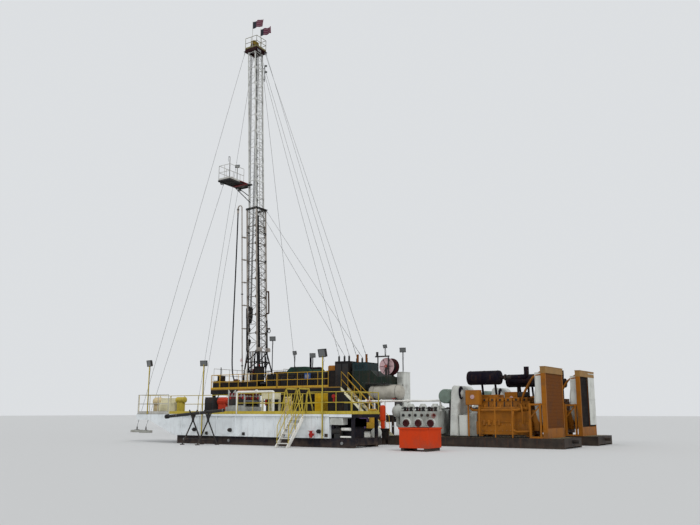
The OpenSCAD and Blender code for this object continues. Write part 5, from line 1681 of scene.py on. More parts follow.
@dataclass
class RackingBoard:
    """The board two thirds up the mast, with its rail, davit and lamps.

    Attributes:
        x0: Outer edge.
        x1: Inner edge.
        y0: Near corner.
        y1: Far corner.
        mast_x: Middle of the mast at the board.
        rail_h: Height of the rail.
    """

    x0: float = -2.2
    x1: float = -1.0
    y0: float = -2.7
    y1: float = -0.16
    mast_x: float = -15.3 * math.tan(MAST_LEAN)
    rail_h: float = 1.2

    def build(self) -> None:
        """Builds the board and all that stands on it."""
        z = BOARD_Z
        outline = [
            (self.x0, self.y0), (self.x0, self.y1), (HOIST_X - 0.35, self.y1),
            (HOIST_X - 0.35, -0.5), (self.mast_x, -0.5), (self.x1, -1.0), (self.x1, self.y0)
        ]
        shape = Shape("board_floor", Finishes.board_grating)
        upright = Matrix(((1, 0, 0, 0), (0, 0, 1, 0), (0, 1, 0, 0), (0, 0, 0, 1)))
        shape.plate(outline, z - 0.035, z, upright)
        shape.use(Finishes.dark_steel)
        for a, b in zip(outline, outline[1:] + outline[:1]):
            shape.bar((a[0], a[1], z - 0.06), (b[0], b[1], z - 0.06), 0.045, 0.11)
        for k in range(7):
            y = -0.95 - 0.25 * k
            shape.bar((self.x0 + 0.05, y, z - 0.055), (self.x1 - 0.05, y, z - 0.055), 0.05, 0.07)
        shape.use(Finishes.dark_red)
        shape.box((self.x0 + 0.75, -1.5, z + 0.01), (self.x0 + 1.3, -0.62, z + 0.07))
        shape.box((self.x0 + 0.1, -1.2, z - 0.16), (self.x0 + 1.5, -0.95, z - 0.1))
        shape.use(Finishes.dark_steel)
        for a, b in (
            ((self.x0 + 0.5, self.y0 + 0.95, z - 0.11), (self.mast_x - 0.1, -0.52, z - 1.55)),
            ((self.x0 + 0.15, self.y1 - 0.25, z - 0.11), (self.mast_x - 0.36, -0.52, z - 0.9))
        ):
            shape.tube(a, b, 0.032, 10)
        for y in (self.y0 + 0.3, self.y1 - 0.12):
            Floodlight(0.2, 55, 20).build(shape, (self.x0 + 0.12, y, z - 0.2), Finishes.dark_steel)
        shape.finish(replaces=("racking_board",), edge=0.003)
        self._rail(z)

    def _rail(self, z: float) -> None:
        """Builds the rail, the davit with its hook and the tilted lamp.

        Args:
            z: Height of the board's floor.
        """
        shape = Shape("board_rail", Finishes.rail_grey)
        x = self.x0 + 0.03
        path = [
            (x, self.y1 - 0.03, z), (x, self.y0 + 0.03, z),
            (self.x1 - 0.03, self.y0 + 0.03, z), (self.x1 - 0.03, -1.03, z)
        ]
        Handrail(self.rail_h, 0.021, 0.15, 0.9).build(shape, path)
        shape.use(Finishes.dark_steel)
        shape.tube((x, -1.46, z), (x, -1.46, z + 2.3), 0.025, 10)
        shape.hose([(x, -1.46, z + 2.25), (x - 0.05, -1.46, z + 2.34), (x - 0.15, -1.46, z + 2.33)], 0.05, 0.022, 8)
        shape.hose(
            [
                (x - 0.16, -1.46, z + 2.33), (x - 0.17, -1.46, z + 2.1),
                (x - 0.15, -1.46, z + 1.95), (x - 0.11, -1.46, z + 1.97)
            ],
            0.05, 0.012, 6
        )
        shape.tube((x, -0.54, z), (x, -0.54, z + 1.7), 0.022, 10)
        Floodlight(0.3, -25, 30).build(shape, (x, -0.54, z + 1.76), Finishes.dark_steel)
        shape.use(Finishes.dark_red)
        shape.box((x + 0.3, -1.9, z), (x + 0.62, -1.66, z + 0.42))
        shape.finish(replaces=("racking_rail",), edge=0.002)


# ---------------------------------------------------------------- hoisting gear and lines


@dataclass
class HoistGear:
    """The travelling block, its hook, the swivel, the kelly and the drilling lines.

    Attributes:
        width: Width of the block.
        thick: Thickness of the block.
        height: Height of the block.
        line: Diameter of the drilling line.
    """

    width: float = 0.48
    thick: float = 0.26
    height: float = 1.3
    line: float = 0.03

    def build(self) -> None:
        """Builds the moving gear and the lines."""
        self._block()
        self._hook()
        self._lines()

    def _block(self) -> None:
        """Builds the block with its side plates and sheaves."""
        shape = Shape("block_case", Finishes.black_paint)
        x, top, w = HOIST_X, BLOCK_TOP, self.width / 2
        side = [
            (x - 0.17, top), (x + 0.17, top), (x + w, top - 0.18), (x + w, top - 0.82),
            (x + 0.13, top - self.height), (x - 0.13, top - self.height), (x - w, top - 0.82), (x - w, top - 0.18)
        ]
        for s in (-1, 1):
            shape.plate(side, s * self.thick / 2, s * (self.thick / 2 - 0.03))
        core = [(px * 0.93 + x * 0.07, (pz - (top - 0.5)) * 0.93 + top - 0.5) for px, pz in side]
        shape.use(Finishes.dark_steel).plate(core, -self.thick / 2 + 0.04, self.thick / 2 - 0.04)
        shape.use(Finishes.dark_steel)
        for s in (-1, 1):
            shape.lathe(
                (x, s * (self.thick / 2 + 0.001), top - 0.42), (0, s, 0), [(0.18, 0), (0.17, 0.012), (0.1, 0.014)], 28
            )
        shape.use(Finishes.bare_steel)
        for s in (-1, 1):
            shape.lathe((x, s * self.thick / 2, top - 0.42), (0, s, 0), [(0.09, 0), (0.09, 0.024), (0.07, 0.029)], 24)
            shape.bolts((x, s * self.thick / 2, top - 0.9), (0, s, 0), 0.13, 6, 0.035)
        shape.finish(Body.BLOCK, ("travelling_block",), edge=0.006)

    def _hook(self) -> None:
        """Builds the hook, its bails, the swivel and the kelly."""
        shape = Shape("hook_set", Finishes.dark_steel)
        x, z = HOIST_X, BLOCK_TOP - self.height
        shape.lathe((x, 0, z), DOWN, [(0.06, 0), (0.06, 0.33), (0.115, 0.37), (0.12, 0.6), (0.09, 0.7)], 24)
        shape.use(Finishes.bare_steel)
        for s in (-1, 1):
            shape.hose(
                [(x, s * 0.06, z - 0.62), (x, s * 0.115, z - 0.75), (x, s * 0.09, z - 1.0), (x, s * 0.095, z - 1.29)],
                0.08, 0.024, 10
            )
        shape.use(Finishes.black_paint)
        shape.lathe((x, 0, z - 1.23), DOWN, [(0.1, 0), (0.168, 0.04), (0.168, 0.3), (0.12, 0.42), (0.1, 0.52)], 28)
        shape.use(Finishes.bare_steel)
        shape.lathe((x, 0, z - 1.7), DOWN, [(0.0745, 0.0), (0.0745, z - 1.7 - 0.35)], 6)
        shape.lathe((x, 0, FLOOR_Z + 0.62), DOWN, [(0.12, 0), (0.128, 0.03), (0.128, 0.3), (0.12, 0.33)], 16)
        shape.finish(Body.BLOCK, ("hook_and_kelly",), edge=0.004)

    def _lines(self) -> None:
        """Builds the drilling lines between the crown and the block."""
        shape = Shape("hoist_lines", Finishes.wire_rope)
        for s in (-1, 1):
            for i in (-1.5, -0.5, 0.5, 1.5):
                shape.tube(
                    (HOIST_X + s * 0.13, i * 0.05, BLOCK_TOP + 0.001),
                    (AXLE_X + s * (0.36 + self.line / 2), i * 0.08, AXLE_Z), self.line / 2, 8
                )
        piece = shape.finish(replaces=("drilling_lines",), edge=0)
        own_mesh(piece)


@dataclass
class GuyLines:
    """The wire ropes that hold the mast: sockets, turnbuckles and thimbles at their ends.

    Attributes:
        radius: Radius of a rope.
        ball: Radius of the shackle at each end.
        anchors: X and Y of each anchor block.
    """

    radius: float = 0.011
    ball: float = 0.045
    anchors: tuple[tuple[float, float], ...] = ((-9.6, -3.0), (-9.6, 3.3), (-7.6, -3.9), (-8.0, 2.1))

    def ends(self) -> list[tuple[Vector, Vector]]:
        """Gives the upper and the lower end of each line.

        Returns:
            The ends of each line, upper one first.
        """
        gap = self.ball + 0.0003
        crown = Crown()
        lug = CROWN_Z + 0.08 - gap
        front, back = crown.x - crown.half - 0.07, crown.x + crown.half + 0.07
        ground = 0.42 + gap
        post = 5.32 + gap
        board = BOARD_Z - 0.08 - gap
        tops = ((front, -0.54, lug), (front, 0.54, lug), (-2.08, -2.18, board), (-2.08, -0.46, board))
        out = [(Vector(top), Vector((*spot, ground))) for top, spot in zip(tops, self.anchors)]
        for s in (-1, 1):
            out.append((Vector((back, s * 0.54, lug)), Vector((8.25, s * 1.15, post))))
            out.append((Vector((back, s * 0.38, lug)), Vector((9.08, s * 1.15, post))))
            out.append((on_mast(0.61, s * 0.5, SPLICE + 0.06 - gap), Vector((8.7, s * 1.15, post))))
        out.append((Vector((back, -0.2, lug)), Vector((4.1, -0.7, 4.73 + gap))))
        return out

    def build(self) -> None:
        """Builds every line."""
        shape = Shape("guy_ropes", Finishes.wire_rope)
        for top, low in self.ends():
            way = (low - top).normalized()
            shape.use(Finishes.wire_rope).tube(top + way * 0.03, low - way * 0.9, self.radius, 8)
            shape.tube(low - way * 0.35, low - way * 0.02, self.radius, 8)
            shape.use(Finishes.bare_steel)
            shape.lathe(top, way, [(0.02, 0.0), (0.028, 0.03), (0.024, 0.22), (0.012, 0.3)], 10)
            shape.lathe(
                low - way * 0.95, way,
                [
                    (0.012, 0.0), (0.026, 0.06), (0.026, 0.14), (0.018, 0.18),
                    (0.018, 0.46), (0.026, 0.5), (0.026, 0.58), (0.012, 0.64)
                ],
                10
            )
            for end in (top, low):
                shape.ring(end, FAR, self.ball * 0.66, self.ball * 0.3, 16, 8)
        shape.finish(replaces=("guy_lines",), edge=0)
        base = Shape("anchor_blocks", Finishes.pump_grey)
        for x, y in self.anchors:
            base.use(Finishes.pump_grey).box((x - 0.35, y - 0.35, 0), (x + 0.35, y + 0.35, 0.18))
            base.use(Finishes.dark_steel).box((x - 0.06, y - 0.012, 0.18), (x + 0.06, y + 0.012, 0.42))
            base.box((x - 0.15, y - 0.15, 0.18), (x + 0.15, y + 0.15, 0.2))
            base.box((x - 0.012, y - 0.06, 0.2), (x + 0.012, y + 0.06, 0.4))
            base.use(Finishes.bare_steel).bolts((x, y, 0.2), UP, 0.13, 4, 0.04)
        base.finish(replaces=("guy_anchors",), edge=0.012)


@dataclass
class MudLine:
    """The standpipe on the mast and the free hose that hangs from its gooseneck.

    Attributes:
        radius: Radius of the hose.
        route: Points that the hose passes through, as in the part's source.
    """

    radius: float = 0.05
    route: tuple[Point, ...] = (
        (-1.55, -1.0, 17.0), (-1.55, -1.0, 16.7), (-1.555, -1.0, 16.0), (-1.575, -1.0, 14.5), (-1.61, -1.0, 12.5),
        (-1.65, -1.0, 10.5), (-1.69, -1.0, 8.5), (-1.71, -1.0, 7.0), (-1.71, -1.0, 6.0), (-1.69, -1.0, 5.2),
        (-1.64, -1.005, 4.65), (-1.54, -1.02, 4.22), (-1.39, -1.04, 3.93),
        (-1.21, -1.1, 3.815), (-1.03, -1.17, 3.802),
        (-0.86, -1.26, 3.815), (-0.7, -1.37, 3.83), (-0.59, -1.45, 3.83),
    )

    def build(self) -> None:
        """Builds the hose, its end fitting and the standpipe's fittings."""
        path = smooth_path(self.route, 0.13)
        hose = Shape("mud_hose", Finishes.drill_hose)
        hose.sweep(path, self.radius, 14)
        piece = hose.finish(replaces=("rotary_hose",), edge=0)
        paint_node(Finishes.dark_steel, "hose_union")
        paint_node(Finishes.mast_grey, "standpipe")
        pipe = Shape("standpipe_clamps", Finishes.dark_steel)
        way = MAST.to_3x3() @ UP
        for z in (3.7, 5.5, 7.3, 9.1, 10.9):
            pipe.ring(on_mast(-0.64, -1.0, z + 0.03), way, 0.052, 0.012, 18, 6)
        for z in (6.4, 0.9):
            pipe.flange(on_mast(-0.64, -1.0, z), way, 0.09, 0.025)
        pipe.flange((-1.55, -1.0, 17.3), UP, 0.1, 0.025)
        pipe.use(Finishes.valve_red).tube(on_mast(-0.64, -1.0, 1.3), on_mast(-0.64, -1.1, 1.3), 0.02, 8)
        pipe.wheel(on_mast(-0.64, -1.11, 1.3), FAR, 0.11)
        pipe.finish(edge=0)


# ---------------------------------------------------------------- carrier, deck and floor


@dataclass
class Carrier:
    """The chassis with its wheels, jacks, mud guards and boxes.

    Attributes:
        tyre: Radius of a tyre.
        axles: Places of the axles.
    """

    tyre: float = 0.5
    axles: tuple[float, ...] = (4.2, 5.5, 6.8)

    def build(self) -> None:
        """Builds the carrier's pieces."""
        paint_node(Finishes.black_paint, "carrier_frame", "carrier_jacks")
        self._wheels()
        self._gear()

    def _wheels(self) -> None:
        """Builds the twin wheels with their treads and rims."""
        shape = Shape("carrier_tyres", Finishes.tyre)
        r = self.tyre
        for x in self.axles:
            for s in (-1, 1):
                for k in (0, 1):
                    y = s * (0.86 + 0.245 * k)
                    shape.use(Finishes.tyre)
                    shape.lathe(
                        (x, y - 0.115, r), FAR,
                        [
                            (r * 0.58, 0.01), (r * 0.8, 0.0), (r * 0.96, 0.02), (r, 0.05),
                            (r, 0.18), (r * 0.96, 0.21), (r * 0.8, 0.23), (r * 0.58, 0.22)
                        ],
                        40
                    )
                    shape.use(Finishes.wheel_grey)
                    shape.lathe(
                        (x, y + s * 0.05, r), (0, s, 0),
                        [(r * 0.585, 0.04), (r * 0.5, 0.0), (r * 0.3, 0.0), (r * 0.24, 0.05), (r * 0.12, 0.06)], 28
                    )
                shape.use(Finishes.bare_steel).bolts((x, s * 1.155, r), (0, s, 0), r * 0.38, 10, 0.035)
        shape.finish(replaces=("carrier_wheels",), edge=0)

    def _gear(self) -> None:
        """Builds cross members, tanks, hoses and jack details under the rig."""
        shape = Shape("carrier_gear", Finishes.dark_steel)
        for x in (-0.6, 0.6, 1.6, 3.0, 4.9, 6.2, 8.0, 10.4, 12.0):
            shape.box((x, -0.75, 1.0), (x + 0.12, 0.75, 1.25))
        for s in (-1, 1):
            for x in self.axles:
                shape.bar((x - 0.52, s * 0.7, 0.78), (x + 0.52, s * 0.7, 0.78), 0.08, 0.09)
                shape.box((x - 0.1, s * 0.62, 0.6), (x + 0.1, s * 0.8, 0.9))
        shape.use(Finishes.skid_grey)
        shape.box((1.0, -1.22, 0.62), (2.1, -0.97, 1.3)).box((2.7, -1.2, 0.7), (3.4, -0.97, 1.28))
        shape.use(Finishes.dark_red)
        shape.lathe((7.6, -1.1, 0.95), RIGHT, [(0.05, 0), (0.17, 0.04), (0.17, 0.9), (0.05, 0.94)], 22)
        shape.use(Finishes.black_paint)
        for x in (3.55, 7.42):
            shape.box((x, -1.25, 0.35), (x + 0.02, -0.72, 0.95))
        shape.use(Finishes.bare_steel)
        for x in (-0.4, 2.6, 9.2, 12.6):
            for s in (-1, 1):
                shape.tube((x, s * 1.37, 0.1), (x, s * 1.37, 0.62), 0.055, 14)
                shape.lathe((x, s * 1.37, 0.6), UP, [(0.09, 0), (0.1, 0.02), (0.1, 0.06), (0.09, 0.08)], 18)
        shape.use(Finishes.hose_black)
        for k, y in enumerate((-0.98, -1.02, -1.06)):
            shape.hose(
                [(0.2, y, 1.42), (2.4, y, 1.36 - 0.02 * k), (5.0, y, 1.41), (7.8, y, 1.37), (9.6, y, 1.42)],
                0.4, 0.016, 6
            )
        shape.finish(edge=0.008)


@dataclass
class Deck:
    """The walkways at both sides, the stair and their golden handrails.

    Attributes:
        x0: Left end of the near walkway.
        x1: Right end of both walkways.
        rail_h: Height of the handrail.
    """

    x0: float = -2.2
    x1: float = 9.4
    rail_h: float = 1.05

    def build(self) -> None:
        """Builds walkways, rails and stair details."""
        self._walkways()
        self._rails()
        self._stair()

    def _walkways(self) -> None:
        """Builds walkways with grating, kerbs, brackets and posts."""
        shape = Shape("walkways", Finishes.walkway)
        for s, x0 in ((-1, self.x0), (1, 1.5)):
            lo, hi = sorted((s * DECK_HALF, s * WALK_Y))
            shape.use(Finishes.walkway).box((x0, lo + 0.012, DECK_Z - 0.05), (self.x1, hi - 0.012, DECK_Z))
            shape.use(Finishes.deck_gold)
            shape.box((x0, s * DECK_HALF, DECK_Z - 0.07), (self.x1, s * (DECK_HALF - 0.012), DECK_Z))
            shape.use(Finishes.black_paint)
            shape.box((x0, s * DECK_HALF, DECK_Z - 0.36), (self.x1, s * (DECK_HALF - 0.012), DECK_Z - 0.07))
            shape.box((x0, s * (DECK_HALF - 0.012), DECK_Z - 0.36), (self.x1, s * (DECK_HALF - 0.09), DECK_Z - 0.345))
            shape.box((x0, s * (DECK_HALF - 0.012), DECK_Z - 0.075), (self.x1, s * (DECK_HALF - 0.09), DECK_Z - 0.06))
            shape.box((x0, s * WALK_Y, DECK_Z - 0.22), (self.x1, s * (WALK_Y + 0.012), DECK_Z))
            count = round((self.x1 - x0) / 0.9)
            for i in range(count + 1):
                x = x0 + 0.01 + (self.x1 - x0 - 0.03) * i / count
                shape.box(
                    (x, s * (WALK_Y + 0.012), DECK_Z - 0.17), (x + 0.012, s * (DECK_HALF - 0.012), DECK_Z - 0.05)
                )
            for x in (-2.05, 1.9, 5.3, 9.1):
                if s > 0 and x < 1.5:
                    continue
                y = s * (DECK_HALF - 0.11)
                shape.box((x - 0.05, y - 0.05, 0.03), (x + 0.05, y + 0.05, DECK_Z - 0.36))
                shape.box((x - 0.2, y - 0.2, 0.0), (x + 0.2, y + 0.2, 0.03))
                shape.bar((x, y, 1.9), (x, s * (WALK_Y + 0.06), DECK_Z - 0.2), 0.06)
                shape.use(Finishes.bare_steel).bolts((x, y, 0.03), UP, 0.2, 4, 0.03)
                shape.use(Finishes.black_paint)
        shape.finish(replaces=("rig_deck",), edge=0.004)

    def _rails(self) -> None:
        """Builds the handrails."""
        shape = Shape("deck_handrails", Finishes.rail_yellow)
        rail = Handrail(self.rail_h, 0.02, 0.12, 0.95)
        near, far = -DECK_HALF + 0.022, DECK_HALF - 0.042
        rail.build(shape, [(self.x0, near, DECK_Z), (4.0, near, DECK_Z)])
        rail.build(shape, [(4.1, near, DECK_Z), (8.4, near, DECK_Z)])
        rail.build(shape, [(self.x0 + 0.02, near + 0.06, DECK_Z), (self.x0 + 0.02, -1.81, DECK_Z)])
        rail.build(shape, [(1.6, far, DECK_Z), (self.x1 - 0.02, far, DECK_Z)])
        rail.build(shape, [(self.x1 - 0.04, far - 0.08, DECK_Z), (self.x1 - 0.04, WALK_Y + 0.06, DECK_Z)])
        shape.finish(replaces=("deck_rails",), edge=0)

    def _stair(self) -> None:
        """Builds the stair to the near walkway."""
        shape = Shape("stair_flight", Finishes.cream)
        x0, x1, low, high = 9.4, 13.0, 0.0, DECK_Z
        y0, y1 = -2.67, -1.82
        slope = (high - low) / (x1 - x0)
        for y in (y0, y1 - 0.06):
            shape.plate(
                [(x0, high - 0.02), (x0, high - 0.26), (x1 - 0.28, low + 0.02), (x1, low + 0.02)], y, y + 0.012
            )
            shape.plate(
                [(x0, high - 0.02), (x0, high - 0.035), (x1 - 0.02, low + 0.02), (x1, low + 0.02)], y, y + 0.06
            )
            shape.plate(
                [(x0, high - 0.245), (x0, high - 0.26), (x1 - 0.28, low + 0.02), (x1 - 0.26, low + 0.02)], y, y + 0.06
            )
        shape.use(Finishes.tread)
        for i in range(1, 14):
            x = x0 + (x1 - x0 - 0.14) * i / 14
            z = high - (x - x0) * slope - 0.05
            shape.box((x - 0.1, y0 + 0.012, z - 0.03), (x + 0.13, y1 - 0.06, z))
        shape.use(Finishes.rail_yellow)
        for y in (y0 + 0.02, y1 - 0.03):
            top = [(x0 + 0.03, y, high + 0.98), (x1 - 0.4, y, low + 1.28)]
            shape.hose([(x0 + 0.03, y, high + 0.03), top[0], top[1], (x1 - 0.36, y, low + 0.3)], 9.0, 0.018, 10)
            shape.tube((x0 + 0.03, y, high + 0.48), (x1 - 0.4, y, low + 0.8), 0.014, 8)
            for k in (0.33, 0.66):
                x = x0 + (x1 - x0 - 0.4) * k
                z = high - (x - x0) * slope
                shape.tube((x, y, z - 0.1), (x, y, z + 1.0), 0.016, 8)
        shape.finish(replaces=("deck_stair",), edge=0.002)


@dataclass
class DrillFloor:
    """The floor at the mast's foot: skirts, rotary table, winch, consoles, rails and hand tools.

    Attributes:
        x0: Left edge.
        x1: Right edge.
    """

    x0: float = -2.9
    x1: float = 1.5

    def build(self) -> None:
        """Builds the floor and what stands on it."""
        self._floor()
        self._rails()
        self._table()
        self._machines()

    def _floor(self) -> None:
        """Builds the floor plate with its skirts and legs."""
        paint_node(Finishes.black_paint, "drill_floor")
        shape = Shape("floor_ribs", Finishes.black_paint)
        for k in range(8):
            x = self.x0 + 0.3 + 0.52 * k
            shape.box((x, -1.75, DECK_Z - 0.36), (x + 0.015, -1.77, FLOOR_Z - 0.08))
        shape.box((self.x0 + 0.02, -1.79, DECK_Z - 0.4), (self.x1 - 0.02, -1.75, DECK_Z - 0.385))
        for s in range(6):
            y = -1.4 + 0.72 * s
            shape.box((self.x0 - 0.02, y, DECK_Z - 0.36), (self.x0, y + 0.015, FLOOR_Z - 0.08))
        shape.use(Finishes.deck_gold)
        shape.box((self.x0 + 0.02, -1.78, FLOOR_Z - 0.055), (self.x1 - 0.02, -1.75, FLOOR_Z - 0.005))
        shape.use(Finishes.walkway)
        for i in range(4):
            for j in range(4):
                x, y = self.x0 + 0.06 + 1.08 * i, -1.68 + 1.08 * j
                if i == 1 and j in (1, 2) or i in (2, 3) and j < 3:
                    continue
                shape.box((x, y, FLOOR_Z), (x + 1.03, y + 1.03, FLOOR_Z + 0.006))
        shape.finish(edge=0.003)

    def _rails(self) -> None:
        """Builds the grey handrails with the winch, the boxes and the posts among them."""
        shape = Shape("floor_guard", Finishes.rail_grey, (0, 0, FLOOR_Z))
        rail = Handrail(1.05, 0.02, 0.15, 1.05)
        rail.build(shape, [(self.x0 + 0.08, DECK_HALF - 0.04, 0), (self.x1, DECK_HALF - 0.04, 0)])
        rail.build(shape, [(self.x0 + 0.022, DECK_HALF, 0), (self.x0 + 0.022, -1.69, 0)])
        rail.build(shape, [(self.x1 - 0.04, 1.35, 0), (self.x1 - 0.04, DECK_HALF - 0.08, 0)])
        shape.use(Finishes.skid_grey).box((-2.75, -1.5, 0), (-2.3, -0.95, 0.08))
        for x in (-2.73, -2.36):
            shape.box((x, -1.45, 0.08), (x + 0.04, -1.0, 0.5))
        shape.use(Finishes.wire_rope)
        for k in range(8):
            shape.ring((-2.655 + 0.036 * k, -1.22, 0.3), RIGHT, 0.13, 0.018, 24, 6)
        shape.use(Finishes.bare_steel).tube((-2.72, -1.22, 0.3), (-2.32, -1.22, 0.3), 0.05, 14)
        shape.use(Finishes.dark_steel).tube((-2.6, -1.22, 0.08), (-2.6, -1.22, 1.15), 0.035, 12)
        shape.use(Finishes.pump_grey)
        shape.box((-0.3, 1.5, 0), (0.7, 2.3, 0.66))
        shape.box((-0.26, 1.54, 0.66), (0.66, 2.26, 0.7))
        shape.box((0.7, 1.7, 0), (0.9, 2.1, 0.42))
        louvres(shape, -0.2, 0.6, 1.5, 0.12, 0.56, 7)
        shape.use(Finishes.pipe_white)
        for x, top in ((0.15, 0.9), (0.42, 0.62)):
            shape.box((x, -1.64, 0), (x + 0.13, -1.51, top - 0.03))
            shape.box((x - 0.012, -1.652, top - 0.03), (x + 0.142, -1.498, top))
            shape.box((x - 0.03, -1.67, 0), (x + 0.16, -1.48, 0.02))
        shape.finish(replaces=("floor_rails",), edge=0.004)

    def _table(self) -> None:
        """Builds the rotary table and its bushing."""
        shape = Shape("rotary_plate", Finishes.rust_brown, (0, 0, FLOOR_Z))
        shape.lathe(
            (HOIST_X, 0, 0), UP,
            [(0.39, 0.0), (0.39, 0.09), (0.375, 0.118), (0.25, 0.118), (0.24, 0.105), (0.135, 0.105), (0.132, 0.0)],
            48
        )
        shape.use(Finishes.bare_steel).bolts((HOIST_X, 0, 0.117), UP, 0.32, 12, 0.034)
        shape.ring((HOIST_X, 0, 0.11), UP, 0.19, 0.012, 40, 8)
        shape.finish(replaces=("rotary_table",), edge=0.003)

    def _machines(self) -> None:
        """Builds the consoles, the tongs, the slips and the drill pipe box on the floor."""
        shape = Shape("floor_machines", Finishes.black_paint, (0, 0, FLOOR_Z))
        shape.box((1.02, -1.55, 0), (1.42, -0.95, 1.05)).box((0.98, -1.6, 1.05), (1.46, -0.9, 1.1))
        shape.box((-2.3, 1.3, 0), (-1.5, 2.1, 0.7)).box((-2.26, 1.34, 0.7), (-1.54, 2.06, 0.78))
        shape.use(Finishes.dark_red)
        shape.lathe((-1.9, 1.7, 0.78), UP, [(0.2, 0), (0.2, 0.3), (0.12, 0.36), (0.06, 0.37)], 24)
        shape.box((-1.75, -0.75, 0.01), (-1.45, -0.5, 0.25))
        shape.use(Finishes.bare_steel)
        shape.hose([(-1.66, 0.3, 0.95), (-1.4, 0.22, 0.97), (-1.18, 0.2, 0.95), (-1.12, 0.06, 0.95)], 0.06, 0.03, 8)
        shape.ring((-0.95, 0.0, 0.95), UP, 0.17, 0.025, 28, 8)
        shape.tube((-1.66, 0.3, 0.95), (-1.8, 0.45, 0.95), 0.02, 8)
        shape.use(Finishes.wire_rope).tube((-1.5, 0.26, 0.97), (-1.3, 0.42, 8.25), 0.006, 6)
        shape.use(Finishes.dark_steel)
        shape.hose([(-2.0, -0.2, 0.012), (-1.75, 0.1, 0.012), (-1.55, 0.6, 0.012), (-2.1, 0.8, 0.012)], 0.1, 0.012, 6)
        shape.use(Finishes.valve_red)
        shape.lathe((1.22, -1.25, 1.1), UP, [(0.02, 0), (0.02, 0.1), (0.05, 0.11), (0.05, 0.14)], 14)
        shape.finish(edge=0.006)


# ---------------------------------------------------------------- machinery on the carrier


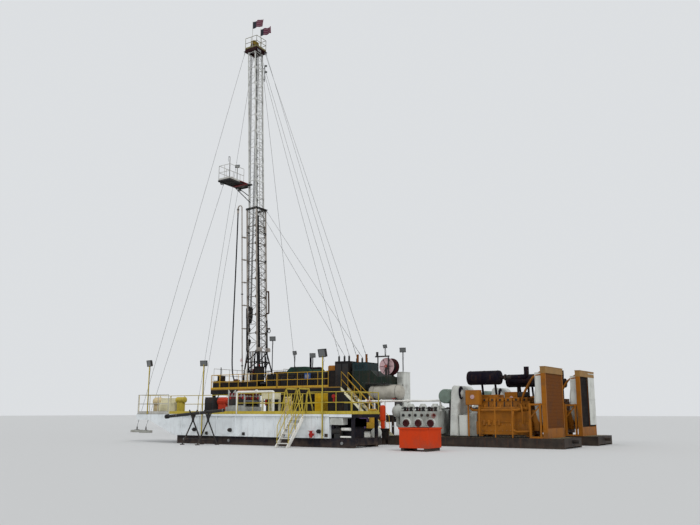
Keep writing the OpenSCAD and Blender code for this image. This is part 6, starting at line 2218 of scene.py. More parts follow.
@dataclass
class EngineHouse:
    """The dark housing between mast and gooseneck: doors, louvres, cover, exhausts and roof items.

    Attributes:
        roof: Height of the roof.
        front: Y of the near wall.
        door_w: Width of a small door.
    """

    roof: float = 4.25
    front: float = -1.3
    door_w: float = 0.52

    def build(self) -> None:
        """Builds the house and all that is fixed to it."""
        shape = Shape("house_body", Finishes.black_paint)
        r = self.roof
        shape.box((2.0, -1.3, 1.35), (5.2, 1.3, r))
        shape.box((5.2, -1.3, 1.35), (7.2, 1.3, r - 0.06))
        shape.box((5.23, -1.27, r - 0.06), (7.17, 1.27, r))
        shape.box((7.2, -1.2, 1.35), (7.99, 1.2, r + 0.12))
        for k in range(5):
            self._door(shape, 2.1 + 0.62 * k, self.door_w, 1.7, r - 0.15, k % 2 == 0)
        for x in (5.3, 6.25):
            self._door(shape, x, 0.85, 1.6, r - 0.2, True)
        shape.use(Finishes.dark_steel)
        for x in (2.0, 5.17, 7.12):
            shape.box((x, -1.345, 1.35), (x + 0.06, -1.3, r - 0.06))
        shape.box((2.0, -1.34, r - 0.1), (7.2, -1.3, r - 0.06))
        shape.box((2.0, -1.42, 1.35), (7.2, -1.3, 1.42))
        for k in range(4):
            shape.box((2.3 + 1.3 * k, -1.28, r), (2.33 + 1.3 * k, 1.28, r + 0.035))
        shape.use(Finishes.ochre)
        shape.box((7.26, -1.05, r + 0.12), (7.94, -0.35, r + 0.44))
        shape.box((7.3, -1.01, r + 0.44), (7.9, -0.39, r + 0.48))
        shape.lathe((7.26, -0.15, r + 0.24), RIGHT, [(0.1, 0), (0.129, 0.03), (0.129, 0.55), (0.1, 0.6)], 24)
        shape.box((7.3, 0.15, r + 0.12), (7.9, 0.9, r + 0.33))
        shape.use(Finishes.dark_steel)
        shape.box((2.3, -0.9, r), (3.3, -0.25, r + 0.2))
        shape.lathe((3.3, -0.575, r + 0.12), RIGHT, [(0.079, 0), (0.079, 0.05), (0.06, 0.058)], 20)
        shape.use(Finishes.blue).box((5.5, -1.44, r - 0.42), (6.0, -1.34, r - 0.02))
        shape.use(Finishes.bare_steel)
        for k in range(2):
            shape.box((5.56 + 0.2 * k, -1.447, r - 0.34), (5.7 + 0.2 * k, -1.44, r - 0.12))
        shape.finish(replaces=("engine_house",), edge=0.006)
        self._pipes()
        self._cover()
        self._exhausts()

    def _door(self, shape: Shape, x: float, wide: float, low: float, high: float, vent: bool) -> None:
        """Adds one door with its frame, hinges, latch and vent.

        Args:
            shape: The shape to add to.
            x: Left edge.
            wide: Width.
            low: Lower edge.
            high: Upper edge.
            vent: Whether it has louvres.
        """
        shape.use(Finishes.black_paint).box((x, self.front - 0.04, low), (x + wide, self.front, high))
        shape.use(Finishes.dark_steel)
        for x0, z0, x1, z1 in border(x + 0.03, low + 0.04, x + wide - 0.03, high - 0.04, 0.02):
            shape.box((x0, self.front - 0.048, z0), (x1, self.front - 0.04, z1))
        if vent:
            louvres(shape, x + 0.09, x + wide - 0.09, self.front - 0.04, high - 0.75, high - 0.15, 9)
        shape.use(Finishes.bare_steel)
        for z in (low + 0.25, high - 0.25):
            shape.tube((x + 0.012, self.front - 0.046, z - 0.05), (x + 0.012, self.front - 0.046, z + 0.05), 0.01, 8)
        shape.box(
            (x + wide - 0.1, self.front - 0.06, (low + high) / 2 - 0.015),
            (x + wide - 0.04, self.front - 0.04, (low + high) / 2 + 0.06)
        )

    def _pipes(self) -> None:
        """Builds pipes, valves and hoses along the near wall."""
        shape = Shape("house_pipes", Finishes.dark_steel)
        for k, (z, r) in enumerate(((1.55, 0.03), (1.47, 0.02))):
            shape.tube((2.05, -1.37 - 0.03 * k, z), (7.15, -1.37 - 0.03 * k, z), r, 10)
        for k in range(7):
            shape.box((2.3 + 0.72 * k, -1.42, 1.45), (2.34 + 0.72 * k, -1.3, 1.6))
        shape.use(Finishes.hose_black)
        for k, x in enumerate((3.02, 4.28, 6.2)):
            shape.hose(
                [(x, -1.34, 3.9), (x + 0.05, -1.45, 3.4), (x - 0.06, -1.44, 2.4), (x + 0.04, -1.4, 1.6)],
                0.15, 0.018, 8
            )
        shape.use(Finishes.motor_red)
        shape.lathe((2.06, -1.42, 2.0), UP, [(0.03, 0), (0.075, 0.03), (0.075, 0.42), (0.03, 0.48)], 16)
        shape.use(Finishes.bare_steel)
        shape.wheel((4.9, -1.43, 1.62), NEAR, 0.09)
        shape.finish(edge=0.002)

    def _cover(self) -> None:
        """Builds the green cover over the cooling fans."""
        shape = Shape("cover_panels", Finishes.cover_green)
        r = self.roof
        outline = [(3.38, r), (5.74, r), (5.23, r + 0.48), (3.92, r + 0.48)]
        shape.plate(outline, -0.985, 1.135)
        for y in (-1.0, 1.135):
            shape.plate(
                [
                    (3.38, r), (3.44, r), (3.96, r + 0.45), (5.19, r + 0.45),
                    (5.68, r), (5.74, r), (5.23, r + 0.48), (3.92, r + 0.48)
                ],
                y, y + 0.015
            )
        shape.use(Finishes.dark_steel)
        for y in (-0.55, -0.1, 0.35, 0.8):
            shape.box((3.93, y, r + 0.475), (5.22, y + 0.03, r + 0.479))
        for x in (4.1, 4.5, 4.9):
            shape.box((x, -0.999, r + 0.08), (x + 0.02, -0.985, r + 0.44))
        shape.finish(replaces=("house_cover",), edge=0.008)

    def _exhausts(self) -> None:
        """Builds the exhaust pipes on the roof and the rear stacks."""
        shape = Shape("roof_exhausts", Finishes.hot_black)
        r, y = self.roof, -1.12
        shape.hose([(6.75, y, r), (6.75, y, r + 0.22)], 9, 0.075, 18)
        shape.sweep(arc(Vector((6.65, y, r + 0.22)), RIGHT, UP, 0.1, 0, math.pi / 2, 8), 0.075, 18)
        shape.tube((5.9, y, r + 0.32), (6.65, y, r + 0.32), 0.078, 18)
        shape.sweep(arc(Vector((5.9, y, r + 0.42)), LEFT, DOWN, 0.1, 0, math.pi / 2, 8), 0.075, 18)
        shape.lathe(
            (5.8, y, r + 0.42), UP,
            [(0.075, 0), (0.075, 0.93), (0.08, 0.935), (0.08, 0.955), (0.066, 0.955), (0.066, 0.8)], 22
        )
        shape.flange((6.45, y, r + 0.32), RIGHT, 0.085, 0.02)
        shape.use(Finishes.rust_brown)
        for x in (9.62, 10.32):
            shape.lathe(
                (x, -0.9, 4.85), UP,
                [(0.074, 0), (0.074, 0.5), (0.08, 0.51), (0.08, 0.555), (0.066, 0.56), (0.066, 0.3)], 24
            )
            shape.ring((x, -0.9, 4.87), UP, 0.085, 0.012, 24, 6)
        shape.finish(replaces=("rig_exhausts",), edge=0)


@dataclass
class RearEnd:
    """What stands behind the house: guy post boxes, gooseneck body, reel, vessel and cabinet.

    Attributes:
        reel_x: Middle of the reel.
        reel_y: Middle of the reel across the rig.
        reel_z: Height of the reel's shaft.
        flange: Radius of a flange.
    """

    reel_x: float = 12.05
    reel_y: float = -0.8
    reel_z: float = 4.52
    flange: float = 0.56

    def build(self) -> None:
        """Builds every piece of the rear end."""
        self._boxes()
        self._body()
        self._reel()
        self._stand()
        self._vessel()
        self._cabinet()

    def _boxes(self) -> None:
        """Builds the tall boxes with the guy posts."""
        shape = Shape("tall_boxes", Finishes.black_paint)
        shape.box((8.0, -1.3, 1.35), (9.16, 1.3, 4.97))
        shape.use(Finishes.dark_steel)
        for x in (8.06, 8.62):
            shape.box((x, -1.325, 1.6), (x + 0.48, -1.3, 4.8))
            louvres(shape, x + 0.06, x + 0.42, -1.325, 3.2, 4.1, 12)
        for k in range(3):
            shape.box((7.99, -1.2, 4.55 + 0.12 * k), (8.0, 1.2, 4.58 + 0.12 * k))
        for s in (-1, 1):
            for x in (8.25, 8.7, 9.08):
                shape.box((x - 0.05, s * 1.15 - 0.05, 4.97), (x + 0.05, s * 1.15 + 0.05, 5.32))
        shape.use(Finishes.teal)
        shape.box((9.45, -1.3, 4.28), (10.5, 0.3, 4.82)).box((9.42, -1.33, 4.82), (10.53, 0.33, 4.85))
        louvres(shape, 9.55, 10.4, -1.3, 4.38, 4.74, 8)
        shape.finish(replaces=("rear_boxes",), edge=0.005)

    def _body(self) -> None:
        """Paints the gooseneck body and builds its ribs, bands and rivets."""
        paint_node(Finishes.body_green, "gooseneck_body")
        shape = Shape("body_ribs", Finishes.dark_steel)
        for x in (9.5, 10.0, 10.8, 11.2, 11.7, 12.2):
            top = 4.26 if x < 10.8 else (4.26 - (x - 10.8) * 0.9 if x < 11.3 else 3.83)
            low = 3.12 if x < 10.4 else 3.38
            shape.box((x, -1.312, low), (x + 0.05, -1.3, top))
        shape.box((9.4, -1.32, 3.1), (10.4, -1.3, 3.13))
        shape.box((10.45, -1.32, 3.36), (12.3, -1.3, 3.4))
        shape.use(Finishes.bare_steel)
        for k in range(18):
            shape.lathe((9.48 + 0.16 * k, -1.3, 3.46), NEAR, [(0.012, 0), (0.011, 0.006)], 6)
        shape.finish(edge=0.002)

    def _reel(self) -> None:
        """Builds the reel with its flanges, spokes and wound hose."""
        x, y, z, r = self.reel_x, self.reel_y, self.reel_z, self.flange
        shape = Shape("reel_flanges", Finishes.hose_black)
        shape.lathe((x, y - 0.34, z), FAR, [(0.06, 0), (0.27, 0.0), (0.27, 0.68), (0.06, 0.68)], 40)
        for k in range(9):
            shape.ring((x, y - 0.31 + 0.0775 * k, z), FAR, 0.305, 0.031, 40, 8)
        for s in (-1, 1):
            shape.use(Finishes.pink_white if s < 0 else Finishes.maroon)
            at = (x, y + s * 0.34, z)
            shape.lathe(
                at, (0, s, 0),
                [
                    (0.34, 0.0), (r - 0.02, 0.0), (r, 0.008), (r, 0.024),
                    (r - 0.03, 0.03), (r - 0.05, 0.018), (0.34, 0.018)
                ],
                48
            )
            shape.lathe(at, (0, s, 0), [(0.045, -0.01), (0.36, 0.0), (0.34, 0.012), (0.045, 0.03)], 40)
        shape.use(Finishes.maroon)
        for s in (-1, 1):
            for k in range(6):
                a = math.tau * k / 6
                shape.bar(
                    (x + 0.05 * math.cos(a), y + s * 0.367, z + 0.05 * math.sin(a)),
                    (x + (r - 0.05) * math.cos(a), y + s * 0.361, z + (r - 0.05) * math.sin(a)), 0.045, 0.018
                )
        shape.use(Finishes.bare_steel).tube((x, y - 0.51, z), (x, y + 0.51, z), 0.04, 20)
        shape.finish(Body.REEL, ("hose_reel",), edge=0.002)

    def _stand(self) -> None:
        """Paints the stand and builds its bearings and bolts."""
        paint_node(Finishes.dark_steel, "reel_stand")
        x, y, z = self.reel_x, self.reel_y, self.reel_z
        shape = Shape("stand_bearings", Finishes.motor_red)
        for s in (-1, 1):
            at = (x, y + s * 0.479, z)
            shape.lathe(at, (0, s, 0), [(0.085, 0), (0.085, 0.02), (0.07, 0.03), (0.045, 0.03), (0.045, 0.0)], 20)
        shape.use(Finishes.bare_steel)
        for s in (-1, 1):
            shape.bolts((x, y + s * 0.485, z - 0.02), (0, s, 0), 0.11, 4, 0.02)
        shape.finish(edge=0.001)

    def _vessel(self) -> None:
        """Builds the air vessel with domed ends, bands and valves."""
        shape = Shape("vessel_shell", Finishes.vessel_grey)
        start, length, r = (10.6, -0.9, 2.83), 2.55, 0.489
        dome = [(0.02, 0.0), (0.2, 0.02), (0.36, 0.08), (0.45, 0.17), (r, 0.3)]
        profile = dome + [(r, length - 0.3)] + [(a, length - b) for a, b in reversed(dome[:-1])]
        shape.lathe(start, RIGHT, profile, 48)
        shape.use(Finishes.dark_steel)
        for x in (11.05, 12.7):
            shape.ring((x + 0.06, -0.9, 2.83), RIGHT, r + 0.002, 0.012, 48, 6)
            shape.box((x, -1.3, 1.35), (x + 0.12, -0.5, 2.45))
            shape.box((x - 0.04, -1.36, 1.35), (x + 0.16, -0.44, 1.39))
        shape.use(Finishes.valve_red).tube((11.7, -0.9, 3.31), (11.7, -0.9, 3.4), 0.03, 12)
        shape.use(Finishes.bare_steel)
        shape.bolts((10.602, -0.9, 2.83), LEFT, 0.1, 8, 0.02)
        shape.finish(replaces=("air_vessel",), edge=0.003)

    def _cabinet(self) -> None:
        """Builds the control cabinet with doors, vents and handle."""
        shape = Shape("cabinet_case", Finishes.pale_grey)
        shape.box((12.35, -0.3, 1.35), (12.85, 0.6, 4.13)).box((12.33, -0.32, 4.13), (12.87, 0.62, 4.18))
        for z0, z1 in ((1.45, 2.7), (2.76, 4.05)):
            shape.box((12.38, -0.312, z0), (12.82, -0.3, z1))
            shape.box((12.85, -0.26, z0), (12.862, 0.56, z1))
        louvres(shape, 12.44, 12.76, -0.312, 3.5, 3.9, 7)
        shape.use(Finishes.dark_steel)
        for z in (2.0, 3.2):
            shape.box((12.76, -0.33, z), (12.79, -0.312, z + 0.16))
        shape.finish(replaces=("control_cabinet",), edge=0.004)


# ---------------------------------------------------------------- lamps


@dataclass
class LampPoles:
    """Floodlights on poles at the tank and on the rig.

    Attributes:
        radius: Radius of a pole.
        spots: X, Y, foot, top and width of the head of each lamp.
    """

    radius: float = 0.03
    spots: tuple[tuple[float, float, float, float, float], ...] = (
        (6.4, -16.53, 1.45, 4.18, 0.36), (10.4, -16.59, 0.4, 4.03, 0.3),
        (17.7, -16.59, 0.4, 4.27, 0.4), (2.3, -1.1, 4.25, 6.95, 0.36),
        (4.4, -1.15, 4.25, 5.8, 0.3), (6.05, -1.23, 4.25, 5.56, 0.34),
        (11.99, -1.24, 5.22, 5.9, 0.26), (12.56, 0.15, 4.18, 5.75, 0.34),
    )

    def build(self) -> None:
        """Builds every pole with its head."""
        shape = Shape("lamp_heads", Finishes.rail_grey)
        for index, (x, y, low, top, size) in enumerate(self.spots):
            reach = top - size * 0.42
            shape.use(Finishes.pale_yellow if index < 3 else Finishes.dark_steel)
            shape.tube((x, y, low), (x, y, reach), self.radius * 0.95, 12)
            for k in range(2 if index in (1, 2) else 0):
                shape.ring((x, y, low + 0.35 + 0.75 * k), UP, self.radius + 0.004, 0.008, 16, 6)
            shape.ball((x, y, reach), self.radius * 1.1, 1.0, UP, 12)
            Floodlight(size, 12, 20 if index % 2 else -15).build(
                shape, (x, y, reach + size * 0.17), Finishes.dark_steel
            )
            shape.use(Finishes.hose_black)
            shape.hose(
                [
                    (x + self.radius, y, reach - 0.02), (x + self.radius + 0.05, y, reach - 0.3),
                    (x + self.radius + 0.008, y, reach - 0.6), (x + self.radius + 0.008, y, low + 0.1)
                ],
                0.12, 0.009, 6
            )
        shape.finish(replaces=("lamp_poles",), edge=0.002)


# ---------------------------------------------------------------- mud tank


@dataclass
class MudTank:
    """The mud tank with its deck, rails, shaker, mixers, fittings and ladder.

    Attributes:
        x0: Left end of the deck.
        x1: Right end of the wall.
        low: Underside of the tank.
        hatches: Left edge of each hatch.
    """

    x0: float = 5.6
    x1: float = 18.0
    low: float = 0.4
    hatches: tuple[float, ...] = (8.9, 13.15, 16.12)

    def build(self) -> None:
        """Builds the tank and its machines."""
        paint_node(Finishes.tank_white, "tank_shell")
        paint_node(Finishes.tank_deck, "tank_deck")
        self._wall()
        self._skid()
        self._rails()
        self._shaker()
        self._mixers()
        self._fittings()
        self._ladder()

    def _wall(self) -> None:
        """Builds the pressed ribs, the rim and the lids beside the hatches."""
        shape = Shape("tank_ribs", Finishes.tank_white)
        y = TANK_Y0
        for x in (10.6, 12.9, 15.2):
            shape.box((x, y - 0.0445, self.low + 0.01), (x + 0.035, y - 0.04, TANK_TOP - 0.1))
        shape.box((self.x1 + 0.002, y - 0.006, TANK_TOP - 0.13), (self.x1 + 1.2, y, TANK_TOP - 0.004))
        shape.box((8.1, y - 0.066, TANK_TOP - 0.095), (self.x1, y - 0.06, TANK_TOP - 0.005))
        shape.use(Finishes.dark_steel)
        for x in (10.6, 13.0, 15.4, 17.8):
            shape.box((x, y - 0.05, 0.46), (x + 0.14, y - 0.001, 0.6))
        shape.use(Finishes.tank_deck)
        for x in self.hatches:
            for x0, y0, x1, y1 in border(x - 0.03, -15.03, x + 0.58, -14.42, 0.03):
                shape.box((x0, y0, TANK_TOP), (x1, y1, TANK_TOP + 0.05))
        shape.use(Finishes.bare_steel)
        for x in self.hatches:
            for k in range(5):
                shape.tube(
                    (x + 0.09 + 0.09 * k, -15.0, TANK_TOP - 0.006),
                    (x + 0.09 + 0.09 * k, -14.45, TANK_TOP - 0.006), 0.006, 6
                )
        shape.use(Finishes.black_paint)
        shape.plate([(5.545, 1.23), (5.60, 1.23), (5.60, 1.42), (5.545, 1.42)], TANK_Y0 + 0.02, TANK_Y1 - 0.02)
        shape.finish(edge=0.003)

    def _skid(self) -> None:
        """Paints the skid and builds the pump bay's details."""
        paint_node(Finishes.skid_navy, "tank_skid")
        shape = Shape("skid_bay", Finishes.pump_grey)
        shape.box((18.25, -16.05, 0.9), (18.95, -14.85, 1.25))
        shape.use(Finishes.pale_grey).box((18.05, -16.47, 0.99), (18.72, -16.06, 1.3))
        louvres(shape, 18.1, 18.67, -16.47, 1.03, 1.27, 5)
        shape.use(Finishes.walkway).box((18.02, -16.48, 1.45), (19.18, -14.12, 1.456))
        shape.use(Finishes.dark_steel)
        shape.lathe((18.05, -16.2, 0.72), RIGHT, [(0.08, 0), (0.17, 0.03), (0.17, 0.4), (0.1, 0.45)], 24)
        shape.box((18.05, -16.35, 0.4), (18.5, -16.05, 0.6))
        shape.lathe((18.28, -16.2, 0.86), UP, [(0.07, 0), (0.07, 0.1), (0.03, 0.12)], 16)
        shape.use(Finishes.pipe_white)
        shape.tube((18.48, -16.2, 0.8), (19.05, -16.2, 0.8), 0.07, 18)
        shape.tube((18.06, -16.3, 0.47), (19.1, -16.3, 0.47), 0.04, 14)
        shape.use(Finishes.bare_steel)
        shape.flange((18.3, -15.4, 0.62), FAR, 0.14, 0.03)
        for x in (9.0, 12.0, 15.0, 18.6):
            shape.tube((x, TANK_Y0 + 0.12, 0.2), (x, TANK_Y0 + 0.155, 0.2), 0.07, 16)
        shape.finish(edge=0.006)

    def _rails(self) -> None:
        """Builds the tank's grey and yellow handrails with their toe strips."""
        shape = Shape("tank_handrails", Finishes.rail_grey)
        rail = Handrail(1.0, 0.017, 0.14, 1.05)
        near, far, z = TANK_Y0 + 0.022, TANK_Y1 - 0.022, TANK_TOP
        rail.build(shape, [(self.x0 + 0.02, near, z), (7.88, near, z)])
        shape.use(Finishes.pale_yellow)
        rail.build(shape, [(12.62, near, z), (15.48, near, z)])
        rail.build(shape, [(16.77, near, z), (19.16, near, z)])
        rail.build(shape, [(self.x0 + 0.02, far, z), (19.16, far, z)])
        rail.build(shape, [(self.x0 + 0.02, near + 0.06, z), (self.x0 + 0.02, far - 0.06, z)])
        rail.build(shape, [(19.17, near + 0.06, z), (19.17, far - 0.06, z)])
        for x0, x1 in ((8.0, 12.5), (15.6, 16.65)):
            shape.box((x0, near - 0.006, z), (x1, near + 0.002, z + 0.14))
            shape.box((x0, near, z + 0.13), (x1, near + 0.02, z + 0.14))
        shape.finish(replaces=("tank_rails",), edge=0)

    def _shaker(self) -> None:
        """Builds the shaker, its feed box, its motor and the pipe behind."""
        shape = Shape("shaker_deck", Finishes.pump_grey, (0, TANK_Y0, TANK_TOP))
        shape.box((11.45, 0.45, 0), (12.75, 1.75, 0.35))
        side = [
            (11.55, 0.35), (12.65, 0.35), (12.65, 0.85), (12.45, 1.11),
            (12.25, 0.85), (12.0, 1.17), (11.75, 0.93), (11.55, 1.19)
        ]
        inner = [(11.62, 0.42), (12.58, 0.42), (12.58, 0.8), (11.62, 0.86)]
        for k in (0.5, 1.65):
            shape.use(Finishes.pump_grey).plate(side, k, k + 0.05)
            shape.use(Finishes.dark_steel).plate(inner, k - 0.006, k)
            for j in range(5):
                for z0 in (0.72, 0.9):
                    shape.use(Finishes.dark_red if z0 > 0.8 or j % 2 else Finishes.valve_red)
                    shape.box((11.66 + 0.2 * j, k - 0.02, z0), (11.78 + 0.2 * j, k - 0.004, z0 + 0.13))
        shape.use(Finishes.bare_steel).box((11.6, 0.55, 0.6), (12.65, 1.65, 0.62))
        for k in range(6):
            shape.box((11.62 + 0.18 * k, 0.55, 0.62), (11.64 + 0.18 * k, 1.65, 0.66))
        shape.use(Finishes.ochre_dark)
        shape.lathe((12.2, 0.55, 1.05), FAR, [(0.1, 0), (0.129, 0.02), (0.129, 1.08), (0.1, 1.1)], 28)
        for k in range(7):
            shape.ring((12.2, 0.66 + 0.14 * k, 1.05), FAR, 0.126, 0.008, 24, 6)
        shape.use(Finishes.dark_steel)
        for x in (11.65, 12.55):
            for k in (0.55, 1.5):
                shape.lathe(
                    (x + 0.03, k + 0.08, 0.35), UP,
                    [(0.05, 0), (0.06, 0.04), (0.05, 0.08), (0.06, 0.12), (0.05, 0.16), (0.06, 0.2), (0.05, 0.25)], 14
                )
        shape.box((9.65, 0.85, 0), (10.25, 1.55, 0.75)).box((9.66, 0.86, 0.75), (10.24, 1.54, 0.84))
        louvres(shape, 9.72, 10.18, 0.85, 0.15, 0.6, 7)
        shape.use(Finishes.motor_red)
        shape.lathe(
            (10.33, 1.2, 0.63), RIGHT,
            [(0.1, 0), (0.19, 0.02), (0.2, 0.06), (0.2, 0.5), (0.17, 0.52), (0.17, 0.62), (0.1, 0.64)], 32
        )
        for k in range(12):
            a = math.tau * k / 12
            shape.box(
                (0.02, -0.006, 0.195), (0.44, 0.006, 0.212),
                Matrix.Translation((10.36, 1.2, 0.63)) @ Matrix.Rotation(a, 4, "X")
            )
        shape.box((10.4, 1.05, 0), (10.9, 1.35, 0.5))
        shape.use(Finishes.pipe_white)
        py, top, bend = 0.25, 1.057, 0.08
        for x, s in ((12.37, 1), (14.64, -1)):
            shape.tube((x, py, 0), (x, py, top - bend), 0.053, 16)
            shape.sweep(
                arc(Vector((x + s * bend, py, top - bend)), Vector((-s, 0, 0)), UP, bend, 0, math.pi / 2, 8),
                0.053, 16
            )
            shape.flange((x, py, 0.01), UP, 0.1, 0.02)
        shape.tube((12.37 + bend, py, top), (14.64 - bend, py, top), 0.053, 16)
        shape.flange((13.6, py, top), RIGHT, 0.1, 0.024)
        shape.finish(replaces=("shale_shaker",), edge=0.005)

    def _mixers(self) -> None:
        """Builds the mixers with ribbed motors and fan hoods."""
        shape = Shape("mixer_motors", Finishes.buff, (0, TANK_Y0, TANK_TOP))
        for x, y in ((9.9, 2.02), (14.25, 1.9), (17.0, 1.9)):
            shape.use(Finishes.buff).box((x - 0.3, y - 0.3, 0), (x + 0.3, y + 0.3, 0.09))
            shape.lathe(
                (x, y, 0.09), UP,
                [
                    (0.26, 0), (0.26, 0.03), (0.2, 0.24), (0.2, 0.26), (0.168, 0.265), (0.168, 0.66),
                    (0.155, 0.68), (0.195, 0.682), (0.195, 0.7), (0.17, 0.74), (0.05, 0.742)
                ],
                32
            )
            for k in range(20):
                a = math.tau * k / 20
                shape.box(
                    (0.165, -0.005, 0.37), (0.176, 0.005, 0.74),
                    Matrix.Translation((x, y, 0)) @ Matrix.Rotation(a, 4, "Z")
                )
            shape.box((x + 0.16, y - 0.07, 0.45), (x + 0.25, y + 0.07, 0.62))
            shape.use(Finishes.bare_steel).bolts((x, y, 0.09), UP, 0.28, 8, 0.026)
        shape.finish(replaces=("tank_mixers",), edge=0.004)

    def _fittings(self) -> None:
        """Builds the boxes, frames, motors and valves on and beside the tank."""
        shape = Shape("tank_items", Finishes.cream, (0, TANK_Y0, TANK_TOP))
        for x in (13.7, 14.3):
            for k in (0.5, 1.05):
                shape.box((x, k, 0), (x + 0.08, k + 0.08, 0.7))
        shape.box((13.7, 0.5, 0.7), (14.38, 1.13, 1.0)).box((13.7, 0.5, 1.0), (14.38, 1.13, 1.03))
        for k in range(3):
            shape.box((13.76 + 0.21 * k, 0.494, 0.75), (13.92 + 0.21 * k, 0.5, 0.96))
        shape.box((6.37, 0.8, 0), (7.18, 1.5, 0.6)).box((6.45, 0.85, 0.6), (7.1, 1.45, 0.83))
        louvres(shape, 6.48, 7.08, 0.8, 0.1, 0.5, 6)
        shape.use(Finishes.pale_yellow)
        for x in (14.7, 15.45):
            for k in (0.7, 1.5):
                shape.plate(
                    [
                        (x, 0), (x + 0.06, 0), (x + 0.32, 1.15), (x + 0.58, 0),
                        (x + 0.64, 0), (x + 0.34, 1.22), (x + 0.3, 1.22)
                    ],
                    k, k + 0.04
                )
                shape.bar((x + 0.13, k + 0.02, 0.5), (x + 0.51, k + 0.02, 0.5), 0.035)
            shape.box((x + 0.29, 0.7, 1.15), (x + 0.35, 1.54, 1.22))
        shape.use(Finishes.box_yellow)
        shape.box((16.65, 0.8, 0), (17.06, 1.3, 0.9)).box((16.65, 0.8, 0.9), (17.06, 1.3, 0.95))
        louvres(shape, 16.71, 17.0, 0.8, 0.3, 0.8, 7)
        shape.use(Finishes.pale_yellow)
        shape.lathe((7.35, 1.15, 0.73), RIGHT, [(0.08, 0), (0.15, 0.03), (0.15, 0.59), (0.08, 0.62)], 28)
        shape.box((7.45, 1.05, 0), (7.85, 1.25, 0.6))
        shape.use(Finishes.buff)
        shape.lathe(
            (5.65, 1.2, 0.65), RIGHT,
            [(0.12, 0), (0.22, 0.02), (0.23, 0.08), (0.23, 0.4), (0.19, 0.42), (0.19, 0.54), (0.1, 0.56)], 32
        )
        shape.box((5.7, 1.02, 0), (6.15, 1.38, 0.45))
        shape.use(Finishes.black_paint)
        shape.box((17.45, 0.7, 0), (17.95, 1.3, 0.97))
        shape.box((17.45, 0.7, 0.97), (17.95, 1.3, 1.0))
        shape.box((17.5, 0.69, 0.1), (17.9, 0.7, 0.9))
        shape.use(Finishes.valve_red)
        shape.lathe((17.8, 0.68, 0.8), NEAR, [(0.09, 0), (0.09, 0.05), (0.03, 0.06)], 18)
        shape.box((17.76, 0.66, 0.55), (17.84, 0.69, 0.75))
        shape.use(Finishes.dark_steel)
        for x in (9.9, 12.25, 17.5):
            shape.lathe((x, 0, -0.75), NEAR, [(0.055, 0), (0.055, 0.2), (0.04, 0.22)], 22)
            shape.flange((x, -0.05, -0.75), FAR, 0.09, 0.024)
            shape.flange((x, -0.115, -0.75), FAR, 0.09, 0.024)
        shape.use(Finishes.valve_red)
        shape.lathe((17.14, 0, -0.89), NEAR, [(0.058, 0), (0.058, 0.26), (0.04, 0.26)], 22)
        shape.lathe((17.14, -0.17, -1.03), UP, [(0.05, 0), (0.07, 0.02), (0.07, 0.26), (0.045, 0.3)], 22)
        shape.wheel((17.14, -0.17, -0.735), UP, 0.12)
        shape.finish(replaces=("tank_fittings",), edge=0.005)

    def _ladder(self) -> None:
        """Builds the ladder with its channel sides, steps and rails."""
        shape = Shape("ladder_flight", Finishes.pipe_white)
        x0, wide, foot, top = 15.98, 0.68, TANK_Y0 - 1.3, TANK_Y0 - 0.0603
        run = top - foot
        for x in (x0, x0 + wide - 0.05):
            side = [(foot, 0), (foot + 0.19, 0), (top, TANK_TOP - 0.22), (top, TANK_TOP)]
            web = [(foot + 0.03, 0.01), (foot + 0.17, 0.01), (top, TANK_TOP - 0.2), (top, TANK_TOP - 0.02)]
            turn = Matrix(((0, 1, 0, 0), (1, 0, 0, 0), (0, 0, 1, 0), (0, 0, 0, 1)))
            shape.plate(web, x + 0.018, x + 0.032, turn)
            for a, b in ((side[0], side[3]), (side[1], side[2])):
                shape.bar((x + 0.025, a[0], a[1] + 0.012), (x + 0.025, b[0], b[1] - 0.012), 0.05, 0.022)
        shape.use(Finishes.tread)
        for i in range(1, 7):
            y, z = foot + run * i / 7, TANK_TOP * i / 7
            shape.box((x0 + 0.045, y - 0.02, z - 0.035), (x0 + wide - 0.045, y + 0.17, z))
            shape.use(Finishes.pipe_white)
            shape.box((x0 + 0.045, y - 0.024, z - 0.04), (x0 + wide - 0.045, y - 0.016, z + 0.002))
            shape.use(Finishes.tread)
        shape.use(Finishes.pale_yellow)
        for x in (x0 + 0.025, x0 + wide - 0.025):
            for low in (0.45, 0.95):
                shape.tube((x, foot + 0.15, low), (x, top - 0.07, low + TANK_TOP - 0.05), 0.017, 10)
            for k in (0.0, 0.5, 1.0):
                y = foot + 0.15 + (run - 0.22) * k
                shape.tube((x, y, 0.12 + (TANK_TOP - 0.3) * k), (x, y, 0.955 + (TANK_TOP - 0.05) * k), 0.018, 10)
            for k in (0.25, 0.75):
                y = foot + 0.15 + (run - 0.22) * k
                shape.tube((x, y, 0.14 + (TANK_TOP - 0.27) * k), (x, y, 0.95 + (TANK_TOP - 0.05) * k), 0.01, 8)
        shape.finish(replaces=("tank_ladder",), edge=0.003)


# ---------------------------------------------------------------- pump sets, manifold and yard items


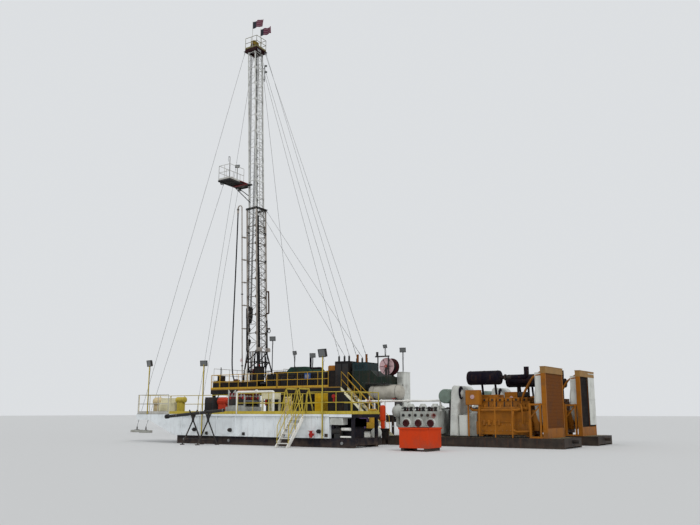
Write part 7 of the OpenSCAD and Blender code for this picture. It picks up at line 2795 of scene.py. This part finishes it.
@dataclass
class PumpSet:
    """One mud pump set: pump, drive, engine, exhaust and radiator on a skid.

    Attributes:
        name: Prefix of the pieces.
        x: Left end of the skid.
        y: Near edge of the skid.
        cover: Finish of the fluid end's covers.
        pump: Finish of the pump.
        engine: Finish of the engine.
        housing: Finish of the tall housing.
        core: Finish of the radiator's core.
        first: Whether the pieces stand for the CAD nodes of both sets.
    """

    name: str
    x: float
    y: float
    cover: Finish
    pump: Finish
    engine: Finish
    housing: Finish
    core: Finish
    first: bool

    def _shape(self, name: str, finish: Finish) -> Shape:
        """Starts a piece whose forms are given from the corner of the skid's deck."""
        return Shape(f"{self.name}_{name}", finish, (self.x, self.y, SKID_TOP))

    def _stands_for(self, node: str) -> tuple[str, ...]:
        """Gives the CAD node that a piece of the first set replaces."""
        return (node,) if self.first else ()

    def build(self) -> None:
        """Builds the set."""
        self._skid()
        self._pump()
        self._drive()
        self._engine()
        self._exhaust()
        self._radiator()

    def _skid(self) -> None:
        """Builds gratings, kerb and hoses on the skid."""
        shape = self._shape("skid_dress", Finishes.skid_grey)
        for k in range(8):
            shape.box((0.5 + k * 1.04, -0.012, -0.4), (0.56 + k * 1.04, 0.0, -0.06))
        shape.use(Finishes.tread)
        for k in range(4):
            shape.box((0.1 + 2.1 * k, 0.06, 0.0), (2.1 + 2.1 * k, 2.39, 0.005))
        shape.use(Finishes.hose_black)
        for k in range(3):
            yy = 0.2 + 0.14 * k
            shape.hose(
                [(2.9, yy, 0.03), (4.2, yy + 0.06, 0.02), (5.8, yy - 0.05, 0.03), (7.5, yy, 0.02)], 0.25, 0.022, 8
            )
        shape.use(Finishes.dark_steel)
        for x in (0.05, 8.45):
            shape.tube((x, 0.3, -0.2), (x, 2.15, -0.2), 0.06, 14)
        shape.finish(edge=0.003)

    def _pump(self) -> None:
        """Builds the fluid end with its covers and caps, and the ribbed power end."""
        shape = self._shape("pump_body", self.pump)
        shape.box((0.7, 0.0, 0.12), (2.7, 0.9, 1.15))
        shape.box((0.8, 0.05, 0.0), (2.6, 0.85, 0.12))
        for k in range(3):
            x = 1.05 + 0.65 * k
            shape.box((x - 0.27, -0.012, 0.25), (x + 0.27, 0.0, 1.05))
            shape.use(self.cover)
            shape.lathe((x, 0.0, 0.6), NEAR, [(0.235, 0), (0.235, 0.05), (0.22, 0.065), (0.175, 0.065)], 36)
            shape.use(Finishes.maroon)
            shape.lathe((x, -0.05, 0.6), NEAR, [(0.175, 0), (0.17, 0.06), (0.1, 0.07), (0.08, 0.04)], 30)
            shape.use(Finishes.bare_steel).bolts((x, -0.064, 0.6), NEAR, 0.205, 12, 0.026)
            shape.use(self.cover)
            shape.lathe(
                (x, 0.45, 1.15), UP,
                [(0.2, 0), (0.2, 0.12), (0.19, 0.14), (0.19, 0.26), (0.13, 0.262), (0.13, 0.34), (0.1, 0.36)], 30
            )
            shape.use(Finishes.bare_steel).bolts((x, 0.45, 1.41), UP, 0.16, 8, 0.024)
            shape.use(Finishes.dark_steel)
            for s in (-1, 1):
                shape.lathe(
                    (x + 0.17 * s, 0.16, 1.15), UP,
                    [
                        (0.085, 0), (0.085, 0.05), (0.06, 0.06), (0.06, 0.15),
                        (0.085, 0.16), (0.085, 0.2), (0.03, 0.22)
                    ],
                    18
                )
                shape.lathe((x + 0.17 * s, 0.0, 0.97), NEAR, [(0.07, 0), (0.07, 0.05), (0.04, 0.06)], 18)
            shape.box((x - 0.29, -0.02, 0.16), (x + 0.29, -0.012, 0.3))
            shape.tube((x - 0.3, 0.06, 1.3), (x + 0.3, 0.06, 1.3), 0.028, 10)
            shape.use(Finishes.maroon).tube((x, 0.1, 1.15), (x, 0.1, 1.34), 0.045, 12)
            shape.use(self.pump)
        low, high = 1.2, 2.45
        side = [(0.55, 0.0), (2.85, 0.0), (2.85, 0.85), (2.45, 1.25), (0.95, 1.25), (0.55, 0.85)]
        shape.plate(side, low, high)
        for k in range(4):
            x = 0.8 + 0.58 * k
            shape.box((x, low - 0.02, 0.05), (x + 0.05, low, 0.85))
            shape.box((x, low, 1.25 if 0.95 < x < 2.4 else 0.0), (x + 0.05, high, 1.27 if 0.95 < x < 2.4 else 0.01))
        shape.use(Finishes.dark_steel)
        shape.box((1.1, 1.35, 1.25), (2.3, 2.2, 1.29))
        for k in range(3):
            x = 1.05 + 0.65 * k
            shape.tube((x, 0.9, 0.6), (x, 1.2, 0.6), 0.09, 18)
        shape.use(self.pump)
        shape.lathe(
            (0.33, 0.45, 0.8), UP,
            [
                (0.12, 0), (0.12, 0.08), (0.2, 0.1), (0.28, 0.22), (0.3, 0.36),
                (0.27, 0.5), (0.18, 0.6), (0.08, 0.64), (0.08, 0.7), (0.03, 0.7)
            ],
            32
        )
        shape.tube((0.33, 0.45, 0.85), (0.33, 0.45, 0.45), 0.1, 20)
        shape.sweep([(0.33, 0.45, 0.5), (0.45, 0.45, 0.42), (0.75, 0.45, 0.42)], 0.1, 20)
        shape.use(Finishes.bare_steel).bolts((0.33, 0.45, 1.15), UP, 0.31, 12, 0.02)
        shape.use(Finishes.valve_red).wheel((2.52, -0.08, 0.95), NEAR, 0.1)
        shape.finish(replaces=self._stands_for("mud_pumps"), edge=0.008)

    def _drive(self) -> None:
        """Builds the gearbox, the chain guard, the drum and the tall housing."""
        shape = self._shape("drive_train", Finishes.pump_grey)
        shape.box((3.7, 0.7, 0.0), (4.35, 1.75, 1.05))
        shape.lathe(
            (3.45, 1.225, 0.55), RIGHT,
            [(0.3, 0), (0.47, 0.02), (0.48, 0.06), (0.48, 0.44), (0.47, 0.48), (0.3, 0.5)], 40
        )
        shape.use(Finishes.dark_steel)
        shape.box((3.0, 0.62, 1.2), (3.2, 0.98, 1.7))
        shape.box((2.95, 0.62, 0.0), (3.25, 0.98, 1.2))
        shape.use(Finishes.drum_green)
        shape.lathe(
            (2.9, 0.35, 1.85), FAR, [(0.1, 0), (0.3, 0.01), (0.33, 0.04), (0.33, 0.86), (0.3, 0.89), (0.1, 0.9)], 40
        )
        for k in range(9):
            shape.ring((2.9, 0.42 + 0.09 * k, 1.85), FAR, 0.327, 0.01, 40, 6)
        shape.use(Finishes.bare_steel).bolts((2.9, 0.35, 1.85), NEAR, 0.22, 8, 0.03)
        shape.use(self.housing)
        hood = [
            (3.16, 0.0), (3.55, 0.0), (3.53, 0.9), (3.6, 1.4), (3.72, 1.72), (3.76, 2.0),
            (3.7, 2.2), (3.58, 2.32), (3.42, 2.34), (3.32, 2.25), (3.27, 2.0), (3.22, 1.1)
        ]
        shape.plate(hood, 0.3, 1.9)
        rim = [(3.44 + (px - 3.44) * 0.86, 1.15 + (pz - 1.15) * 0.94) for px, pz in hood]
        shape.plate(rim, 0.282, 0.3)
        shape.box((3.58, 0.42, 0.0), (4.02, 1.1, 0.98))
        shape.box((3.6, 0.405, 0.05), (4.0, 0.42, 0.93))
        shape.use(Finishes.hot_black)
        shape.ring((3.72, 0.42, 2.0), (1, 0.15, 0), 0.26, 0.045, 28, 8)
        shape.lathe((3.7, 0.42, 2.0), (1, 0.15, 0), [(0.05, 0), (0.2, 0.01), (0.2, 0.03), (0.05, 0.04)], 24)
        shape.use(Finishes.bare_steel)
        for z in (0.2, 0.62, 0.96, 1.38, 1.72, 2.1):
            shape.lathe((3.32, 0.282, z), NEAR, [(0.014, 0), (0.012, 0.006)], 6)
        shape.finish(edge=0.008)

    def _engine(self) -> None:
        """Builds the engine block with its heads, covers, pipes, filters and frame."""
        shape = self._shape("engine_block", self.engine)
        shape.box((4.35, 0.62, 0.12), (7.0, 1.82, 0.7))
        shape.box((4.4, 0.66, 0.7), (6.95, 1.78, 1.15))
        shape.box((4.5, 0.72, 1.15), (6.9, 1.25, 1.6))
        shape.box((4.5, 1.3, 1.15), (6.9, 1.72, 1.6))
        for k in range(6):
            x = 4.62 + 0.38 * k
            shape.box((x, 0.68, 1.6), (x + 0.3, 1.24, 1.74))
            shape.box((x + 0.02, 0.7, 1.74), (x + 0.28, 1.22, 1.76))
            shape.box((x, 1.31, 1.6), (x + 0.3, 1.76, 1.76))
            shape.tube((x + 0.15, 0.72, 1.45), (x + 0.15, 0.64, 1.3), 0.045, 14)
            shape.box((x + 0.03, 0.61, 0.25), (x + 0.27, 0.62, 0.6))
            shape.use(Finishes.bare_steel)
            for z in (0.3, 0.55):
                shape.lathe((x + 0.06, 0.61, z), NEAR, [(0.014, 0), (0.012, 0.008)], 6)
                shape.lathe((x + 0.24, 0.61, z), NEAR, [(0.014, 0), (0.012, 0.008)], 6)
            shape.lathe((x + 0.15, 0.96, 1.76), UP, [(0.02, 0), (0.018, 0.012)], 6)
            shape.use(self.engine)
        for y in (0.66, 1.78):
            shape.lathe((4.5, y, 1.28), RIGHT, [(0.05, 0), (0.075, 0.02), (0.075, 2.33), (0.05, 2.35)], 18)
        shape.box((6.95, 0.82, 0.3), (7.25, 1.62, 1.2))
        for x in (4.45, 6.7):
            for y in (0.65, 1.65):
                shape.box((x, y, 0), (x + 0.2, y + 0.14, 0.12))
        for x in (5.45, 6.25):
            shape.sweep([(x + 0.03, 0.11, 0.0), (x + 0.03, 0.11, 1.72), (x + 0.03, 0.6, 1.72)], 0.028, 10)
        shape.tube((5.48, 0.11, 1.23), (6.28, 0.11, 1.23), 0.024, 10)
        shape.box((4.52, 0.86, 1.76), (5.35, 1.62, 1.9))
        for x in (4.05, 4.59):
            shape.box((x, 0.35, 0.0), (x + 0.06, 0.42, 1.43))
        shape.box((4.0, 0.27, 1.43), (4.7, 0.52, 2.11))
        shape.box((4.03, 0.255, 1.46), (4.67, 0.27, 2.08))
        for x, z in ((4.02, 1.45), (4.02, 2.07), (4.66, 1.45), (4.66, 2.07)):
            shape.box((x, 0.262, z), (x + 0.025, 0.27, z + 0.025))
        shape.use(Finishes.pink_white)
        shape.lathe((4.35, 0.255, 1.8), NEAR, [(0.1, 0), (0.1, 0.014), (0.085, 0.018), (0.085, 0.008)], 26)
        shape.use(Finishes.dark_steel)
        shape.lathe(
            (6.45, 1.25, 1.76), UP,
            [(0.14, 0), (0.14, 0.04), (0.25, 0.05), (0.25, 0.22), (0.23, 0.25), (0.08, 0.26)], 36
        )
        shape.use(self.engine)
        for path, radius in (
            (
                [
                    (4.12, 0.56, 1.36), (4.2, 0.52, 1.24), (4.45, 0.5, 1.2),
                    (5.6, 0.5, 1.2), (6.4, 0.5, 1.21), (6.55, 0.52, 1.26)
                ],
                0.06
            ),
            (
                [
                    (6.2, 0.52, 1.15), (6.19, 0.42, 0.95), (6.19, 0.4, 0.42),
                    (6.3, 0.4, 0.27), (6.6, 0.42, 0.26), (6.98, 0.5, 0.28)
                ],
                0.055
            ),
            ([(6.5, 0.58, 1.5), (6.62, 0.44, 1.3), (6.66, 0.42, 0.9), (6.62, 0.5, 0.6)], 0.035),
        ):
            shape.hose(path, 0.07, radius, 14)
        for k in range(4):
            shape.lathe((4.75 + 0.24 * k, 0.59, 0.52), UP, [(0.05, 0), (0.07, 0.02), (0.07, 0.22), (0.03, 0.25)], 18)
        shape.box((4.6, 0.58, 0.66), (6.05, 0.62, 0.72))
        shape.use(Finishes.dark_steel)
        for k in range(6):
            shape.lathe((4.77 + 0.38 * k, 0.66, 1.66), NEAR, [(0.05, 0), (0.05, 0.012), (0.03, 0.02)], 16)
        for k in range(5):
            shape.box((4.93 + 0.38 * k, 0.7, 1.35), (4.98 + 0.38 * k, 0.716, 1.58))
        shape.finish(replaces=self._stands_for("pump_engines"), edge=0.01)

    def _exhaust(self) -> None:
        """Builds the silencers and the exhaust pipe."""
        shape = self._shape("silencers", Finishes.hot_black)
        axis = 3.1 - SKID_TOP
        long = (4.0, 0.7, axis)
        shape.lathe(
            long, RIGHT,
            [
                (0.09, -0.05), (0.09, 0.0), (0.3, 0.02), (0.32, 0.06),
                (0.32, 1.54), (0.3, 1.58), (0.09, 1.6), (0.09, 1.85)
            ],
            40
        )
        for k in (0.12, 0.8, 1.46):
            shape.ring((4.0 + k, 0.7, axis), RIGHT, 0.321, 0.01, 40, 6)
        shape.lathe(
            (5.7, 1.5, axis - 0.13), RIGHT,
            [(0.08, 0), (0.21, 0.02), (0.23, 0.05), (0.23, 1.05), (0.21, 1.08), (0.08, 1.1)], 36
        )
        bend = 0.16
        shape.tube((6.1, 0.7, axis), (6.82 - bend, 0.7, axis), 0.1, 22)
        shape.sweep(arc((6.82 - bend, 0.7, axis + bend), DOWN, RIGHT, bend, 0, math.pi / 2, 10), 0.112, 22)
        shape.lathe(
            (6.82, 0.7, axis + bend), UP,
            [(0.112, 0), (0.112, 0.28), (0.12, 0.285), (0.12, 0.29), (0.1, 0.29), (0.1, 0.1)], 24
        )
        shape.use(Finishes.dark_steel).tube((5.55, 0.7, axis), (6.1, 0.7, axis), 0.075, 20)
        shape.flange((5.82, 0.7, axis), RIGHT, 0.14, 0.03)
        shape.ring((6.1, 0.7, axis), RIGHT, 0.088, 0.014, 24, 8)
        shape.use(Finishes.hot_black)
        for x, y, low, high in (
            (4.6, 0.98, 1.76, 2.4), (5.25, 0.98, 1.76, 2.4), (6.1, 1.5, 1.76, 2.34), (6.6, 1.5, 1.76, 2.34)
        ):
            shape.tube((x, y, low), (x, y - (0.12 if y < 1 else 0.0), high), 0.05, 14)
        shape.finish(replaces=self._stands_for("pump_exhausts"), edge=0)

    def _radiator(self) -> None:
        """Builds the radiator: frame, finned core, tan header, fan ring and fan."""
        shape = self._shape("radiator_frame", Finishes.ochre_dark)
        for x in (7.09, 7.56):
            shape.box((x, 0.005, 0.0), (x + 0.09, 0.085, 1.49))
            shape.box((x - 0.03, 0.0, 0.0), (x + 0.12, 0.1, 0.02))
        for z in (0.0, 1.4):
            shape.box((7.1, 0.01, z), (7.71, 0.08, z + 0.08))
        shape.bar((7.18, 0.045, 0.9), (7.56, 0.045, 1.36), 0.05)
        for k in (0, 1):
            pipe = [
                (6.6, 0.5 + 0.1 * k, 1.5 + 0.12 * k), (6.8, 0.32 + 0.08 * k, 1.95),
                (7.3, 0.15 + 0.05 * k, 2.62), (7.7, 0.12, 2.72 + 0.14 * k)
            ]
            shape.hose(pipe, 0.12, 0.04, 14)
        shape.box((7.7, 0.0, 0.0), (7.9, 0.09, 2.78))
        shape.box((7.7, 2.32, 0.0), (7.9, 2.41, 2.78))
        shape.box((7.72, 0.09, 0.0), (7.89, 2.32, 0.42))
        for k in range(5):
            shape.box((7.72, -0.012, 0.4 + 0.52 * k), (7.88, 0.0, 0.45 + 0.52 * k))
        shape.use(self.core)
        shape.box((7.76, 0.09, 0.42), (7.85 if not self.first else 7.88, 2.32, 2.78))
        shape.use(Finishes.rust_brown)
        for k in range(1, 7):
            y = 0.09 + 2.21 * k / 7
            shape.box((7.74, y, 0.42), (7.76, y + 0.04, 2.78))
            if not self.first and k == 4:
                shape.box((7.85, y, 0.42), (7.875, y + 0.04, 2.78))
        shape.use(Finishes.tan_band)
        shape.box((7.68, 0.0, 2.78), (7.92, 2.41, 3.05))
        shape.box((7.67, -0.01, 3.05), (7.93, 2.42, 3.08))
        for k in range(5):
            shape.box((7.672, 0.2 + 0.45 * k, 2.8), (7.68, 0.24 + 0.45 * k, 3.03))
        shape.use(Finishes.pale_grey)
        shape.box((7.41, 0.098, 1.42), (7.69, 0.112, 2.82))
        shape.box((7.4, 0.09, 1.42), (7.43, 0.12, 2.82))
        if not self.first:
            shape.box((7.9, 1.35, 0.5), (7.915, 2.4, 2.98))
            for z in (0.5, 1.7, 2.94):
                shape.box((7.915, 1.35, z), (7.93, 2.4, z + 0.04))
        centre = Vector((7.34, 1.225, 1.6))
        shape.lathe(centre, RIGHT, [(1.08, 0.0), (1.08, 0.38), (1.05, 0.38), (1.05, 0.0)], 56)
        shape.ring(centre, RIGHT, 1.07, 0.02, 56, 8)
        shape.use(Finishes.dark_steel)
        for k in range(7):
            a = math.tau * k / 7
            blade = Matrix.Translation(
                centre + Vector((0.2, 0, 0))
            ) @ Matrix.Rotation(a, 4, "X") @ Matrix.Rotation(0.5, 4, "Z")
            shape.box((-0.012, -0.13, 0.14), (0.012, 0.13, 0.98), blade)
        shape.lathe(centre + Vector((0.08, 0, 0)), RIGHT, [(0.05, 0), (0.17, 0.02), (0.17, 0.2), (0.05, 0.24)], 28)
        for k in range(9):
            shape.ring(centre, RIGHT, 0.14 + 0.11 * k, 0.006, 40, 5)
        for k in range(8):
            a = math.tau * k / 8
            shape.tube(centre, centre + Vector((0, 1.06 * math.cos(a), 1.06 * math.sin(a))), 0.008, 6)
        shape.finish(replaces=self._stands_for("radiators"), edge=0.006)


@dataclass
class Yard:
    """Manifold, pipe trestles and the orange crate."""

    def build(self) -> None:
        """Builds the separate items of the yard."""
        self._manifold()
        self._units()
        self._trestles()
        self._crate()

    def _manifold(self) -> None:
        """Builds the manifold's box, posts, pipes and flanges."""
        shape = Shape("manifold_pipes", Finishes.pipe_white)
        y = -11.75
        shape.box((16.7, -12.5, 0.02), (17.7, -11.95, 0.62))
        for k in range(3):
            shape.box((16.74 + 0.32 * k, -12.512, 0.07), (17.02 + 0.32 * k, -12.5, 0.57))
        for x in (16.6, 17.5, 18.1):
            shape.lathe((x, y, 0), UP, [(0.12, 0), (0.12, 0.02), (0.044, 0.022), (0.044, 2.03)], 20)
            shape.ring((x, y, 2.03), RIGHT, 0.055, 0.012, 18, 6)
        shape.tube((16.56, y, 2.08), (21.07, y, 2.08), 0.049, 18)
        shape.sweep(arc(Vector((21.07, y, 1.998)), UP, RIGHT, 0.082, 0, math.pi / 2, 8), 0.049, 18)
        shape.tube((21.152, y, 1.998), (21.152, y, 1.59), 0.049, 18)
        shape.tube((16.6, y, 1.35), (18.1, y, 1.35), 0.034, 14)
        for x in (16.59, 17.0, 17.9, 19.4):
            shape.flange((x, y, 2.08), RIGHT, 0.09, 0.024)
        shape.flange((21.152, y, 1.62), UP, 0.085, 0.024)
        shape.use(Finishes.black_paint)
        shape.box((16.65, -12.55, 0.62), (18.45, -11.9, 0.64))
        shape.box((16.65, -12.55, 0.74), (18.45, -11.9, 0.76))
        shape.box((16.66, -12.54, 0.64), (18.44, -11.91, 0.74))
        for x in (17.9, 18.35):
            shape.box((x, -12.5, 0), (x + 0.08, -11.95, 0.62))
        shape.use(Finishes.valve_red)
        shape.wheel((17.25, y - 0.12, 2.08), NEAR, 0.11)
        shape.tube((17.25, y, 2.08), (17.25, y - 0.12, 2.08), 0.02, 10)
        shape.wheel((18.6, y, 2.2), UP, 0.11)
        shape.tube((18.6, y, 2.08), (18.6, y, 2.2), 0.02, 10)
        shape.finish(replaces=("manifold_frame",), edge=0.004)

    def _units(self) -> None:
        """Builds the small engine, the pump, the cylinder and the drum on the manifold."""
        shape = Shape("manifold_sets", Finishes.violet)
        shape.box((16.72, -12.48, 0.76), (17.38, -11.98, 1.25)).box((16.8, -12.42, 1.25), (17.3, -12.04, 1.42))
        louvres(shape, 16.8, 17.3, -12.48, 0.85, 1.2, 6)
        shape.use(Finishes.dark_steel).lathe((16.95, -12.23, 1.42), UP, [(0.07, 0), (0.07, 0.1), (0.03, 0.12)], 16)
        shape.use(Finishes.rail_yellow).box((17.45, -12.45, 0.76), (17.85, -12.0, 1.05))
        shape.lathe(
            (17.65, -12.22, 1.05), UP,
            [(0.16, 0), (0.16, 0.5), (0.155, 0.56), (0.2, 0.56), (0.2, 0.63), (0.17, 0.65), (0.05, 0.65)], 30
        )
        for k in range(5):
            shape.ring((17.65, -12.22, 1.12 + 0.09 * k), UP, 0.158, 0.008, 30, 6)
        shape.use(Finishes.orange)
        shape.lathe(
            (18.25, -12.22, 0.76), UP,
            [(0.1, 0), (0.1, 0.34), (0.13, 0.37), (0.14, 0.42), (0.14, 1.02), (0.11, 1.1), (0.04, 1.12)], 30
        )
        shape.use(Finishes.pale_grey)
        shape.lathe(
            (18.2, -12.9, 0.56), FAR,
            [(0.1, 0), (0.225, 0.01), (0.23, 0.03), (0.23, 0.27), (0.2, 0.3), (0.1, 0.3)], 32
        )
        shape.use(Finishes.bare_steel).bolts((18.2, -12.89, 0.56), NEAR, 0.17, 8, 0.026)
        shape.use(Finishes.dark_steel).box((18.0, -12.85, 0), (18.42, -12.6, 0.34))
        shape.tube((18.21, -12.6, 0.48), (18.21, -12.552, 0.48), 0.119, 24)
        shape.finish(replaces=("manifold_units",), edge=0.008)

    def _trestles(self) -> None:
        """Paints the trestles' pipe and builds its couplings."""
        paint_by_colour("pipe_trestles", (Finishes.dark_steel, Finishes.pipe_ochre))
        shape = Shape("trestle_pipe", Finishes.pump_grey)

        def along(x: float) -> tuple[float, float, float]:
            """Gives the middle of the pipe at x."""
            return x, -17.3, 1.39 + (x - 9.5) * 0.08

        way = Vector(along(12.0)) - Vector(along(9.0))
        shape.use(Finishes.bare_steel)
        for x in (9.4, 11.0, 12.45):
            shape.ring(along(x), way, 0.077, 0.012, 28, 6)
        shape.use(Finishes.hose_black)
        shape.lathe(along(8.799), way, [(0.06, -0.16), (0.1, -0.15), (0.106, -0.1), (0.106, -0.02), (0.08, 0.0)], 28)
        shape.finish(edge=0.001)

    def _crate(self) -> None:
        """Builds the open orange crate with its rim and skids."""
        shape = Shape("crate_body", Finishes.orange)
        x0, x1, y0, y1 = 21.95, 23.25, -17.2, -16.0
        shape.box((x0 + 0.03, y0 + 0.03, 0.12), (x1 - 0.03, y1 - 0.03, 0.15))
        for left, near, right, far in border(x0, y0, x1, y1, 0.03):
            shape.box((left, near, 0.12), (right, far, 0.93))
        for a, b in (
            ((x0 - 0.03, y0 - 0.03), (x1 + 0.03, y0 + 0.03)), ((x0 - 0.03, y1 - 0.03), (x1 + 0.03, y1 + 0.03)),
            ((x0 - 0.03, y0), (x0 + 0.03, y1)), ((x1 - 0.03, y0), (x1 + 0.03, y1))
        ):
            shape.box((a[0], a[1], 0.86), (b[0], b[1], 0.93))
        shape.use(Finishes.dark_steel)
        for x in (x0 + 0.06, x1 - 0.2):
            shape.box((x, y0 + 0.02, 0.0), (x + 0.14, y1 - 0.02, 0.12))
        shape.finish(replaces=("orange_crate",), edge=0.004)


# ---------------------------------------------------------------- the scene


# The camera that was fitted to the photograph, and the light
LENS_MM = 38.57
SENSOR_MM = 36.0
VIEW_DEPTH = 500.0
CAMERA_PLACE = (37.3, -44.5, 1.55)
CAMERA_TURN = (101.27, 0.0, 33.0)
FLOOR_SPAN = 260.0
FLOOR_COLOUR = (0.62, 0.62, 0.61, 1)
SKY_SEEN = (0.72, 0.74, 0.76, 1)
SKY_LIT = (0.93, 0.96, 1.0, 1)
SKY_STRENGTH = 0.68
SUN_ANGLE = 18.0
SUNS = (("sun_front", 1.08, (48, 0, 62)), ("sun_side", 0.35, (60, 0, -20)))


def make_camera() -> None:
    """Places the camera where the photograph was taken."""
    data = bpy.data.cameras.new("camera")
    data.lens, data.sensor_width, data.clip_end = LENS_MM, SENSOR_MM, VIEW_DEPTH
    camera = bpy.data.objects.new("camera", data)
    camera.location = CAMERA_PLACE
    camera.rotation_euler = tuple(math.radians(angle) for angle in CAMERA_TURN)
    bpy.context.scene.collection.objects.link(camera)
    bpy.context.scene.camera = camera


def light() -> None:
    """Sets the pale floor, the soft sky and the large lamps."""
    scene = bpy.context.scene
    scene.view_settings.view_transform = "Standard"
    mesh = bpy.data.meshes.new("floor_sheet")
    span = FLOOR_SPAN
    mesh.from_pydata([(-span, -span, 0), (span, -span, 0), (span, span, 0), (-span, span, 0)], [], [(0, 1, 2, 3)])
    floor = bpy.data.objects.new("floor_sheet", mesh)
    material = bpy.data.materials.new("floor_paint")
    material.use_nodes = True
    body = material.node_tree.nodes["Principled BSDF"]
    body.inputs["Base Color"].default_value = FLOOR_COLOUR
    body.inputs["Roughness"].default_value = 0.95
    body.inputs["Specular IOR Level"].default_value = 0.1
    mesh.materials.append(material)
    scene.collection.objects.link(floor)
    world = bpy.data.worlds.new("sky")
    scene.world = world
    world.use_nodes = True
    nodes, links = world.node_tree.nodes, world.node_tree.links
    nodes.clear()
    out = nodes.new("ShaderNodeOutputWorld")
    path = nodes.new("ShaderNodeLightPath")
    seen, lit, mix = nodes.new(
        "ShaderNodeBackground"
    ), nodes.new("ShaderNodeBackground"), nodes.new("ShaderNodeMixShader")
    seen.inputs["Color"].default_value = SKY_SEEN
    lit.inputs["Color"].default_value = SKY_LIT
    lit.inputs["Strength"].default_value = SKY_STRENGTH
    shown = path.outputs["Is Camera Ray"]
    for ray in ("Is Glossy Ray", "Is Transmission Ray"):
        shown = maths(world.node_tree, "MAXIMUM", shown, path.outputs[ray])
    links.new(shown, mix.inputs["Fac"])
    links.new(lit.outputs["Background"], mix.inputs[1])
    links.new(seen.outputs["Background"], mix.inputs[2])
    links.new(mix.outputs["Shader"], out.inputs["Surface"])
    for name, energy, turn in SUNS:
        data = bpy.data.lights.new(name, "SUN")
        data.energy, data.angle = energy, math.radians(SUN_ANGLE)
        lamp = bpy.data.objects.new(name, data)
        lamp.rotation_euler = tuple(math.radians(a) for a in turn)
        scene.collection.objects.link(lamp)


class Crew(Protocol):
    """Any sub-assembly that builds its own pieces."""

    def build(self) -> object:
        """Builds the pieces."""


def dress_rig() -> None:
    """Builds every sub-assembly and paints what stays as it is."""
    sections = (
        MastSection(
            "mast_lower", ("mast_lower_near", "mast_lower_far", "mast_lower_back"),
            Finishes.mast_grey, Finishes.mast_web_shaded, 1.04, 1.24, 0.1, 1.9, SPLICE, 8, 1.41, 0.05
        ),
        MastSection(
            "mast_upper", ("mast_upper_near", "mast_upper_far", "mast_upper_back"),
            Finishes.mast_white, Finishes.mast_white, 0.8, 1.0, 0.08, UPPER_START, 26.9, 11, 1.4, 0.04
        ),
    )
    crews: list[Crew] = [
        MudLine(), *sections, MastFittings(), Crown(), Flags(), RackingBoard(),
        HoistGear(), GuyLines(), Carrier(), Deck(), DrillFloor(),
        EngineHouse(), RearEnd(), LampPoles(), MudTank(),
        PumpSet(
            "set1", 18.6, -12.35, Finishes.pale_grey, Finishes.pump_grey,
            Finishes.ochre, Finishes.pale_grey, Finishes.core_brown, True
        ),
        PumpSet(
            "set2", 18.9, -8.25, Finishes.pale_grey, Finishes.pump_grey,
            Finishes.ochre_dark, Finishes.pale_grey, Finishes.core_dark, False
        ),
        Yard(),
    ]
    for crew in crews:
        before = len(bpy.data.objects)
        crew.build()
        LOG.info("%s: %d pieces", type(crew).__name__, len(bpy.data.objects) - before)
    paint_node(Finishes.skid_grey, "pump_skids")


def main() -> None:
    """Builds the scene."""
    make_camera()
    dress_rig()
    light()


if __name__ == "__main__":
    main()
